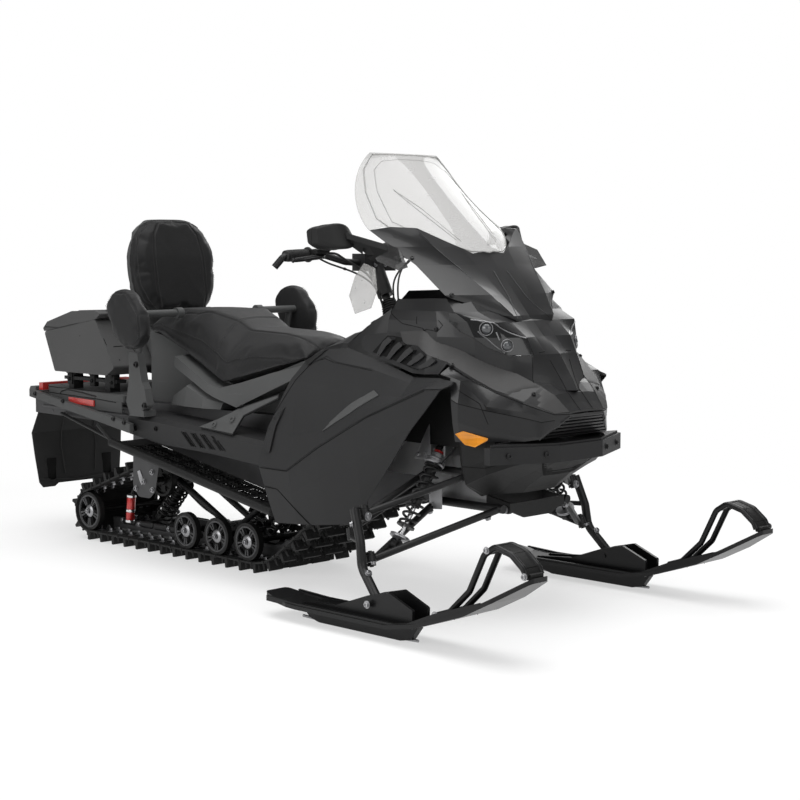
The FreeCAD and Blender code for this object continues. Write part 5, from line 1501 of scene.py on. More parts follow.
@dataclass
class SoftGoods:
    """Seat, backrest and the passenger's side pads.

    The backrest's shell is divided shell_rounds times at most, until its edges are under shell_edge
    metres, and shell_share is how far its outline is rounded. pad_side is each pad's outer face, in
    millimetres from the middle.
    """

    shell_rounds: int = 5
    shell_edge: float = 0.016
    shell_share: float = 0.86
    pad_side: float = 414

    def seat(self) -> None:
        """The two-up seat with its step seam, its top seams and its welt above the base."""
        lines = both([
            [(84, -118, 792), (92, 60, 812), (92, 238, 818), (98, 296, 850), (132, 400, 882),
             (152, 560, 884), (150, 690, 872)],
            [(168, -120, 764), (216, 60, 744), (230, 238, 724), (226, 300, 744), (218, 400, 784),
             (208, 640, 836), (204, 700, 836)],
        ])
        lines.append([mm(x, y, z) for x, y, z in (
            (-200, 300, 770), (-150, 300, 822), (-98, 298, 852), (-50, 306, 860), (0, 310, 862),
            (50, 306, 860), (98, 298, 852), (150, 300, 822), (200, 300, 770))])
        Cushion("seat", voxel=0.0075, shrink=0.012, cap=0.024, rounds=16, seams=lines,
                rest=(Vector((0, 0, -1)), 0.15), seam_depth=0.0032).build()

    def backrest(self) -> None:
        """The backrest with its punched middle panel between two sewn lines."""
        lines = both([
            [(104, 716, 880), (112, 730, 950), (112, 744, 1070), (100, 764, 1150), (70, 778, 1196),
             (0, 786, 1206)],
            [(128, 730, 868), (182, 750, 960), (190, 765, 1070), (168, 786, 1160),
             (106, 798, 1208)],
        ])
        Cushion("backrest", voxel=0.0055, shrink=0.003, cap=0.012, rounds=14,
                finish=Finishes.punched, plane=(0, 2),
                seams=lines, rest=(Vector((0, 1, 0)), 0.1)).build()

    def side_pad(self, side: Side) -> None:
        """One of the passenger's side pads, with a seam round its outer face.

        Args:
            side: The side that it is on.
        """
        ring = [(600, 950), (515, 951), (448, 878), (442, 794), (488, 765), (536, 763), (590, 802),
                (640, 903), (600, 950)]
        x = side.value * self.pad_side
        lines = [[mm(x, y, z) for y, z in ring]]
        Cushion("passenger_pad_" + side.label, voxel=0.005, shrink=0.003, cap=0.010, rounds=18,
                seams=lines, seam_depth=0.0024, rest=(Vector((-side.value, 0, 0)), 0.3),
                plane=(1, 2)).build()

    def frame_shell(self) -> None:
        """The backrest's shell, as round as its cushion, in place of the CAD's."""
        source = frame["nodes"]["backrest_frame"]
        made = source.copy()
        made.data = source.data.copy()
        for key in list(made.keys()):
            del made[key]
        made.parent = None
        made.name = "backrest_shell"
        bpy.context.scene.collection.objects.link(made)
        shell = bmesh.new()
        shell.from_mesh(made.data)
        bmesh.ops.remove_doubles(shell, verts=shell.verts[:], dist=1e-6)
        for _ in range(self.shell_rounds):
            long = [e for e in shell.edges if e.calc_length() > self.shell_edge]
            if not long:
                break
            bmesh.ops.subdivide_edges(shell, edges=long, cuts=1)
            bmesh.ops.triangulate(shell, faces=[f for f in shell.faces if len(f.verts) > 3])
        bmesh.ops.recalc_face_normals(shell, faces=shell.faces[:])
        shell.to_mesh(made.data)
        shell.free()
        outline = Outline.of("backrest", (0, 2))
        Cushion.write(made, outline.round(Cushion.points(made), self.shell_share))
        Workshop.settle(made, 32)
        Workshop.dress(made, Finishes.grey, Body.CHASSIS, "panel_grey")
        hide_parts("backrest_frame")

    def build(self) -> None:
        """Makes all of them."""
        self.frame_shell()
        self.seat()
        self.backrest()
        for side in Side:
            self.side_pad(side)


# ---------------------------------------------------------------- details laid on the shells


class Shell:
    """The surface of one CAD node, on which seams, panels and bolts are laid."""

    _known: dict[str, "Shell"] = {}

    def __init__(self, node: str) -> None:
        """Reads the node's surface.

        Args:
            node: The CAD node.
        """
        self.node = node
        self.obj = frame["nodes"][node]
        self.tree = BVHTree.FromObject(self.obj, bpy.context.evaluated_depsgraph_get())

    @classmethod
    def of(cls, node: str) -> "Shell":
        """The node's surface, read once.

        Args:
            node: The node's name.

        Returns:
            Its surface.
        """
        if node not in cls._known:
            cls._known[node] = cls(node)
        return cls._known[node]

    def near(self, point: Vector) -> tuple[Vector, Vector]:
        """The nearest place on the surface, and the way out of it."""
        spot, normal, _, _ = self.tree.find_nearest(point)
        return spot, normal

    def lay(self, points: Sequence[Point], step: float = 0.008) -> list[Vector]:
        """A line of straight runs laid on the surface.

        Args:
            points: Its corners in millimetres.
            step: The distance between laid points, in metres.

        Returns:
            The laid points.
        """
        corners = [mm(*p) for p in points]
        laid = [self.near(corners[0])[0]]
        for a, b in zip(corners, corners[1:]):
            count = max(1, round((b - a).length / step))
            laid += [self.near(a + (b - a) * (i / count))[0] for i in range(1, count + 1)]
        return [laid[0]] + [p for q, p in zip(laid, laid[1:]) if (p - q).length > 0.0008]

    def strip(self, points: Sequence[Point], radius: float, name: str) -> bpy.types.Object:
        """A thin round bead or dark joint that follows the surface, half sunk in it."""
        return Workshop.tube(self.lay(points), radius, name, 6, smooth=False)

    def bolt(self, point: Point, radius: float = 0.007, name: str = "bolt") -> bpy.types.Object:
        """A bolt's head standing on the surface near a point in millimetres."""
        spot, normal = self.near(mm(*point))
        return Workshop.bolt(spot, normal, radius, radius * 0.7, name)

    def patch(self, outline: Sequence[tuple[float, float]], depth: float, name: str, rise: float,
              bevel: float, cells: int = 14, reach: float = 0.4) -> bpy.types.Object:
        """A panel on the rider's right that follows the surface inside a convex outline.

        Args:
            outline: The outline seen from the side, as Y and Z in millimetres.
            depth: Where the outline starts, outside the shell: X in millimetres.
            name: The piece's name.
            rise: The panel's thickness.
            bevel: The rim's bevel.
            cells: Cells of the grid along the outline's longer side.
            reach: How far it may travel to the shell.

        Returns:
            The panel.
        """
        flat = [Vector(p) for p in outline]
        low = Vector((min(p.x for p in flat), min(p.y for p in flat)))
        high = Vector((max(p.x for p in flat), max(p.y for p in flat)))
        counts = [max(2, round(cells * length / max(high - low))) for length in high - low]
        Workshop.clear()
        bpy.ops.mesh.primitive_grid_add(x_subdivisions=counts[0], y_subdivisions=counts[1], size=2)
        made = bpy.context.object
        made.name = name
        for vertex in made.data.vertices:
            share = Vector(((vertex.co.x + 1) / 2, (vertex.co.y + 1) / 2))
            vertex.co = mm(depth, low.x + (high - low).x * share.x,
                           low.y + (high - low).y * share.y)
        centre = sum(flat, Vector((0, 0))) / len(flat)
        Workshop.only(made)
        bpy.ops.object.mode_set(mode="EDIT")
        for a, b in zip(flat, flat[1:] + flat[:1]):
            side = Vector(((b - a).y, -(b - a).x)).normalized()
            if side.dot(centre - a) > 0:
                side = -side
            bpy.ops.mesh.select_all(action="SELECT")
            bpy.ops.mesh.bisect(plane_co=mm(depth, *a), plane_no=mm(0, *side).normalized(),
                                clear_outer=True)
        bpy.ops.object.mode_set(mode="OBJECT")
        inward = Vector((1, 0, 0))
        for vertex in made.data.vertices:
            start = Vector(vertex.co)
            spot = self.tree.ray_cast(start, inward, reach)[0]
            if spot is None:
                spot = self.tree.find_nearest(start + inward * reach * 0.5)[0]
            vertex.co = spot - inward * rise
        Workshop.only(made)
        bpy.ops.object.mode_set(mode="EDIT")
        bpy.ops.mesh.select_all(action="SELECT")
        bpy.ops.mesh.normals_make_consistent(inside=False)
        bpy.ops.object.mode_set(mode="OBJECT")
        if sum(face.normal.x * face.area for face in made.data.polygons) > 0:
            made.data.flip_normals()
        Workshop.modify(made, "SOLIDIFY", thickness=rise + 0.0012, offset=-1.0)
        Workshop.modify(made, "BEVEL", width=bevel, segments=2, limit_method="ANGLE",
                        angle_limit=math.radians(50))
        return Workshop.settle(made, 40)


def mirror_pair(make: Callable[[], bpy.types.Object], finish: Finish, slot: str,
                body: Body = Body.CHASSIS) -> None:
    """Makes a piece for the rider's right, then its twin for the left, both on one body.

    Args:
        make: Makes the right piece.
        finish: Their finish.
        slot: Their slot in the record.
        body: The body that they ride on.
    """
    right = make()
    name = right.name
    left = Workshop.mirrored(right, name + "_left")
    right.name = name + "_right"
    for piece in (right, left):
        Workshop.dress(piece, finish, body, slot)


def ribbon(shell: Shell, first: Sequence[Point], second: Sequence[Point], name: str,
           rise: float = 0.0012, columns: int = 6, step: float = 0.012) -> bpy.types.Object:
    """A band between two lines, laid on a shell and given a thickness.

    Args:
        shell: The shell under it.
        first: One edge's corners, in millimetres.
        second: The other edge's corners, as many.
        name: The piece's name.
        rise: How far it stands over the shell.
        columns: Cells across the band.
        step: The cells' length along it, in metres.

    Returns:
        The band.
    """
    rows = []
    for (a0, a1), (b0, b1) in zip(zip(first, first[1:]), zip(second, second[1:])):
        count = max(1, round((mm(*a1) - mm(*a0)).length / step))
        for i in range(count):
            share = i / count
            rows.append((mm(*a0).lerp(mm(*a1), share), mm(*b0).lerp(mm(*b1), share)))
    rows.append((mm(*first[-1]), mm(*second[-1])))
    Workshop.clear()
    bpy.ops.mesh.primitive_grid_add(x_subdivisions=columns, y_subdivisions=len(rows) - 1, size=2)
    made = bpy.context.object
    made.name = name
    outward = 0.0
    for i, vertex in enumerate(made.data.vertices):
        a, b = rows[i // (columns + 1)]
        spot, normal = shell.near(a.lerp(b, (i % (columns + 1)) / columns))
        vertex.co = spot + normal * rise
    made.data.update()
    for face in made.data.polygons:
        outward += face.normal.dot(shell.near(face.center)[1])
    if outward < 0:
        made.data.flip_normals()
    Workshop.modify(made, "SOLIDIFY", thickness=rise + 0.001, offset=-1.0)
    return Workshop.settle(made, 30)


@dataclass(frozen=True)
class Laid:
    """A piece laid on one CAD node's surface.

    A paired piece is made for the rider's right, and its twin for the left.
    """

    name: str
    node: str
    finish: Finish
    slot: str
    body: Body = field(default=Body.CHASSIS, kw_only=True)
    paired: bool = field(default=True, kw_only=True)

    def make(self) -> bpy.types.Object:
        """Makes the piece's mesh."""
        raise NotImplementedError

    def build(self) -> None:
        """Makes the piece and its twin, with their finish."""
        if self.paired:
            mirror_pair(self.make, self.finish, self.slot, self.body)
        else:
            Workshop.dress(self.make(), self.finish, self.body, self.slot)


@dataclass(frozen=True)
class Beads(Laid):
    """Beads along some lines and bolts at some spots, all in millimetres, joined in one piece.

    radius is the beads', and head the bolts', in metres.
    """

    radius: float = 0.0
    lines: tuple[Sequence[Point], ...] = ()
    head: float = 0.0
    spots: tuple[Point, ...] = ()

    def make(self) -> bpy.types.Object:
        """Lays the beads and the bolts.

        Returns:
            The joined piece.
        """
        shell = Shell.of(self.node)
        parts = [shell.strip(line, self.radius, self.name) for line in self.lines]
        parts += [shell.bolt(spot, self.head) for spot in self.spots]
        return Workshop.join(parts, self.name)


@dataclass(frozen=True)
class Band(Laid):
    """A band between two lines in millimetres, that stands rise metres over the surface."""

    rise: float
    columns: int
    first: Sequence[Point]
    second: Sequence[Point]

    def make(self) -> bpy.types.Object:
        """Lays the band."""
        return ribbon(Shell.of(self.node), self.first, self.second, self.name, self.rise,
                      self.columns)


def mirrored_lines(*lines: Sequence[Point]) -> tuple[Sequence[Point], ...]:
    """Each line and its mirror image, in millimetres."""
    return tuple(made for line in lines for made in (line, [(-x, y, z) for x, y, z in line]))




# ---------------------------------------------------------------- running gear


@dataclass
class BeltLine:
    """The closed line of the belt's inner face in the machine's middle plane, in metres.

    bend is the fixed circle ahead, as centre Y, centre Z and radius. top_run gives the least length
    and height of the run over the carrier wheels, and fan the start, reach and steps of the arc
    there, in degrees. chord is how many steps ahead and behind give the line's direction.
    """

    bend: tuple[float, float, float] = (0.140, 0.268, 0.230)
    axle_radius: float = 0.090
    fit: float = 0.0004
    steps: int = 1600
    arc_steps: int = 720
    chord: int = 4
    fan: tuple[int, int, int] = (70, 40, 12)
    top_run: tuple[float, float] = (0.9, 0.15)

    def circles(self) -> list[tuple[float, float, float]]:
        """Centre Y, centre Z and radius of each circle that the belt goes round.

        Returns:
            The circles, rear first and the carrier's last.
        """
        found = []
        for node in ("rear_wheels", "drive_axle", "carrier_wheels"):
            low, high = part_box(node)
            radius = (high.z - low.z) / 2
            if node == "drive_axle":
                radius = max(radius, self.axle_radius)
            found.append(((low.y + high.y) / 2, (low.z + high.z) / 2, radius + self.fit))
        return [found[0], self.bend, found[1], found[2]]

    def points(self) -> list[Vector]:
        """The line's points, evenly spaced, as Y and Z.

        Returns:
            The points, going round once.
        """
        circles = self.circles()
        angles = [math.tau * i / self.arc_steps for i in range(self.arc_steps)]
        cloud = [Vector((y + r * math.cos(a), z + r * math.sin(a)))
                 for y, z, r in circles[:3] for a in angles]
        hull = self.hull(cloud)
        length, height = self.top_run
        ring = []
        for a, b in zip(hull, hull[1:] + hull[:1]):
            ring.append(a)
            if (b - a).length > length and min(a.y, b.y) > height:
                ring += self.over(a, b, circles[3])
        return self.even(ring)

    @staticmethod
    def hull(cloud: list[Vector]) -> list[Vector]:
        """The convex outline of a cloud of points, going round once.

        Args:
            cloud: The points.

        Returns:
            The outline's points, going round once.
        """
        cloud = sorted(cloud, key=lambda p: (round(p.x, 7), round(p.y, 7)))

        def half(points: Iterable[Vector]) -> list[Vector]:
            """One side of the outline.

            Args:
                points: The points in sorted order.

            Returns:
                That side's points.
            """
            line: list[Vector] = []
            for p in points:
                while len(line) > 1 and (line[-1] - line[-2]).cross(p - line[-1]) <= 0:
                    line.pop()
                line.append(p)
            return line[:-1]

        return half(cloud) + half(reversed(cloud))

    def over(self, a: Vector, b: Vector, circle: tuple[float, float, float]) -> list[Vector]:
        """Points of the upper run where the carrier wheels lift or press it.

        Args:
            a: The run's first point.
            b: The run's last point.
            circle: The carrier wheels' circle.

        Returns:
            The points, or none where the run clears the wheels.
        """
        y, z, radius = circle
        line = a + (b - a) * ((y - a.x) / (b.x - a.x))
        if z + radius <= line.y:
            return []
        start, reach, steps = self.fan
        turns = [math.radians(start + reach * i / steps) for i in range(steps + 1)]
        fan = [Vector((y + radius * math.cos(t), z + radius * math.sin(t))) for t in turns]
        return sorted(fan, key=lambda p: (p - a).length)

    def even(self, ring: list[Vector]) -> list[Vector]:
        """The line's points at equal steps.

        Args:
            ring: The line's corners.

        Returns:
            The evenly spaced points.
        """
        closed = ring + ring[:1]
        runs = [0.0]
        for a, b in zip(closed, closed[1:]):
            runs.append(runs[-1] + (b - a).length)
        made, at = [], 0
        for i in range(self.steps):
            want = runs[-1] * i / self.steps
            while runs[at + 1] < want:
                at += 1
            share = (want - runs[at]) / max(runs[at + 1] - runs[at], 1e-9)
            made.append(closed[at].lerp(closed[at + 1], share))
        return made

    def frames(self, count: int, shift: float = 0.0) -> list[Matrix]:
        """Frames along the line: X across the belt, Y along it, Z away from its inside.

        Args:
            count: How many.
            shift: Share of one step by which the first is moved.

        Returns:
            The frames.
        """
        line = self.points()
        centre = sum(line, Vector((0, 0))) / len(line)
        made = []
        for i in range(count):
            at = int(len(line) * (i + shift) / count) % len(line)
            here = line[at]
            after, before = line[(at + self.chord) % len(line)], line[at - self.chord]
            along = (after - before).normalized()
            away = Vector((-along.y, along.x))
            if away.dot(here - centre) < 0:
                away = -away
            ahead = Vector((0, along.x, along.y))
            outward = Vector((0, away.x, away.y))
            turn = Matrix((ahead.cross(outward), ahead, outward)).transposed().to_4x4()
            made.append(Matrix.Translation((0, here.x, here.y)) @ turn)
        return made


@dataclass
class Track:
    """The belt's fingers, rods and guide clips, added to the CAD belt with its lugs.

    Sizes are in metres. finger_at and clip_at are across the belt, and finger_shifts are the rows'
    places between two lugs, as shares of a pitch.
    """

    pitches: int = 53
    thickness: float = 0.006
    half: float = 0.190
    finger_size: Point = (0.009, 0.012, 0.024)
    finger_at: tuple[float, ...] = (
        -0.17, -0.142, -0.08, -0.052, -0.024, 0.024, 0.052, 0.08, 0.142, 0.17)
    finger_shifts: tuple[float, ...] = (0.30, 0.70)
    clip_at: tuple[float, ...] = (-0.148, -0.112, 0.112, 0.148)

    def finger(self) -> bpy.types.Object:
        """One tapered rubber finger between two lugs, standing on the belt's outside.

        Returns:
            The finger at the origin.
        """
        Workshop.clear()
        bpy.ops.mesh.primitive_cube_add(size=1.0, location=(0, 0, self.thickness + 0.011))
        made = bpy.context.object
        made.name = "track_fingers"
        made.scale = self.finger_size
        Workshop.only(made)
        bpy.ops.object.transform_apply(location=True, rotation=True, scale=True)
        Workshop.pick_faces(made, lambda face: face.normal.z > 0.9)
        bpy.ops.transform.resize(value=(0.55, 0.5, 1.0), center_override=(0, 0, 0.03))
        bpy.ops.mesh.inset(thickness=0.0012, depth=0)
        bpy.ops.object.mode_set(mode="OBJECT")
        return made

    def fingers(self) -> None:
        """The rows of fingers, some beside each lug and some between two rows of lugs."""
        line = BeltLine()
        moves = [turn @ Matrix.Translation((x, 0, 0)) for shift in self.finger_shifts
                 for turn in line.frames(self.pitches, shift) for x in self.finger_at]
        made = Workshop.copies(self.finger(), moves)
        Workshop.dress(made, Finishes.track, Body.CHASSIS, "track_rubber")

    def rods(self) -> None:
        """The cross rods' moulded bars, which show at the belt's edges."""
        bar = Workshop.rod((-self.half - 0.003, 0, 0.003), (self.half + 0.003, 0, 0.003), 0.0058,
                           "track_rods", 8)
        made = Workshop.copies(bar, BeltLine().frames(self.pitches))
        Workshop.dress(made, Finishes.track, Body.CHASSIS, "track_rubber")

    def clip(self) -> bpy.types.Object:
        """One folded steel guide clip with its horn, on the belt's inside.

        Returns:
            The clip at the origin.
        """
        outline = [(-0.011, 0.0), (0.011, 0.0), (0.007, -0.014), (-0.005, -0.014)]
        horn = Workshop.plate([(0, y, z) for y, z in outline], Vector((0.0025, 0, 0)),
                              "track_clips", 0.0006)
        base = Workshop.block((-0.009, -0.012, -0.0022), (0.009, 0.012, 0.0),
                              "clip_base", 0.0006, 1)
        return Workshop.join([horn, base], "track_clips")

    def clips(self) -> None:
        """Guide clips along four lines of the belt's inside, beside rails and wheels."""
        moves = [turn @ Matrix.Translation((x, 0, 0))
                 for turn in BeltLine().frames(self.pitches, 0.5) for x in self.clip_at]
        made = Workshop.copies(self.clip(), moves)
        Workshop.dress(made, Finishes.zinc, Body.CHASSIS, "alloy")

    def build(self) -> None:
        """Adds all of them."""
        self.fingers()
        self.rods()
        self.clips()


@dataclass
class WheelFaces:
    """Rims, spoke ribs, hubs and bolts of the wheels' outer faces."""

    half: float = 0.011
    spokes: int = 5
    rear: tuple[float, float, float, float] = (0.172, 1.081, 0.110, 0.072)
    bogies: tuple[float, float, float] = (0.498, 0.325, 0.162)
    bogie_z: float = 0.103
    bogie_radius: float = 0.065

    def ring(self, radius: float) -> bpy.types.Object:
        """The grey rim ring on a wheel's outer face, at the origin, facing -X.

        Args:
            radius: The wheel's radius.

        Returns:
            The ring.
        """
        a, b = Vector((-self.half - 0.0022, 0, 0)), Vector((-self.half + 0.004, 0, 0))
        outer, inner = radius - 0.009, radius - 0.0155
        made = Workshop.lathe(b, a, [(0, outer), (0.6, outer), (1, outer - 0.002)], "rim", 40)
        Workshop.pick_faces(made, lambda face: face.normal.x > 0.9)
        bpy.ops.mesh.delete(type="FACE")
        bpy.ops.object.mode_set(mode="OBJECT")
        Workshop.pick_faces(made, lambda face: face.normal.x < -0.9)
        bpy.ops.mesh.inset(thickness=outer - 0.002 - inner, depth=0)
        bpy.ops.mesh.inset(thickness=0.0015, depth=-0.005)
        bpy.ops.mesh.delete(type="FACE")
        bpy.ops.object.mode_set(mode="OBJECT")
        Workshop.modify(made, "SOLIDIFY", thickness=0.0012, offset=-1)
        return Workshop.settle(made)

    def spoke(self, radius: float) -> bpy.types.Object:
        """One pair of spoke ribs with the dark slot between them.

        Args:
            radius: The wheel's radius.

        Returns:
            All the spokes of one wheel.
        """
        low, high = 0.026, radius - 0.016
        outline = ((0.0015, low), (0.0055, low), (0.0105, high), (0.0035, high))
        ribs = [Workshop.plate([(-self.half + 0.006, sign * y, z) for y, z in outline],
                               Vector((-0.0065, 0, 0)), "wheel_spokes", 0.0012) for sign in (-1, 1)]
        made = Workshop.join(ribs, "wheel_spokes")
        turns = [Matrix.Rotation(math.tau * (i + 0.5) / self.spokes, 4, "X")
                 for i in range(self.spokes)]
        return Workshop.copies(made, turns)

    def hub(self) -> bpy.types.Object:
        """The hub with its cap screw.

        Returns:
            The joined hub.
        """
        base = Workshop.lathe((-0.004, 0, 0), (-0.0135, 0, 0),
                              [(0, 0.024), (0.5, 0.023), (0.8, 0.019), (1, 0.0155)],
                              "wheel_hubs", 28)
        screw = Workshop.bolt((-0.0175, 0, 0), Vector((-1, 0, 0)), 0.0085, 0.005)
        return Workshop.join([base, screw], "wheel_hubs")

    def places(self) -> list[tuple[Matrix, float]]:
        """Each wheel's place and radius, its outer face turned away from the middle.

        Returns:
            A place and a radius for each wheel.
        """
        x = self.rear[0]
        spots = [(self.rear[1], self.rear[2], self.rear[3])]
        spots += [(y, self.bogie_z, self.bogie_radius) for y in self.bogies]
        found = []
        for side in Side:
            for y, z, radius in spots:
                place = Matrix.Translation((side.value * x, y, z))
                if side is Side.LEFT:
                    place = place @ Matrix.Rotation(math.pi, 4, "Z")
                found.append((place, radius))
        return found

    def build(self) -> None:
        """Adds the faces of every wheel."""
        kinds = ((self.ring, Finishes.rim, "wheel_rims"),
                 (self.spoke, Finishes.rim, "wheel_spokes"))
        for make, finish, name in kinds:
            parts = []
            for radius in (self.rear[3], self.bogie_radius):
                moves = [place for place, size in self.places() if size == radius]
                parts.append(Workshop.copies(make(radius), moves))
            Workshop.dress(Workshop.join(parts, name), finish, Body.CHASSIS, "wheel_plastic")
        hubs = Workshop.copies(self.hub(), [place for place, _ in self.places()])
        Workshop.dress(hubs, Finishes.zinc, Body.CHASSIS, "alloy")


@dataclass
class Skid:
    """Slider shoes, rail bolts, the shock's canister and the skid's small links.

    Everything is in millimetres, and pairs are Y and Z. rail_side and carrier_side are the rail's
    and the carrier's places to each side.
    """

    rail_side: float = 92.0
    bolt_spots: tuple[tuple[float, float], ...] = (
        (980, 78), (900, 96), (880, 72), (700, 76), (600, 92), (430, 72), (260, 90), (190, 66))
    window: tuple[tuple[float, float], ...] = (
        (-34, -12), (34, -12), (40, 0), (34, 12), (-34, 12), (-40, 0))
    window_at: tuple[float, ...] = (940, 830, 750, 655, 540, 370)
    window_height: float = 76
    can_ends: tuple[Point, Point] = ((-122, 905, 84), (-122, 894, 184))
    can_hose: tuple[Point, ...] = (
        (-122, 893, 186), (-122, 884, 214), (-84, 850, 226), (-40, 800, 214), (-10, 770, 200))
    spring_leg: tuple[Point, ...] = ((74, 352, 116), (70, 470, 150), (66, 560, 178), (62, 660, 236))
    carrier_side: float = 209
    slot_outline: tuple[tuple[float, float], ...] = (
        (722, 302), (737, 296), (724, 262), (712, 248), (702, 256), (708, 280))
    carrier_spots: tuple[tuple[float, float], ...] = (
        (700, 262), (652, 300), (748, 232), (650, 236))

    def shoes(self) -> bpy.types.Object:
        """The pale slider shoe along the near rail's foot.

        Returns:
            The shoe.
        """
        x = -self.rail_side
        return Workshop.plate([mm(x - 11, 1030, 39), mm(x - 11, 120, 39), mm(x - 11, 112, 47),
                               mm(x - 11, 1024, 47)], mm(22, 0, 0), "slider_shoe", 0.001)

    def rail_bolts(self) -> bpy.types.Object:
        """The bolts along the near rail.

        Returns:
            The joined bolts.
        """
        master = Workshop.bolt(mm(-self.rail_side - 8, 0, 0), (-1, 0, 0), 0.007, 0.005,
                               "rail_bolts")
        return Workshop.copies(master,
                               [Matrix.Translation(mm(0, *spot)) for spot in self.bolt_spots])

    def rail_windows(self) -> bpy.types.Object:
        """The raised rims round the lightening holes pressed in the near rail.

        Returns:
            The joined rims.
        """
        x = -self.rail_side - 8
        outline = [mm(x + 1, y, z) for y, z in self.window]
        rim = Workshop.plate(outline, mm(-3, 0, 0), "rail_windows", 0.001, 0.004, 0.0025)
        return Workshop.copies(rim, [Matrix.Translation(mm(0, y, self.window_height))
                                     for y in self.window_at])

    def canister(self) -> None:
        """The rear shock's red canister with its caps, clamped beside the rail."""
        low, high = (mm(*end) for end in self.can_ends)
        along = (high - low).normalized() * 0.006
        can = Workshop.lathe(low, high, [(0, 0.014), (0.04, 0.0165), (0.93, 0.0165), (1, 0.013)],
                             "shock_canister", 28)
        Workshop.dress(can, Finishes.shock, Body.CHASSIS, "shock_red")
        parts = []
        for share, reach in ((0.02, 0.018), (0.42, 0.0185), (0.97, 0.018)):
            spot = low.lerp(high, share)
            profile = [(0, reach - 0.002), (0.2, reach), (0.8, reach), (1, reach - 0.002)]
            parts.append(Workshop.lathe(spot - along, spot + along, profile, "canister_bands", 28))
        parts.append(Workshop.block(mm(-124, 890, 96), mm(-98, 910, 108), "canister_foot", 0.002))
        Workshop.dress(Workshop.join(parts, "canister_bands"), Finishes.chrome, Body.CHASSIS,
                       "alloy")
        hose = Workshop.tube([mm(*p) for p in self.can_hose], 0.0045, "canister_hose")
        Workshop.dress(hose, Finishes.grip, Body.CHASSIS, "grip_rubber")

    def links(self) -> None:
        """The limiter strap and the torsion springs with their legs."""
        parts = []
        for side in Side:
            s = side.value
            leg = [mm(s * x, y, z) for x, y, z in self.spring_leg]
            parts.append(Workshop.tube(leg, 0.0052, "skid_springs", 8))
            parts.append(Workshop.coil(mm(s * 40, 352, 112), mm(s * 76, 352, 112), 0.019, 0.005, 4,
                                       "skid_spring_coil"))
        Workshop.dress(Workshop.join(parts, "skid_springs"), Finishes.steel, Body.CHASSIS,
                       "black_steel")
        strap = Workshop.plate([mm(-16, 60, 104), mm(-16, -24, 340), mm(-16, -30, 338),
                                mm(-16, 52, 102)],
                               mm(32, 0, 0), "limiter_strap", 0.001)
        Workshop.dress(strap, Finishes.grip, Body.CHASSIS, "grip_rubber")

    def carrier_slot(self) -> None:
        """The pale slot frame and the bolts on the carrier's side plate."""
        outline = [mm(-self.carrier_side - 0.4, y, z) for y, z in self.slot_outline]
        slot = Workshop.plate(outline, mm(-2.2, 0, 0), "carrier_slot_frame", 0.0008, 0.0042, 0.0018)
        left = Workshop.mirrored(slot, "carrier_slot_frame_left")
        for piece in (slot, left):
            Workshop.dress(piece, Finishes.alloy, Body.CHASSIS, "alloy")
        bolts = [Workshop.bolt(mm(s.value * self.carrier_side, y, z), (s.value, 0, 0), 0.008, 0.006)
                 for s in Side for y, z in self.carrier_spots]
        Workshop.dress(Workshop.join(bolts, "carrier_bolts"), Finishes.zinc, Body.CHASSIS, "alloy")

    def build(self) -> None:
        """Adds all of them."""
        mirror_pair(self.shoes, Finishes.grey, "wheel_plastic")
        mirror_pair(self.rail_bolts, Finishes.zinc, "alloy")
        mirror_pair(self.rail_windows, Finishes.steel, "black_steel")
        self.canister()
        self.links()
        self.carrier_slot()


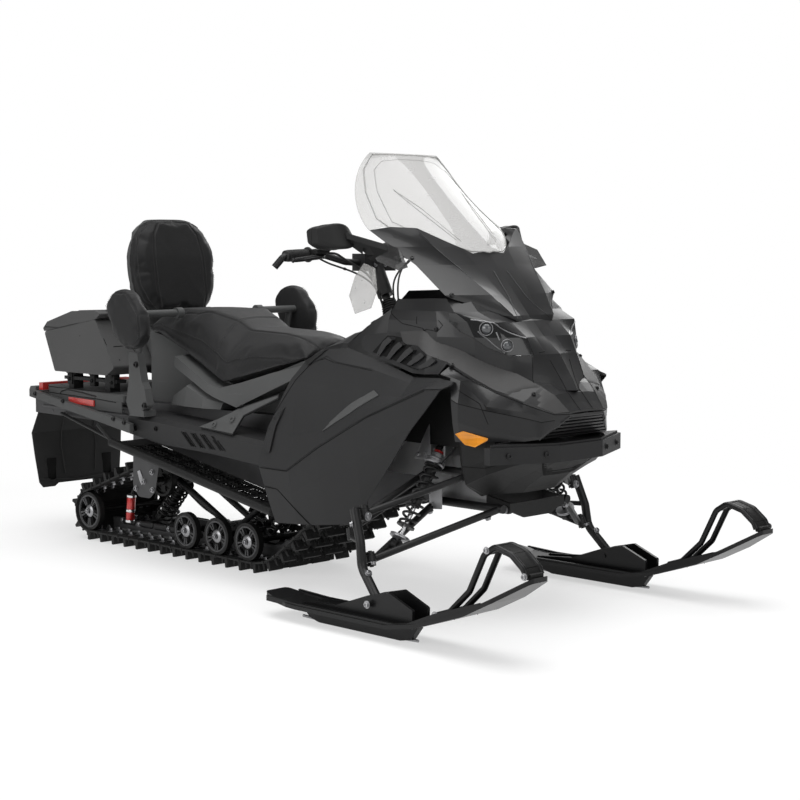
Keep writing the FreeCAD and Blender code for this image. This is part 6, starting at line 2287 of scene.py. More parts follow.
@dataclass
class Boards:
    """Gripping rims round the boards' holes, edge plugs and rivets along the tunnel.

    Everything is in millimetres. rear and front are the boards' ends, as Y and Z. first_hole is
    the first hole's place from the inner edge and the rear end, and hole_steps the steps from
    there. Each rib has its start, its end and its height.
    """

    rear: tuple[float, float] = (690.0, 419.0)
    front: tuple[float, float] = (-171.0, 264.0)
    inner: float = 209.5
    first_hole: tuple[float, float] = (40, 110)
    hole_steps: tuple[float, float] = (52, 80)
    holes: tuple[int, int] = (2, 9)
    rib_rows: tuple[Point, ...] = ((800, 1330, 497), (790, 1150, 525), (1180, 1340, 525))
    rib_half: float = 5

    def place(self) -> Matrix:
        """The boards' lean and place, as the CAD gives them."""
        lean = math.atan2(self.rear[1] - self.front[1], self.rear[0] - self.front[0])
        return Matrix.Translation(mm(0, *self.rear)) @ Matrix.Rotation(lean, 4, "X")

    def rims(self) -> bpy.types.Object:
        """The serrated rim of each grip hole on the near board.

        Returns:
            The joined rims of every hole.
        """
        teeth = [Workshop.plate([mm(sign * 17.5, middle + y, z)
                                 for y, z in ((-6, 0), (6, 0), (3, 7), (-3, 7))],
                                mm(sign * 1.8, 0, 0), "board_teeth", 0.0004, segments=1)
                 for sign in (-1, 1) for middle in (-18, 0, 18)]
        lip_corners = [mm(x, y, 0.2) for x, y in ((-21, -32), (21, -32), (21, 32), (-21, 32))]
        lip = Workshop.plate(lip_corners, mm(0, 0, 2.2), "board_lip", 0.0008)
        Workshop.pick_faces(lip, lambda face: abs(face.normal.z) > 0.9 and face.area > 0.001)
        bpy.ops.mesh.inset(thickness=0.0042, depth=0)
        bpy.ops.mesh.delete(type="FACE")
        bpy.ops.object.mode_set(mode="OBJECT")
        Workshop.modify(lip, "SOLIDIFY", thickness=0.001, offset=-1)
        corners = [mm(x, y, -9) for x, y in ((-22, -34), (22, -34), (22, 34), (-22, 34))]
        tray = Workshop.plate(corners, mm(0, 0, 3), "board_tray", 0.0006, 0.006, 0.0012)
        bars = [Workshop.block(mm(-18, y - 1.6, -6), mm(18, y + 1.6, -1), "board_bars", 0.0008)
                for y in (-20, -7, 7, 20)]
        made = Workshop.join([lip, tray] + teeth + bars, "board_teeth")
        (x, y), (across, along) = self.first_hole, self.hole_steps
        moves = [self.place() @ Matrix.Translation(mm(-(self.inner + x + across * column),
                                                      -y - along * row, 0))
                 for column in range(self.holes[0]) for row in range(self.holes[1])]
        return Workshop.copies(made, moves)

    def rivets(self) -> bpy.types.Object:
        """Rivets along the tunnel's near side and over its rear.

        Returns:
            The joined rivets.
        """
        profile = [(0, 0.0052), (0.5, 0.0048), (1, 0.0025)]
        master = Workshop.lathe(mm(-209, 0, 0), mm(-211.4, 0, 0), profile, "tunnel_rivets", 12)
        spots = [(y, 512) for y in range(760, 1360, 60)] + [(y, 480) for y in range(820, 1360, 90)]
        return Workshop.copies(master, [Matrix.Translation(mm(0, y, z)) for y, z in spots])

    def ribs(self) -> bpy.types.Object:
        """The long pressed ribs in the tunnel's near side.

        Returns:
            The joined ribs.
        """
        half, ribs = self.rib_half, []
        for start, end, z in self.rib_rows:
            outline = ((start, z - half), (end, z - half), (end + half * 2, z), (end, z + half),
                       (start, z + half), (start - half * 2, z))
            ribs.append(Workshop.plate([mm(-208.8, *p) for p in outline], mm(-3, 0, 0),
                                       "tunnel_ribs", 0.0014))
        return Workshop.join(ribs, "tunnel_ribs")

    def plugs(self) -> bpy.types.Object:
        """The end plug of the near edge tube.

        Returns:
            The plug.
        """
        start, end = (self.place() @ mm(-356, y, -3) for y in (-1, 9))
        profile = [(0, 0.0135), (0.4, 0.0135), (0.8, 0.011), (1, 0.006)]
        return Workshop.lathe(start, end, profile, "board_plug")

    def build(self) -> None:
        """Adds all of them."""
        mirror_pair(self.rims, Finishes.black, "panel_plastic")
        mirror_pair(self.rivets, Finishes.dark_alloy, "dark_alloy")
        mirror_pair(self.ribs, Finishes.dark_alloy, "dark_alloy")
        mirror_pair(self.plugs, Finishes.grip, "grip_rubber")
# ---------------------------------------------------------------- bodywork


@dataclass
class HoodDress:
    """The grey band on each side of the hood, its joints, the side vents and the louvre beds."""

    pieces: tuple[Laid, ...] = (
        Band("hood_band", "hood", Finishes.stripe, "stripe_grey", 0.0014, 6,
             ((-79, -1165, 634), (-95, -1120, 681), (-141, -1018, 739), (-180, -945, 769),
              (-209, -886, 806), (-240, -808, 838), (-262, -752, 861), (-266, -660, 856)),
             ((-121, -1146, 631), (-150, -1120, 646), (-238, -1018, 697), (-278, -945, 741),
              (-301, -886, 776), (-304, -808, 794), (-286, -752, 818), (-283, -690, 820))),
        Beads("hood_joints", "hood", Finishes.dark_joint_and_shadow, "panel_plastic", 0.0011, (
            ((-240, -567, 926), (-200, -621, 973), (-228, -752, 932), (-258, -822, 880),
             (-268, -808, 861), (-262, -660, 880), (-240, -567, 926)),
            ((-50, -1044, 802), (-32, -1093, 722), (-30, -1166, 636)),
            ((-50, -1044, 802), (-102, -1040, 795), (-122, -1066, 720)),
            ((-215, -700, 955), (-262, -720, 880)))),
        Band("louvre_bed", "hood", Finishes.dark_joint_and_shadow, "panel_plastic", 0.0012, 4,
             ((-272, -612, 842), (-276, -700, 838), (-284, -780, 816), (-300, -850, 792)),
             ((-287, -560, 790), (-292, -640, 776), (-302, -740, 752), (-314, -816, 742))),
        Beads("hood_screws", "hood", Finishes.steel, "black_steel", head=0.0058, spots=(
            (-262, -800, 868), (-235, -590, 925), (-300, -905, 770), (-150, -1092, 690))),
    )

    def build(self) -> None:
        """Adds all of them."""
        for piece in self.pieces:
            piece.build()


@dataclass
class Headlights:
    """Projectors, their bezels and the lamp housing behind each clear lens.

    lamps gives each projector's place and radius in millimetres, glass its turned profile as
    shares of its depth and of its radius.
    """

    lamps: tuple[tuple[float, float, float, float], ...] = (
        (-206, -951, 872, 23), (-158, -992, 822, 21))
    glass: tuple[tuple[float, float], ...] = (
        (0, 0.72), (0.45, 0.72), (0.7, 0.62), (0.9, 0.38), (1, 0.08))
    ring: float = 0.86
    housing: Laid = Beads("lamp_frames", "headlights", Finishes.bezel, "alloy", 0.0022, (
        ((-248, -925, 914), (-205, -950, 902), (-182, -975, 882), (-104, -1020, 844)),
        ((-228, -935, 864), (-190, -975, 818), (-160, -992, 798), (-100, -1036, 798)),
        ((-184, -972, 862), (-178, -980, 838))))

    def seats(self) -> list[tuple[Vector, Vector, float]]:
        """Each projector's place on the lens, the way out of it, and its radius in metres."""
        lens = Shell.of("headlights")
        return [(*lens.near(mm(x, y, z)), radius * MM) for x, y, z, radius in self.lamps]

    def projectors(self) -> bpy.types.Object:
        """The round glass projectors of the right headlight.

        Returns:
            The joined projectors.
        """
        parts = []
        for spot, out, radius in self.seats():
            profile = [(share, radius * width) for share, width in self.glass]
            parts.append(Workshop.lathe(spot - out * 0.010, spot + out * 0.006, profile,
                                        "projectors", 32))
        return Workshop.join(parts, "projectors")

    def bezels(self) -> bpy.types.Object:
        """The polished rings round the projectors.

        Returns:
            The joined rings.
        """
        parts = []
        for spot, out, radius in self.seats():
            side = out.orthogonal().normalized()
            other = out.cross(side)
            turns = [math.tau * i / 32 for i in range(33)]
            ring = [spot + out * 0.0015
                    + (side * math.cos(t) + other * math.sin(t)) * radius * self.ring
                    for t in turns]
            parts.append(Workshop.tube(ring, 0.0016, "projector_bezels", 8, smooth=False))
        return Workshop.join(parts, "projector_bezels")

    def build(self) -> None:
        """Adds all of them."""
        mirror_pair(self.projectors, Finishes.glass, "lamp_lens")
        mirror_pair(self.bezels, Finishes.bezel, "alloy")
        self.housing.build()


@dataclass
class NoseDress:
    """Joints, grille frame, lower intake, reflector lenses and bumper pads."""

    frame_line: Laid = Beads(
        "grille_frame", "nose_cowl", Finishes.gloss, "gloss_black", 0.0036,
        (((-78, -1165, 621), (-150, -1112, 562), (150, -1112, 562), (78, -1165, 621)),),
        paired=False)
    across: tuple[float, ...] = (-1, -0.5, 0, 0.5, 1)
    slats: int = 6
    joint: float = 0.0011
    cowl_lines: tuple[Sequence[Point], ...] = (
        ((-345, -893, 690), (-330, -955, 660), (-264, -1018, 637), (-192, -1085, 618),
         (-152, -1120, 605), (-120, -1145, 610)),
        ((-330, -955, 700), (-285, -1000, 660), (-266, -1016, 600)))
    pan_line: Sequence[Point] = ((-276, -925, 470), (-262, -1000, 470), (-214, -1061, 490),
                                 (-134, -1099, 500))
    pads: Laid = Beads("bumper_bolts", "front_bumper", Finishes.steel, "black_steel", head=0.008,
                       spots=((-250, -1080, 512), (-140, -1130, 512)))
    lens_corners: tuple[Point, ...] = (
        (-331, -946, 572), (-315, -963, 581), (-267, -1017, 560), (-268, -1016, 554),
        (-292, -989, 534), (-312, -967, 541))

    def row(self, half: float, y: float, z: float) -> list[Point]:
        """Points across the machine, half to each side, in millimetres."""
        return [(x * half, y, z) for x in self.across]

    def intake(self) -> None:
        """Adds the lower intake's slats over a dark bed, a painted shadow inside the intake."""
        # painted shadow: a dark bed behind the intake's slats
        Band("intake_bed", "belly_pan", Finishes.dark_joint_and_shadow, "panel_plastic", 0.0010, 6,
             self.row(128, -1103, 490), self.row(72, -1062, 436), paired=False).build()
        shares = [i / (self.slats - 1) for i in range(self.slats)]
        rows = tuple(self.row(122 - 52 * share, -1103 + 38 * share, 485 - 45 * share)
                     for share in shares)
        Beads("lower_intake", "belly_pan", Finishes.panel, "panel_plastic", 0.0028, rows,
              paired=False).build()

    def joints(self) -> bpy.types.Object:
        """The cowl's crease joint and the pan's joint on the near side.

        Returns:
            The joined joints.
        """
        cowl, pan = Shell.of("nose_cowl"), Shell.of("belly_pan")
        parts = [cowl.strip(line, self.joint, "cowl_joint") for line in self.cowl_lines]
        parts.append(pan.strip(self.pan_line, self.joint, "pan_joint"))
        return Workshop.join(parts, "nose_joints")

    def lens(self, side: Side) -> bpy.types.Object:
        """One side's six-cornered amber lens, raised in the middle.

        Args:
            side: The rider's side.

        Returns:
            The lens.
        """
        points = [mm(-side.value * x, y, z) for x, y, z in self.lens_corners]
        return Workshop.plate(points, mm(side.value * 3.6, -3.4, 0), "reflector_lenses", 0.0012,
                              0.004, -0.0015)

    def build(self) -> None:
        """Adds all of them."""
        self.frame_line.build()
        self.intake()
        mirror_pair(self.joints, Finishes.dark_joint_and_shadow, "panel_plastic")
        self.pads.build()
        lenses = Workshop.join([self.lens(side) for side in Side], "reflector_lenses")
        Workshop.dress(lenses, Finishes.amber, Body.CHASSIS, "amber_lens")
        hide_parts("side_reflectors")


@dataclass
class ScreenDress:
    """The clear screen's rim step and spear creases, the side deflectors and the mirrors' glass.

    rim_line runs from the middle of the screen's foot, up its right edge, to the middle of its top.
    """

    rim_line: tuple[Point, ...] = (
        (0, -786, 1098), (-72, -770, 1096), (-150, -740, 1134), (-225, -700, 1172),
        (-262, -640, 1178),
        (-268, -560, 1210), (-236, -480, 1290), (-196, -430, 1352), (-146, -414, 1398),
        (-70, -420, 1399), (0, -424, 1399))
    inner: Laid = Beads(
        "screen_creases", "windshield", Finishes.screen_rim, "clear_screen", 0.0013, mirrored_lines(
            ((-215, -690, 1186), (-240, -600, 1200), (-205, -500, 1290), (-165, -445, 1350),
             (-120, -430, 1374), (0, -436, 1378)),
            ((-96, -735, 1142), (-128, -650, 1218), (-166, -540, 1312), (-122, -620, 1246),
             (-80, -740, 1132))), paired=False)
    shield_edge: Sequence[Point] = ((-230, -704, 1147), (-150, -850, 1010), (-92, -960, 908))
    shield_ridge: Sequence[Point] = ((-72, -966, 900), (-40, -900, 960), (-30, -820, 1040))
    shield_bolts: tuple[Point, ...] = ((-262, -705, 1080), (-232, -840, 968), (-280, -600, 1150))
    smoked: tuple[tuple[float, float], ...] = (
        (-560, 1104), (-600, 1066), (-700, 1040), (-742, 1050), (-706, 1100), (-640, 1124))
    lobe_outline: tuple[tuple[float, float], ...] = (
        (-500, 905), (-470, 960), (-500, 1020), (-545, 1060), (-600, 1046), (-610, 980),
        (-580, 925))
    mirror_outline: tuple[tuple[float, float], ...] = (
        (-352, 1112), (-456, 1124), (-458, 1156), (-404, 1170), (-352, 1156))
    mirror_joint: Laid = Beads("mirror_joint", "mirrors", Finishes.black, "panel_plastic", 0.0013, (
        ((-346, -500, 1164), (-400, -500, 1177), (-462, -478, 1163), (-462, -478, 1120),
         (-400, -500, 1102), (-346, -500, 1112)),), 0.007, ((-372, -560, 1130),))

    def rim(self) -> Laid:
        """The thicker rim round the clear screen.

        Returns:
            The rim, ready to be built.
        """
        back = [(-x, y, z) for x, y, z in reversed(self.rim_line[:-1])]
        return Beads("screen_rim", "windshield", Finishes.screen_rim, "clear_screen", 0.0024,
                     ([*self.rim_line, *back],), paired=False)

    def creases(self) -> bpy.types.Object:
        """The black shield's long creases and its screws.

        Returns:
            The joined creases.
        """
        shell = Shell.of("windshield_base")
        parts = [shell.strip(self.shield_edge, 0.0016, "shield_creases"),
                 shell.strip(self.shield_ridge, 0.0012, "shield_creases")]
        parts += [shell.bolt(spot, 0.006) for spot in self.shield_bolts]
        return Workshop.join(parts, "shield_creases")

    def deflector(self) -> bpy.types.Object:
        """The smoked side deflector below the near mirror."""
        corners = [mm(-292 + (y + 560) * 0.10 - 6, y, z) for y, z in self.smoked]
        return Workshop.plate(corners, mm(-3, 0, 0), "side_deflector", 0.0012)

    def lobe(self) -> bpy.types.Object:
        """The low clear deflector beside the console."""
        corners = [mm(-300 + (y + 500) * 0.12, y, z) for y, z in self.lobe_outline]
        return Workshop.plate(corners, mm(-3, 0, 0), "low_deflector", 0.0012)

    def mirror_glass(self) -> bpy.types.Object:
        """The mirror's glass in its rim, facing the rider."""
        corners = [mm(x, -462 + (abs(x) - 352) * 0.02, z) for x, z in reversed(self.mirror_outline)]
        return Workshop.plate(corners, mm(0, 7, 1), "mirror_glass", 0.001, 0.004, 0.0015)

    def build(self) -> None:
        """Adds all of them."""
        self.rim().build()
        self.inner.build()
        mirror_pair(self.creases, Finishes.gloss, "gloss_black")
        mirror_pair(self.deflector, Finishes.smoke, "clear_screen")
        mirror_pair(self.lobe, Finishes.screen, "clear_screen")
        mirror_pair(self.mirror_glass, Finishes.chrome, "alloy")
        self.mirror_joint.build()


@dataclass
class SidePanels:
    """The side panels' ridges, latches, screws, raised rear strip and a painted highlight along a
    bevel.
    """

    pieces: tuple[Laid, ...] = (
        Band("panel_strip", "side_panel_right", Finishes.panel, "panel_plastic", 0.003, 3,
             ((-322, -304, 742), (-352, -262, 672), (-385, -208, 556), (-400, -188, 470)),
             ((-330, -330, 728), (-362, -292, 660), (-392, -236, 548), (-404, -218, 462))),
        # painted highlight: a lighter grey band along the panel's bevel
        Band("panel_blade", "side_panel_right", Finishes.grey, "panel_grey", 0.0028, 3,
             ((-398, -470, 560), (-388, -560, 640), (-372, -640, 690)),
             ((-404, -462, 548), (-398, -570, 612), (-376, -668, 676))),
        Beads("panel_joints", "side_panel_right", Finishes.dark_joint_and_shadow, "panel_plastic", 0.0013, (
            ((-405, -172, 411), (-412, -304, 412), (-412, -441, 494), (-408, -653, 604),
             (-390, -878, 697)),
            ((-400, -188, 350), (-398, -243, 347), (-370, -375, 236)),
            ((-385, -215, 556), (-322, -330, 742), (-318, -380, 766), (-322, -428, 752),
             (-325, -600, 736)),
            ((-408, -420, 484), (-400, -470, 520), (-362, -600, 664)))),
    )
    tab: tuple[tuple[float, float], ...] = (
        (-300, 752), (-318, 764), (-366, 792), (-356, 776), (-322, 742))

    def latch(self) -> bpy.types.Object:
        """The rubber pull latch at the panel's top corner, with its screws.

        Returns:
            The joined latch.
        """
        panel = Shell.of("side_panel_right")
        tab = panel.patch(self.tab, -460, "panel_latch", 0.006, 0.0016)
        screws = [panel.bolt((-330, -322, 752), 0.006), panel.bolt((-392, -222, 380), 0.007),
                  panel.bolt((-340, -900, 715), 0.006)]
        return Workshop.join([tab, *screws], "panel_latch")

    def build(self) -> None:
        """Adds all of them."""
        for piece in self.pieces:
            piece.build()
        mirror_pair(self.latch, Finishes.black, "panel_plastic")


# ---------------------------------------------------------------- cockpit


@dataclass
class BarControls:
    """Grips' ribs and flanges, levers, reservoirs, switch blocks, the hose and the stem's bolts.

    Places are in millimetres, and radii in metres.
    """

    grip_from: Point = (-244, -226.5, 1084.5)
    grip_to: Point = (-346, -228, 1080.5)
    grip_radius: float = 0.0182
    grip_ribs: int = 13
    lever_line: tuple[Point, ...] = (
        (-206, -258, 1078), (-226, -272, 1076), (-262, -277, 1073), (-302, -276, 1069),
        (-336, -272, 1066), (-348, -268, 1066))
    throttle_line: tuple[Point, ...] = (
        (232, -240, 1068), (242, -222, 1062), (262, -204, 1058), (284, -196, 1058))
    paddle: tuple[Point, ...] = (
        (262, -207, 1052), (294, -199, 1050), (298, -197, 1066), (264, -204, 1068))
    buttons: tuple[tuple[float, float, float, float], ...] = (
        (-232, -210, 1086, 5), (-216, -209, 1092, 4), (-214, -209, 1079, 4))
    hose_line: tuple[Point, ...] = (
        (-196, -262, 1088), (-172, -272, 1092), (-140, -282, 1070), (-100, -300, 1046),
        (-66, -326, 1014), (-44, -340, 968), (-34, -352, 916))
    wires: tuple[tuple[Point, ...], ...] = (
        ((-214, -244, 1072), (-186, -250, 1058), (-150, -262, 1046), (-104, -282, 1030),
         (-62, -306, 1006), (-34, -326, 972), (-24, -342, 922)),
        ((214, -244, 1072), (186, -250, 1056), (150, -262, 1042), (104, -284, 1026),
         (60, -308, 1000), (34, -328, 968), (26, -344, 922)),
        ((232, -246, 1076), (196, -268, 1084), (150, -286, 1062), (100, -304, 1038),
         (60, -328, 1004), (40, -344, 960), (34, -356, 918)))
    boot_folds: int = 7
    clamp: Laid = Beads(
        "clamp_bolts", "handlebar", Finishes.zinc, "black_steel", head=0.006, spots=(
            (-22, -300, 1052), (22, -300, 1052), (-22, -272, 1060), (22, -272, 1060)),
        body=Body.STEERING, paired=False)

    def grips(self) -> bpy.types.Object:
        """The grip's ribs, its inner flange and end plug.

        Returns:
            The turned grip.
        """
        shares = [(0.0, 0.75), (0.01, 1.35), (0.05, 1.35), (0.07, 0.9)]
        for i in range(self.grip_ribs):
            start = 0.10 + i * 0.062
            shares += [(start, 0.96), (start + 0.012, 1.05), (start + 0.034, 1.05),
                       (start + 0.046, 0.96)]
        shares += [(0.93, 1.0), (0.985, 0.98), (1.0, 0.7)]
        profile = [(share, self.grip_radius * width) for share, width in shares]
        return Workshop.lathe(mm(*self.grip_from), mm(*self.grip_to), profile, "grip_ribs", 28)

    def lever(self) -> bpy.types.Object:
        """The brake lever's blade ahead of the near grip.

        Returns:
            The joined lever.
        """
        blade = Workshop.tube([mm(*p) for p in self.lever_line], 0.0052, "lever", 10)
        knob = Workshop.lathe(mm(-344, -270, 1066), mm(-352, -267, 1066),
                              [(0, 0.0045), (0.3, 0.0068), (0.7, 0.0068), (1, 0.004)], "lever", 14)
        pivot = Workshop.bolt(mm(-210, -262, 1084), mm(0, 0, 1), 0.0062, 0.004)
        return Workshop.join([blade, knob, pivot], "brake_lever")

    def throttle(self) -> bpy.types.Object:
        """The thumb lever of the far grip.

        Returns:
            The joined lever.
        """
        corners = [mm(*p) for p in self.paddle]
        paddle = Workshop.plate(corners, mm(0, 5, 0), "throttle", 0.0016)
        arm = Workshop.tube([mm(*p) for p in self.throttle_line], 0.0048, "throttle", 8)
        return Workshop.join([arm, paddle], "throttle_lever")

    def reservoir(self) -> bpy.types.Object:
        """The brake fluid's reservoir with its cap's two screws.

        Returns:
            The joined reservoir.
        """
        base = Workshop.block(mm(-252, -276, 1086), mm(-196, -240, 1099), "reservoir", 0.003)
        cap = Workshop.block(mm(-254, -278, 1096), mm(-194, -238, 1101), "reservoir", 0.0014)
        screws = [Workshop.bolt(mm(x, -258, 1100.5), mm(0, 0, 1), 0.003, 0.0016)
                  for x in (-244, -204)]
        return Workshop.join([base, cap, *screws], "reservoir")

    def switches(self) -> bpy.types.Object:
        """The switch block's buttons on each side's inner end.

        Returns:
            The joined buttons.
        """
        parts = []
        for x, y, z, radius in self.buttons:
            profile = [(share, radius * width * MM)
                       for share, width in ((0, 1), (0.6, 1), (0.9, 0.8), (1, 0.4))]
            parts.append(Workshop.lathe(mm(x, y, z), mm(x, y + 7, z), profile, "switches", 14))
        return Workshop.join(parts, "switches")

    def stop_button(self) -> bpy.types.Object:
        """The far side's round engine stop."""
        profile = [(0, 0.005), (0.4, 0.006), (0.5, 0.010), (0.85, 0.010), (1, 0.007)]
        return Workshop.lathe(mm(226, -212, 1090), mm(226, -201, 1090), profile, "stop_button", 20)

    def hose(self) -> bpy.types.Object:
        """The brake hose from the reservoir down to the stem."""
        return Workshop.tube([mm(*p) for p in self.hose_line], 0.0038, "brake_hose", 8)

    def loom(self) -> bpy.types.Object:
        """The wires from both switch blocks to the stem, with their ties.

        Returns:
            The joined wires.
        """
        parts = [Workshop.tube([mm(*p) for p in run], 0.0031, "bar_loom", 8) for run in self.wires]
        for run in self.wires[:2]:
            a, b = mm(*run[2]), mm(*run[3])
            parts.append(Workshop.rod(a.lerp(b, 0.4), a.lerp(b, 0.55), 0.0046, "bar_loom", 14))
        return Workshop.join(parts, "bar_loom")

    def boot(self) -> bpy.types.Object:
        """The rubber bellows round the foot of the steering post.

        Returns:
            The turned bellows.
        """
        profile = []
        for i in range(self.boot_folds):
            share = i / (self.boot_folds - 1)
            radius = 0.034 - 0.010 * share
            profile += [(max(0.0, share - 0.045), radius * 0.86),
                        (min(1.0, share + 0.03), radius)]
        return Workshop.lathe(mm(0, -362, 893), mm(0, -341, 935), profile, "post_boot", 28)

    def build(self) -> None:
        """Adds all of them to the steering head."""
        mirror_pair(self.grips, Finishes.grip, "grip_rubber", Body.STEERING)
        mirror_pair(self.switches, Finishes.black, "panel_plastic", Body.STEERING)
        for make, finish, slot in ((self.lever, Finishes.steel, "black_steel"),
                                   (self.throttle, Finishes.black, "panel_plastic"),
                                   (self.reservoir, Finishes.black, "panel_plastic"),
                                   (self.stop_button, Finishes.shock, "shock_red"),
                                   (self.hose, Finishes.grip, "grip_rubber"),
                                   (self.loom, Finishes.grip, "grip_rubber"),
                                   (self.boot, Finishes.grip, "grip_rubber")):
            Workshop.dress(make(), finish, Body.STEERING, slot)
        self.clamp.build()


@dataclass
class Dash:
    """The gauge with its hood, the dash's joints, its knobs and the tank's cap.

    turned gives each knob's place, radius and height in millimetres.
    """

    gauge_corners: tuple[Point, ...] = (
        (-92, -560, 905), (92, -560, 905), (104, -500, 905), (60, -462, 905), (-60, -462, 905),
        (-104, -500, 905))
    joints: Laid = Beads("dash_joints", "console", Finishes.dark_joint_and_shadow, "panel_plastic", 0.0012, (
        ((-200, -300, 848), (-202, -388, 898), (-150, -470, 930)),
        ((-150, -336, 897), (-60, -300, 880), (60, -300, 880), (150, -336, 897)),
        ((200, -300, 848), (202, -388, 898), (150, -470, 930))), paired=False)
    turned: tuple[tuple[Point, float, float], ...] = (
        ((-120, -360, 905), 9, 9), ((120, -360, 905), 9, 9), ((0, -230, 850), 33, 12))

    def gauge(self) -> bpy.types.Object:
        """The wide gauge's glass in a raised rim.

        Returns:
            The gauge.
        """
        console = Shell.of("console")
        spots = [console.near(mm(*p))[0] for p in self.gauge_corners]
        centre = sum(spots, Vector()) / len(spots)
        up = console.near(centre)[1]
        flat = [p - up * (p - centre).dot(up) - up * 0.002 for p in spots]
        return Workshop.plate(flat, up * 0.010, "gauge", 0.0016, 0.006, 0.003)

    def knobs(self) -> bpy.types.Object:
        """The key barrel and two switches on the dash, and the fuel cap's grip.

        Returns:
            The joined knobs.
        """
        parts = []
        for place, radius, height in self.turned:
            spot, out = Shell.of("console").near(mm(*place))
            profile = [(share, radius * MM * width)
                       for share, width in ((0, 1.15), (0.3, 1.15), (0.36, 1), (0.9, 1), (1, 0.8))]
            parts.append(Workshop.lathe(spot - out * 0.003, spot + out * height * MM, profile,
                                        "dash_knobs", 24))
        return Workshop.join(parts, "dash_knobs")

    def build(self) -> None:
        """Adds all of them."""
        Workshop.dress(self.gauge(), Finishes.dial, Body.CHASSIS, "gloss_black")
        self.joints.build()
        Workshop.dress(self.knobs(), Finishes.black, Body.CHASSIS, "panel_plastic")


# ---------------------------------------------------------------- rear and luggage


@dataclass
class CargoDress:
    """The box's corner latches, feet clamps and ribs, and the lid's raised panel and lip.

    latches and clamps are along the box, in millimetres.
    """

    latch_at: tuple[float, ...] = (900, 1120)
    clamp_at: tuple[float, ...] = (862, 985, 1128)
    lines: tuple[Laid, ...] = (
        Beads("box_grooves", "cargo_box", Finishes.dark_joint_and_shadow, "panel_plastic", 0.0016, (
            ((-262, 812, 772), (-266, 1000, 780), (-262, 1215, 786)),
            ((-230, 800, 700), (-240, 900, 706), (-250, 1100, 706), (-240, 1215, 706)),
            ((-235, 799, 772), (-100, 796, 776), (100, 796, 776), (235, 799, 772)),
            ((-150, 797, 690), (-150, 796, 770))), paired=False),
        Beads("lid_ribs", "cargo_lid", Finishes.box, "box_grey", 0.0026, (
            ((-225, 895, 872), (-232, 1050, 876), (-220, 1205, 872), (0, 1212, 876),
             (220, 1205, 872), (232, 1050, 876), (225, 895, 872), (0, 888, 876), (-225, 895, 872)),
            ((-110, 915, 876), (-110, 1190, 876)),
            ((110, 915, 876), (110, 1190, 876))), body=Body.LID, paired=False),
        Beads("lid_lip", "cargo_lid", Finishes.grip, "grip_rubber", 0.0022, (
            ((-266, 1225, 806), (-268, 1050, 804), (-262, 872, 806), (-180, 862, 806),
             (180, 862, 806), (262, 872, 806), (268, 1050, 804), (266, 1225, 806)),),
            body=Body.LID, paired=False),
    )

    def latches(self) -> bpy.types.Object:
        """The box's side latches with their strikes.

        Returns:
            The joined latches.
        """
        parts = []
        for y in self.latch_at:
            spot, out = Shell.of("cargo_box").near(mm(-262, y, 800))
            low = spot - out * 0.001 + mm(0, 0, -36)
            corners = [low + mm(0, dy, dz) for dy, dz in ((-15, 0), (15, 0), (12, 44), (-12, 44))]
            parts.append(Workshop.plate(corners, out * 0.006, "box_latches", 0.0015, 0.003, 0.0012))
        return Workshop.join(parts, "box_latches")

    def clamps(self) -> bpy.types.Object:
        """The dark clamps that hold the box on its rack, with their knobs.

        Returns:
            The joined clamps.
        """
        parts = []
        for y in self.clamp_at:
            for low, high in ((mm(-228, y - 15, 592), mm(-206, y + 15, 650)),
                              (mm(-236, y - 11, 634), mm(-204, y + 11, 654))):
                parts.append(Workshop.block(low, high, "box_clamps", 0.003))
            parts.append(Workshop.bolt(mm(-228, y, 612), mm(-1, 0, 0), 0.007, 0.005))
        return Workshop.join(parts, "box_clamps")

    def build(self) -> None:
        """Adds all of them."""
        mirror_pair(self.latches, Finishes.black, "panel_plastic")
        mirror_pair(self.clamps, Finishes.black, "panel_plastic")
        for piece in self.lines:
            piece.build()


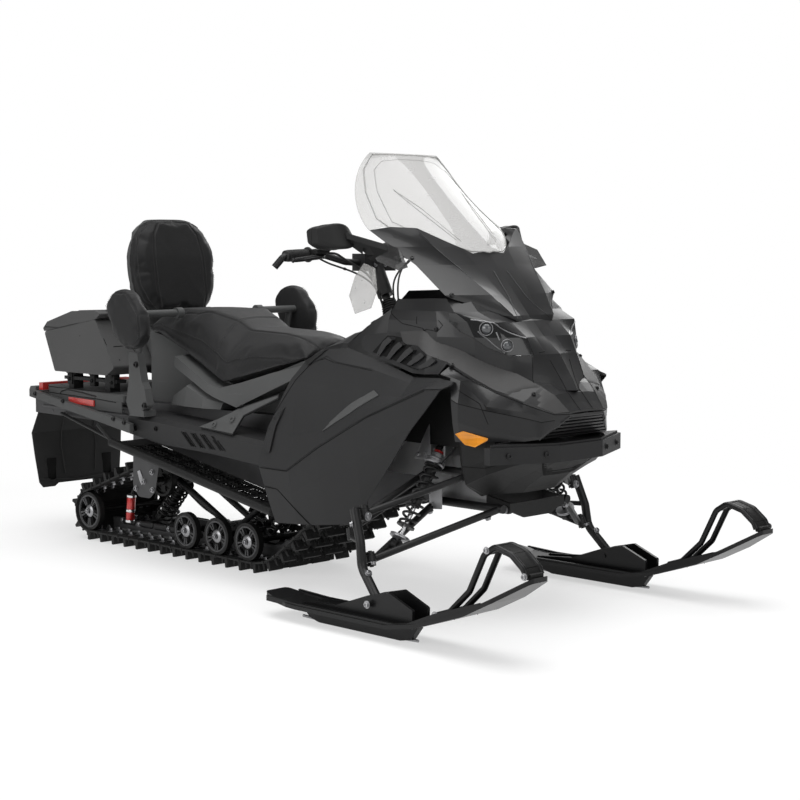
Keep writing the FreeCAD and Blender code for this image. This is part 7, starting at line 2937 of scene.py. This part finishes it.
@dataclass
class RearDress:
    """Deck grooves, bumper bolts, tail-lamp rims, the passenger's brackets, and painted shadow in
    the flap's slots.

    Places are in millimetres. The flap's slots are slot_side to each side of its middle, and the
    footrest's plate leans by lean degrees.
    """

    slot_side: float = 131
    lean: float = 30
    footrest_plate: tuple[tuple[float, float], ...] = (
        (226, 5), (146, 40), (74, 79), (-94, 144), (-100, 136), (30, 63), (46, -6))
    footrest_bolts: tuple[tuple[float, float], ...] = ((72, 42), (150, 16))
    flap_ribs: Laid = Beads("flap_ribs", "snow_flap", Finishes.flap, "flap_rubber", 0.0034, (
        ((-200, 1388, 470), (0, 1388, 462), (200, 1388, 470)),
        ((-200, 1388, 205), (0, 1388, 190), (200, 1388, 205)),
        ((-70, 1388, 440), (-82, 1388, 330), (-70, 1388, 215)),
        ((70, 1388, 440), (82, 1388, 330), (70, 1388, 215))),
        0.008, tuple((x, 1386, 500) for x in (-170, -60, 60, 170)), paired=False)
    lamp_rims: Laid = Beads("lamp_rims", "rear_deck", Finishes.black, "panel_plastic", 0.0026, (
        ((-284, 900, 562), (-286, 1000, 570), (-286, 1120, 574), (-284, 1180, 562)),))
    bumper_bolts: Laid = Beads(
        "bumper_bolts_rear", "rear_bumper", Finishes.steel, "black_steel", head=0.008, spots=(
            (-350, 620, 520), (-350, 700, 530), (-350, 1100, 540), (-320, 1330, 545)))
    bracket_bolts: Laid = Beads(
        "bracket_bolts", "passenger_bracket_right", Finishes.steel, "black_steel", head=0.009,
        spots=((-300, 520, 590), (-300, 560, 560), (-350, 500, 560), (-340, 545, 700),
               (-340, 545, 800)))
    skirt_slots: Laid = Beads(
        "skirt_slots", "side_skirt_right", Finishes.dark_joint_and_shadow, "panel_plastic", 0.0022,
        tuple(((-340, y + shift, 436), (-338, y + shift + 52, 482))
              for y in (88, 142, 196, 250) for shift in (-5, 19)),
        0.007, ((-335, -60, 460), (-300, 60, 600), (-330, 470, 480), (-330, 600, 470)))
    deck_grooves: Laid = Beads("deck_grooves", "rear_deck", Finishes.dark_joint_and_shadow, "panel_plastic", 0.0016, (
        ((-284, 760, 550), (-286, 1000, 556), (-284, 1320, 560)),
        ((-240, 740, 576), (-240, 1320, 576)),
        ((-40, 1240, 576), (-40, 1330, 576))))

    def flap_slots(self) -> bpy.types.Object:
        """Dark blocks in the flap's two slots, a painted shadow in place of what is seen through
        them.

        Returns:
            The joined blocks.
        """
        parts = []
        for x in (-self.slot_side, self.slot_side):
            spot, _ = Shell.of("snow_flap").near(mm(x + 30, 1390, 235))
            parts.append(Workshop.block(spot + mm(-52, 1, -45), spot + mm(-8, 4, 45),
                                        "flap_slots", 0.0012))
        return Workshop.join(parts, "flap_slots")

    def footrest(self) -> bpy.types.Object:
        """The pale face of the footrest's plate, with its two bolts.

        Returns:
            The joined face.
        """
        turn = Matrix.Rotation(math.radians(self.lean), 4, "Y")
        place = Matrix.Translation(mm(-331, 0, 500)) @ turn
        corners = [place @ mm(-3.4, y, z) for y, z in self.footrest_plate]
        face = Workshop.plate(corners, place.to_3x3() @ mm(-1.2, 0, 0), "footrest_faces", 0.0005)
        out = place.to_3x3() @ Vector((-1, 0, 0))
        bolts = [Workshop.bolt(place @ mm(-4.4, y, z), out, 0.0105, 0.005)
                 for y, z in self.footrest_bolts]
        return Workshop.join([face, *bolts], "footrest_faces")

    def build(self) -> None:
        """Adds all of them."""
        # painted shadow: dark blocks in the flap's slots
        Workshop.dress(self.flap_slots(), Finishes.dark_joint_and_shadow, Body.CHASSIS, "flap_rubber")
        for piece in (self.flap_ribs, self.lamp_rims, self.bumper_bolts, self.bracket_bolts,
                      self.skirt_slots):
            piece.build()
        mirror_pair(self.footrest, Finishes.grey, "panel_grey")
        self.deck_grooves.build()


# ---------------------------------------------------------------- front end


@dataclass
class FrontEnd:
    """Pivot bolts, ball joints, the shocks' shafts and caps, sway-bar links, hoses and skid plates.

    Places are in millimetres. Each cap has its start and end along the shock, as shares, and its
    radius in metres. Each skid plate has its X, its outline and its bolts, as Y and Z.
    """

    low_eye: Point = (-395, -772, 239)
    high_eye: Point = (-225, -790, 503)
    cap_rows: tuple[tuple[float, float, float], ...] = (
        (0.84, 0.90, 0.0315), (0.905, 0.955, 0.021), (0.05, 0.085, 0.031))
    pivot_head: float = 0.0085
    pivot_spots: tuple[tuple[str, tuple[Point, ...]], ...] = (
        ("lower_arm_right", ((-150, -960, 205), (-150, -700, 205), (-494, -772, 196))),
        ("upper_arm_right", ((-205, -905, 440), (-205, -718, 440), (-482, -770, 330))),
        ("spindle_right", ((-500, -830, 350), (-530, -820, 200), (-548, -700, 300))))
    link_ends: tuple[Point, Point] = ((-352, -742, 250), (-262, -736, 372))
    hose_tail: tuple[Point, ...] = (
        (-262, -826, 468), (-246, -836, 486), (-232, -842, 505), (-222, -846, 516))
    frame_bolts: tuple[Point, ...] = ((-140, -960, 330), (-140, -930, 400), (-145, -860, 470))
    plates: tuple[tuple, ...] = (
        (-233, ((-752, 581), (-757, 470), (-690, 470), (-722, 530)), ((-738, 490), (-708, 486))),
        (-183, ((-757, 399), (-757, 316), (-706, 312), (-702, 392)), ((-744, 384), (-718, 328))))

    def turned(self, start: float, end: float, profile: Sequence[tuple[float, float]], name: str,
               sides: int) -> bpy.types.Object:
        """A turned piece on the right shock's axis.

        Args:
            start: Where it starts, as a share of the shock's length.
            end: Where it ends.
            profile: Shares of the piece's own length with the radius at each.
            name: Its name.
            sides: How many sides it has.

        Returns:
            The piece.
        """
        low, high = mm(*self.low_eye), mm(*self.high_eye)
        return Workshop.lathe(low.lerp(high, start), low.lerp(high, end), profile, name, sides)

    def shaft(self) -> bpy.types.Object:
        """The polished shaft under the spring."""
        profile = [(0, 0.005), (0.05, 0.0062), (0.95, 0.0062), (1, 0.005)]
        return self.turned(0.06, 0.44, profile, "shock_shafts", 20)

    def caps(self) -> bpy.types.Object:
        """The shock's silver body cap and spring collars.

        Returns:
            The joined caps.
        """
        shares = ((0, 0.9), (0.15, 1), (0.4, 1), (0.45, 0.93), (0.6, 0.93), (0.65, 1), (0.9, 1),
                  (1, 0.8))
        parts = [self.turned(start, end, [(share, radius * width) for share, width in shares],
                             "shock_caps", 28) for start, end, radius in self.cap_rows]
        return Workshop.join(parts, "shock_caps")

    def red_spot(self) -> bpy.types.Object:
        """The small red adjuster on the shock."""
        profile = [(0, 0.014), (0.2, 0.018), (0.8, 0.018), (1, 0.012)]
        return self.turned(0.958, 0.985, profile, "shock_adjusters", 18)

    def pivots(self) -> bpy.types.Object:
        """The arms' pivot bolts and the spindle's nuts.

        Returns:
            The joined bolts.
        """
        parts = [Shell.of(node).bolt(p, self.pivot_head)
                 for node, row in self.pivot_spots for p in row]
        return Workshop.join(parts, "arm_bolts")

    def sway_link(self) -> bpy.types.Object:
        """The sway bar's link beside the shock, with its two ball ends.

        Returns:
            The joined link.
        """
        ends = [mm(*p) for p in self.link_ends]
        profile = [(0, 0.004), (0.1, 0.009), (0.5, 0.0112), (0.9, 0.009), (1, 0.004)]
        rod = Workshop.rod(*ends, 0.0052, "sway_links", 14)
        balls = [Workshop.lathe(p + mm(0, -10, 0), p + mm(0, 12, 0), profile, "sway_links", 16)
                 for p in ends]
        return Workshop.join([rod, *balls], "sway_links")

    def hose(self) -> bpy.types.Object:
        """The shock's curly breather hose.

        Returns:
            The joined hose.
        """
        coil = Workshop.coil(mm(-262, -815, 470), mm(-300, -822, 396), 0.011, 0.0024, 3.5,
                             "shock_hoses")
        tail = Workshop.tube([mm(*p) for p in self.hose_tail], 0.0024, "shock_hoses", 8)
        return Workshop.join([coil, tail], "shock_hoses")

    def skid_plates(self) -> bpy.types.Object:
        """The pale plates on the bulkhead's side with their bolts.

        Returns:
            The joined plates.
        """
        parts = [Shell.of("front_frame").bolt(p, 0.009) for p in self.frame_bolts]
        for x, outline, bolts in self.plates:
            parts.append(Workshop.plate([mm(x, y, z) for y, z in outline], mm(-3, 0, 0),
                                        "skid_plates", 0.0008, 0.009, 0.001))
            parts += [Workshop.bolt(mm(x - 3, y, z), (-1, 0, 0), 0.006, 0.004) for y, z in bolts]
        return Workshop.join(parts, "skid_plates")

    def build(self) -> None:
        """Adds all of them, each side's on the chassis."""
        for make, finish, slot in ((self.shaft, Finishes.chrome, "alloy"),
                                   (self.caps, Finishes.alloy, "alloy"),
                                   (self.red_spot, Finishes.shock, "shock_red"),
                                   (self.sway_link, Finishes.steel, "black_steel"),
                                   (self.hose, Finishes.grip, "grip_rubber"),
                                   (self.skid_plates, Finishes.alloy, "alloy"),
                                   (self.pivots, Finishes.zinc, "black_steel")):
            mirror_pair(make, finish, slot)


@dataclass
class SkiDress:
    """The skis' bolts, runners, saddle block and the band that closes each loop.

    Everything is in millimetres. Lines and spots give Y and Z beside middle, which is the right
    ski's X. The grooves start groove_side off it.
    """

    middle: float = -538.5
    groove_side: float = 52
    band_half: float = 27
    band_line: tuple[tuple[float, float], ...] = (
        (-1276, 292), (-1316, 318), (-1372, 303), (-1414, 270), (-1423, 251))
    runner_line: tuple[tuple[float, float], ...] = (
        (-520, 7), (-600, 5), (-700, 4.8), (-900, 4.8), (-960, 5), (-1000, 7))
    bolt_rows: tuple[tuple, ...] = ((48.5, 0.0085, ((-843, 95), (-1110, 104))),
                                    (39, 0.0075, ((-1423, 252), (-1290, 306))))

    def band(self) -> bpy.types.Object:
        """The web between the loop's two tubes, with the block that ends it.

        Returns:
            The joined band.
        """
        parts = []
        for (y0, z0), (y1, z1) in zip(self.band_line, self.band_line[1:]):
            along = Vector((0, y1 - y0, z1 - z0)).normalized()
            normal = Vector((0, -along.z, along.y))
            a, b = mm(self.middle, y0, z0), mm(self.middle, y1, z1)
            side = mm(self.band_half, 0, 0)
            corners = [p - normal * 0.004 for p in (a - side, a + side, b + side, b - side)]
            parts.append(Workshop.plate(corners, normal * 0.008, "loop_band", 0.0012, 0.008, 0.002))
        parts.append(Workshop.block(mm(self.middle - 25, -1437, 241),
                                    mm(self.middle + 25, -1415, 258), "loop_band", 0.003))
        return Workshop.join(parts, "loop_band")

    def bolts(self) -> bpy.types.Object:
        """The pale bolts through the ski, its nose and the loop's feet.

        Returns:
            The joined bolts.
        """
        parts = [Workshop.bolt(mm(self.middle - off, y, z), mm(-1, 0, 0), radius, 0.005)
                 for off, radius, spots in self.bolt_rows for y, z in spots]
        return Workshop.join(parts, "ski_bolts")

    def runner(self) -> bpy.types.Object:
        """The steel runner bar under the ski's keel."""
        line = [mm(self.middle, y, z) for y, z in self.runner_line]
        return Workshop.tube(line, 0.0044, "ski_runners", 8)

    def saddle(self) -> bpy.types.Object:
        """The rubber block under the spindle's foot."""
        low, high = mm(self.middle - 24, -905, 58), mm(self.middle + 24, -790, 76)
        return Workshop.join([Workshop.block(low, high, "ski_saddles", 0.006)], "ski_saddles")

    def ribs(self) -> bpy.types.Object:
        """The grooves along the ski's top.

        Returns:
            The joined grooves.
        """
        rows = ((1, -470, 60), (1, -760, 60), (1, -1000, 60), (0.9, -1180, 110), (0.7, -1340, 190))
        parts = [Shell.of("ski_right").strip([(self.middle + off * share, y, z)
                                              for share, y, z in rows], 0.0022, "ski_ribs")
                 for off in (-self.groove_side, self.groove_side)]
        return Workshop.join(parts, "ski_ribs")

    def build(self) -> None:
        """Adds all of them, each side's on its own ski."""
        for make, finish, slot in ((self.band, Finishes.black, "ski_plastic"),
                                   (self.bolts, Finishes.alloy, "alloy"),
                                   (self.runner, Finishes.zinc, "alloy"),
                                   (self.saddle, Finishes.grip, "grip_rubber"),
                                   (self.ribs, Finishes.ski, "ski_plastic")):
            right = make()
            name = right.name
            left = Workshop.mirrored(right, name + "_left")
            right.name = name + "_right"
            Workshop.dress(right, finish, Body.RIGHT_SKI, slot)
            Workshop.dress(left, finish, Body.LEFT_SKI, slot)




# ---------------------------------------------------------------- studio


@dataclass
class Studio:
    """Camera, lamps, floor and backdrop.

    Each lamp has its name, its place, the point that it faces, its size and its power. air is the
    strength of the light from all round.
    """

    azimuth: float = -45.303
    elevation: float = 5.182
    distance: float = 5.6551
    target: Point = (0.0, -0.395, 0.61434)
    lens: float = 78.49
    floor_half: float = 14.0
    floor_cuts: int = 6
    air: float = 0.22
    lamps: tuple[tuple, ...] = (
        ("top_box", (-0.5, -0.6, 4.6), (0, -0.1, 0.3), (4.6, 5.2), 250),
        ("front_box", (-1.2, -5.6, 2.4), (0, -0.4, 0.6), (4.5, 2.6), 55),
        ("near_box", (-5.0, 0.6, 2.2), (0, 0.0, 0.5), (4.8, 2.6), 120),
        ("far_box", (4.2, 1.6, 3.2), (0, 0.2, 0.8), (3.6, 2.6), 90))

    def camera(self) -> None:
        """Sets the camera at its azimuth, elevation and distance, looking at the target."""
        turn, rise = math.radians(self.azimuth), math.radians(self.elevation)
        back = Vector((math.sin(turn) * math.cos(rise), -math.cos(turn) * math.cos(rise),
                       math.sin(rise)))
        data = bpy.data.cameras.new("camera")
        data.lens = self.lens
        data.sensor_width = 36.0
        data.clip_start = 0.1
        data.clip_end = 100.0
        made = bpy.data.objects.new("camera", data)
        bpy.context.scene.collection.objects.link(made)
        made.location = Vector(self.target) + back * self.distance
        made.rotation_mode = "QUATERNION"
        made.rotation_quaternion = (-back).to_track_quat("-Z", "Y")
        bpy.context.scene.camera = made

    def lamp(self, name: str, spot: Point, aim: Point, size: Point, power: float) -> None:
        """Adds one soft box.

        Args:
            name: The lamp's name.
            spot: Where it stands, in metres.
            aim: The point that it faces.
            size: Its width and height.
            power: Its power in watts.
        """
        data = bpy.data.lights.new(name, "AREA")
        data.shape = "RECTANGLE"
        data.size, data.size_y = size
        data.energy = power
        made = bpy.data.objects.new(name, data)
        made.location = spot
        made.rotation_mode = "QUATERNION"
        made.rotation_quaternion = (Vector(aim) - Vector(spot)).to_track_quat("-Z", "Y")
        bpy.context.scene.collection.objects.link(made)

    @staticmethod
    def backdrop_ray(tree: bpy.types.NodeTree, path: bpy.types.Node) -> bpy.types.NodeSocket:
        """A socket that is 1 for a ray from the camera or straight through glass.

        Args:
            tree: The world's nodes.
            path: The Light Path node.

        Returns:
            The socket.
        """
        most = tree.nodes.new("ShaderNodeMath")
        most.operation = "MAXIMUM"
        tree.links.new(path.outputs["Is Camera Ray"], most.inputs[0])
        tree.links.new(path.outputs["Is Transmission Ray"], most.inputs[1])
        return most.outputs[0]

    def world(self) -> None:
        """Makes the air's light, and the white backdrop that only the camera sees."""
        world = bpy.data.worlds.new("studio_air")
        world.use_nodes = True
        tree = world.node_tree
        back = tree.nodes["Background"]
        back.inputs["Color"].default_value = (1, 1, 1, 1)
        back.inputs["Strength"].default_value = self.air
        seen = tree.nodes.new("ShaderNodeBackground")
        seen.inputs["Color"].default_value = (1, 1, 1, 1)
        path = tree.nodes.new("ShaderNodeLightPath")
        mix = tree.nodes.new("ShaderNodeMixShader")
        tree.links.new(self.backdrop_ray(tree, path), mix.inputs[0])
        tree.links.new(back.outputs[0], mix.inputs[1])
        tree.links.new(seen.outputs[0], mix.inputs[2])
        tree.links.new(mix.outputs[0], tree.nodes["World Output"].inputs["Surface"])
        bpy.context.scene.world = world
        bpy.context.scene.view_settings.view_transform = "Standard"

    def floor(self) -> None:
        """Makes the floor just under the ground plane."""
        Workshop.clear()
        bpy.ops.mesh.primitive_plane_add(size=self.floor_half * 2, location=(0, 0, -0.0005))
        floor = bpy.context.object
        floor.name = "studio_floor"
        Workshop.only(floor)
        bpy.ops.object.mode_set(mode="EDIT")
        bpy.ops.mesh.select_all(action="SELECT")
        bpy.ops.mesh.subdivide(number_cuts=self.floor_cuts)
        bpy.ops.object.mode_set(mode="OBJECT")
        bpy.ops.object.transform_apply(location=True, rotation=True, scale=True)
        floor.data.materials.append(Finishes.floor.material())
        log.info("studio: floor of %d faces", len(floor.data.polygons))

    def build(self) -> None:
        """Makes the camera, the lamps, the world and the floor."""
        self.camera()
        for lamp in self.lamps:
            self.lamp(*lamp)
        self.world()
        self.floor()


# ---------------------------------------------------------------- machine


def main() -> None:
    """Builds every sub-assembly in order."""
    logging.basicConfig(level=logging.INFO, format="%(name)s: %(message)s")
    Studio().build()
    Finishes.dress_frame()
    for assembly in ASSEMBLIES:
        assembly().build()
        log.info("%s is done", assembly.__name__)


ASSEMBLIES: tuple[type, ...] = (
    SoftGoods, Track, WheelFaces, Skid, Boards, HoodDress, Headlights, NoseDress, ScreenDress,
    SidePanels, BarControls, Dash, CargoDress, RearDress, FrontEnd, SkiDress)

if __name__ == "__main__":
    main()
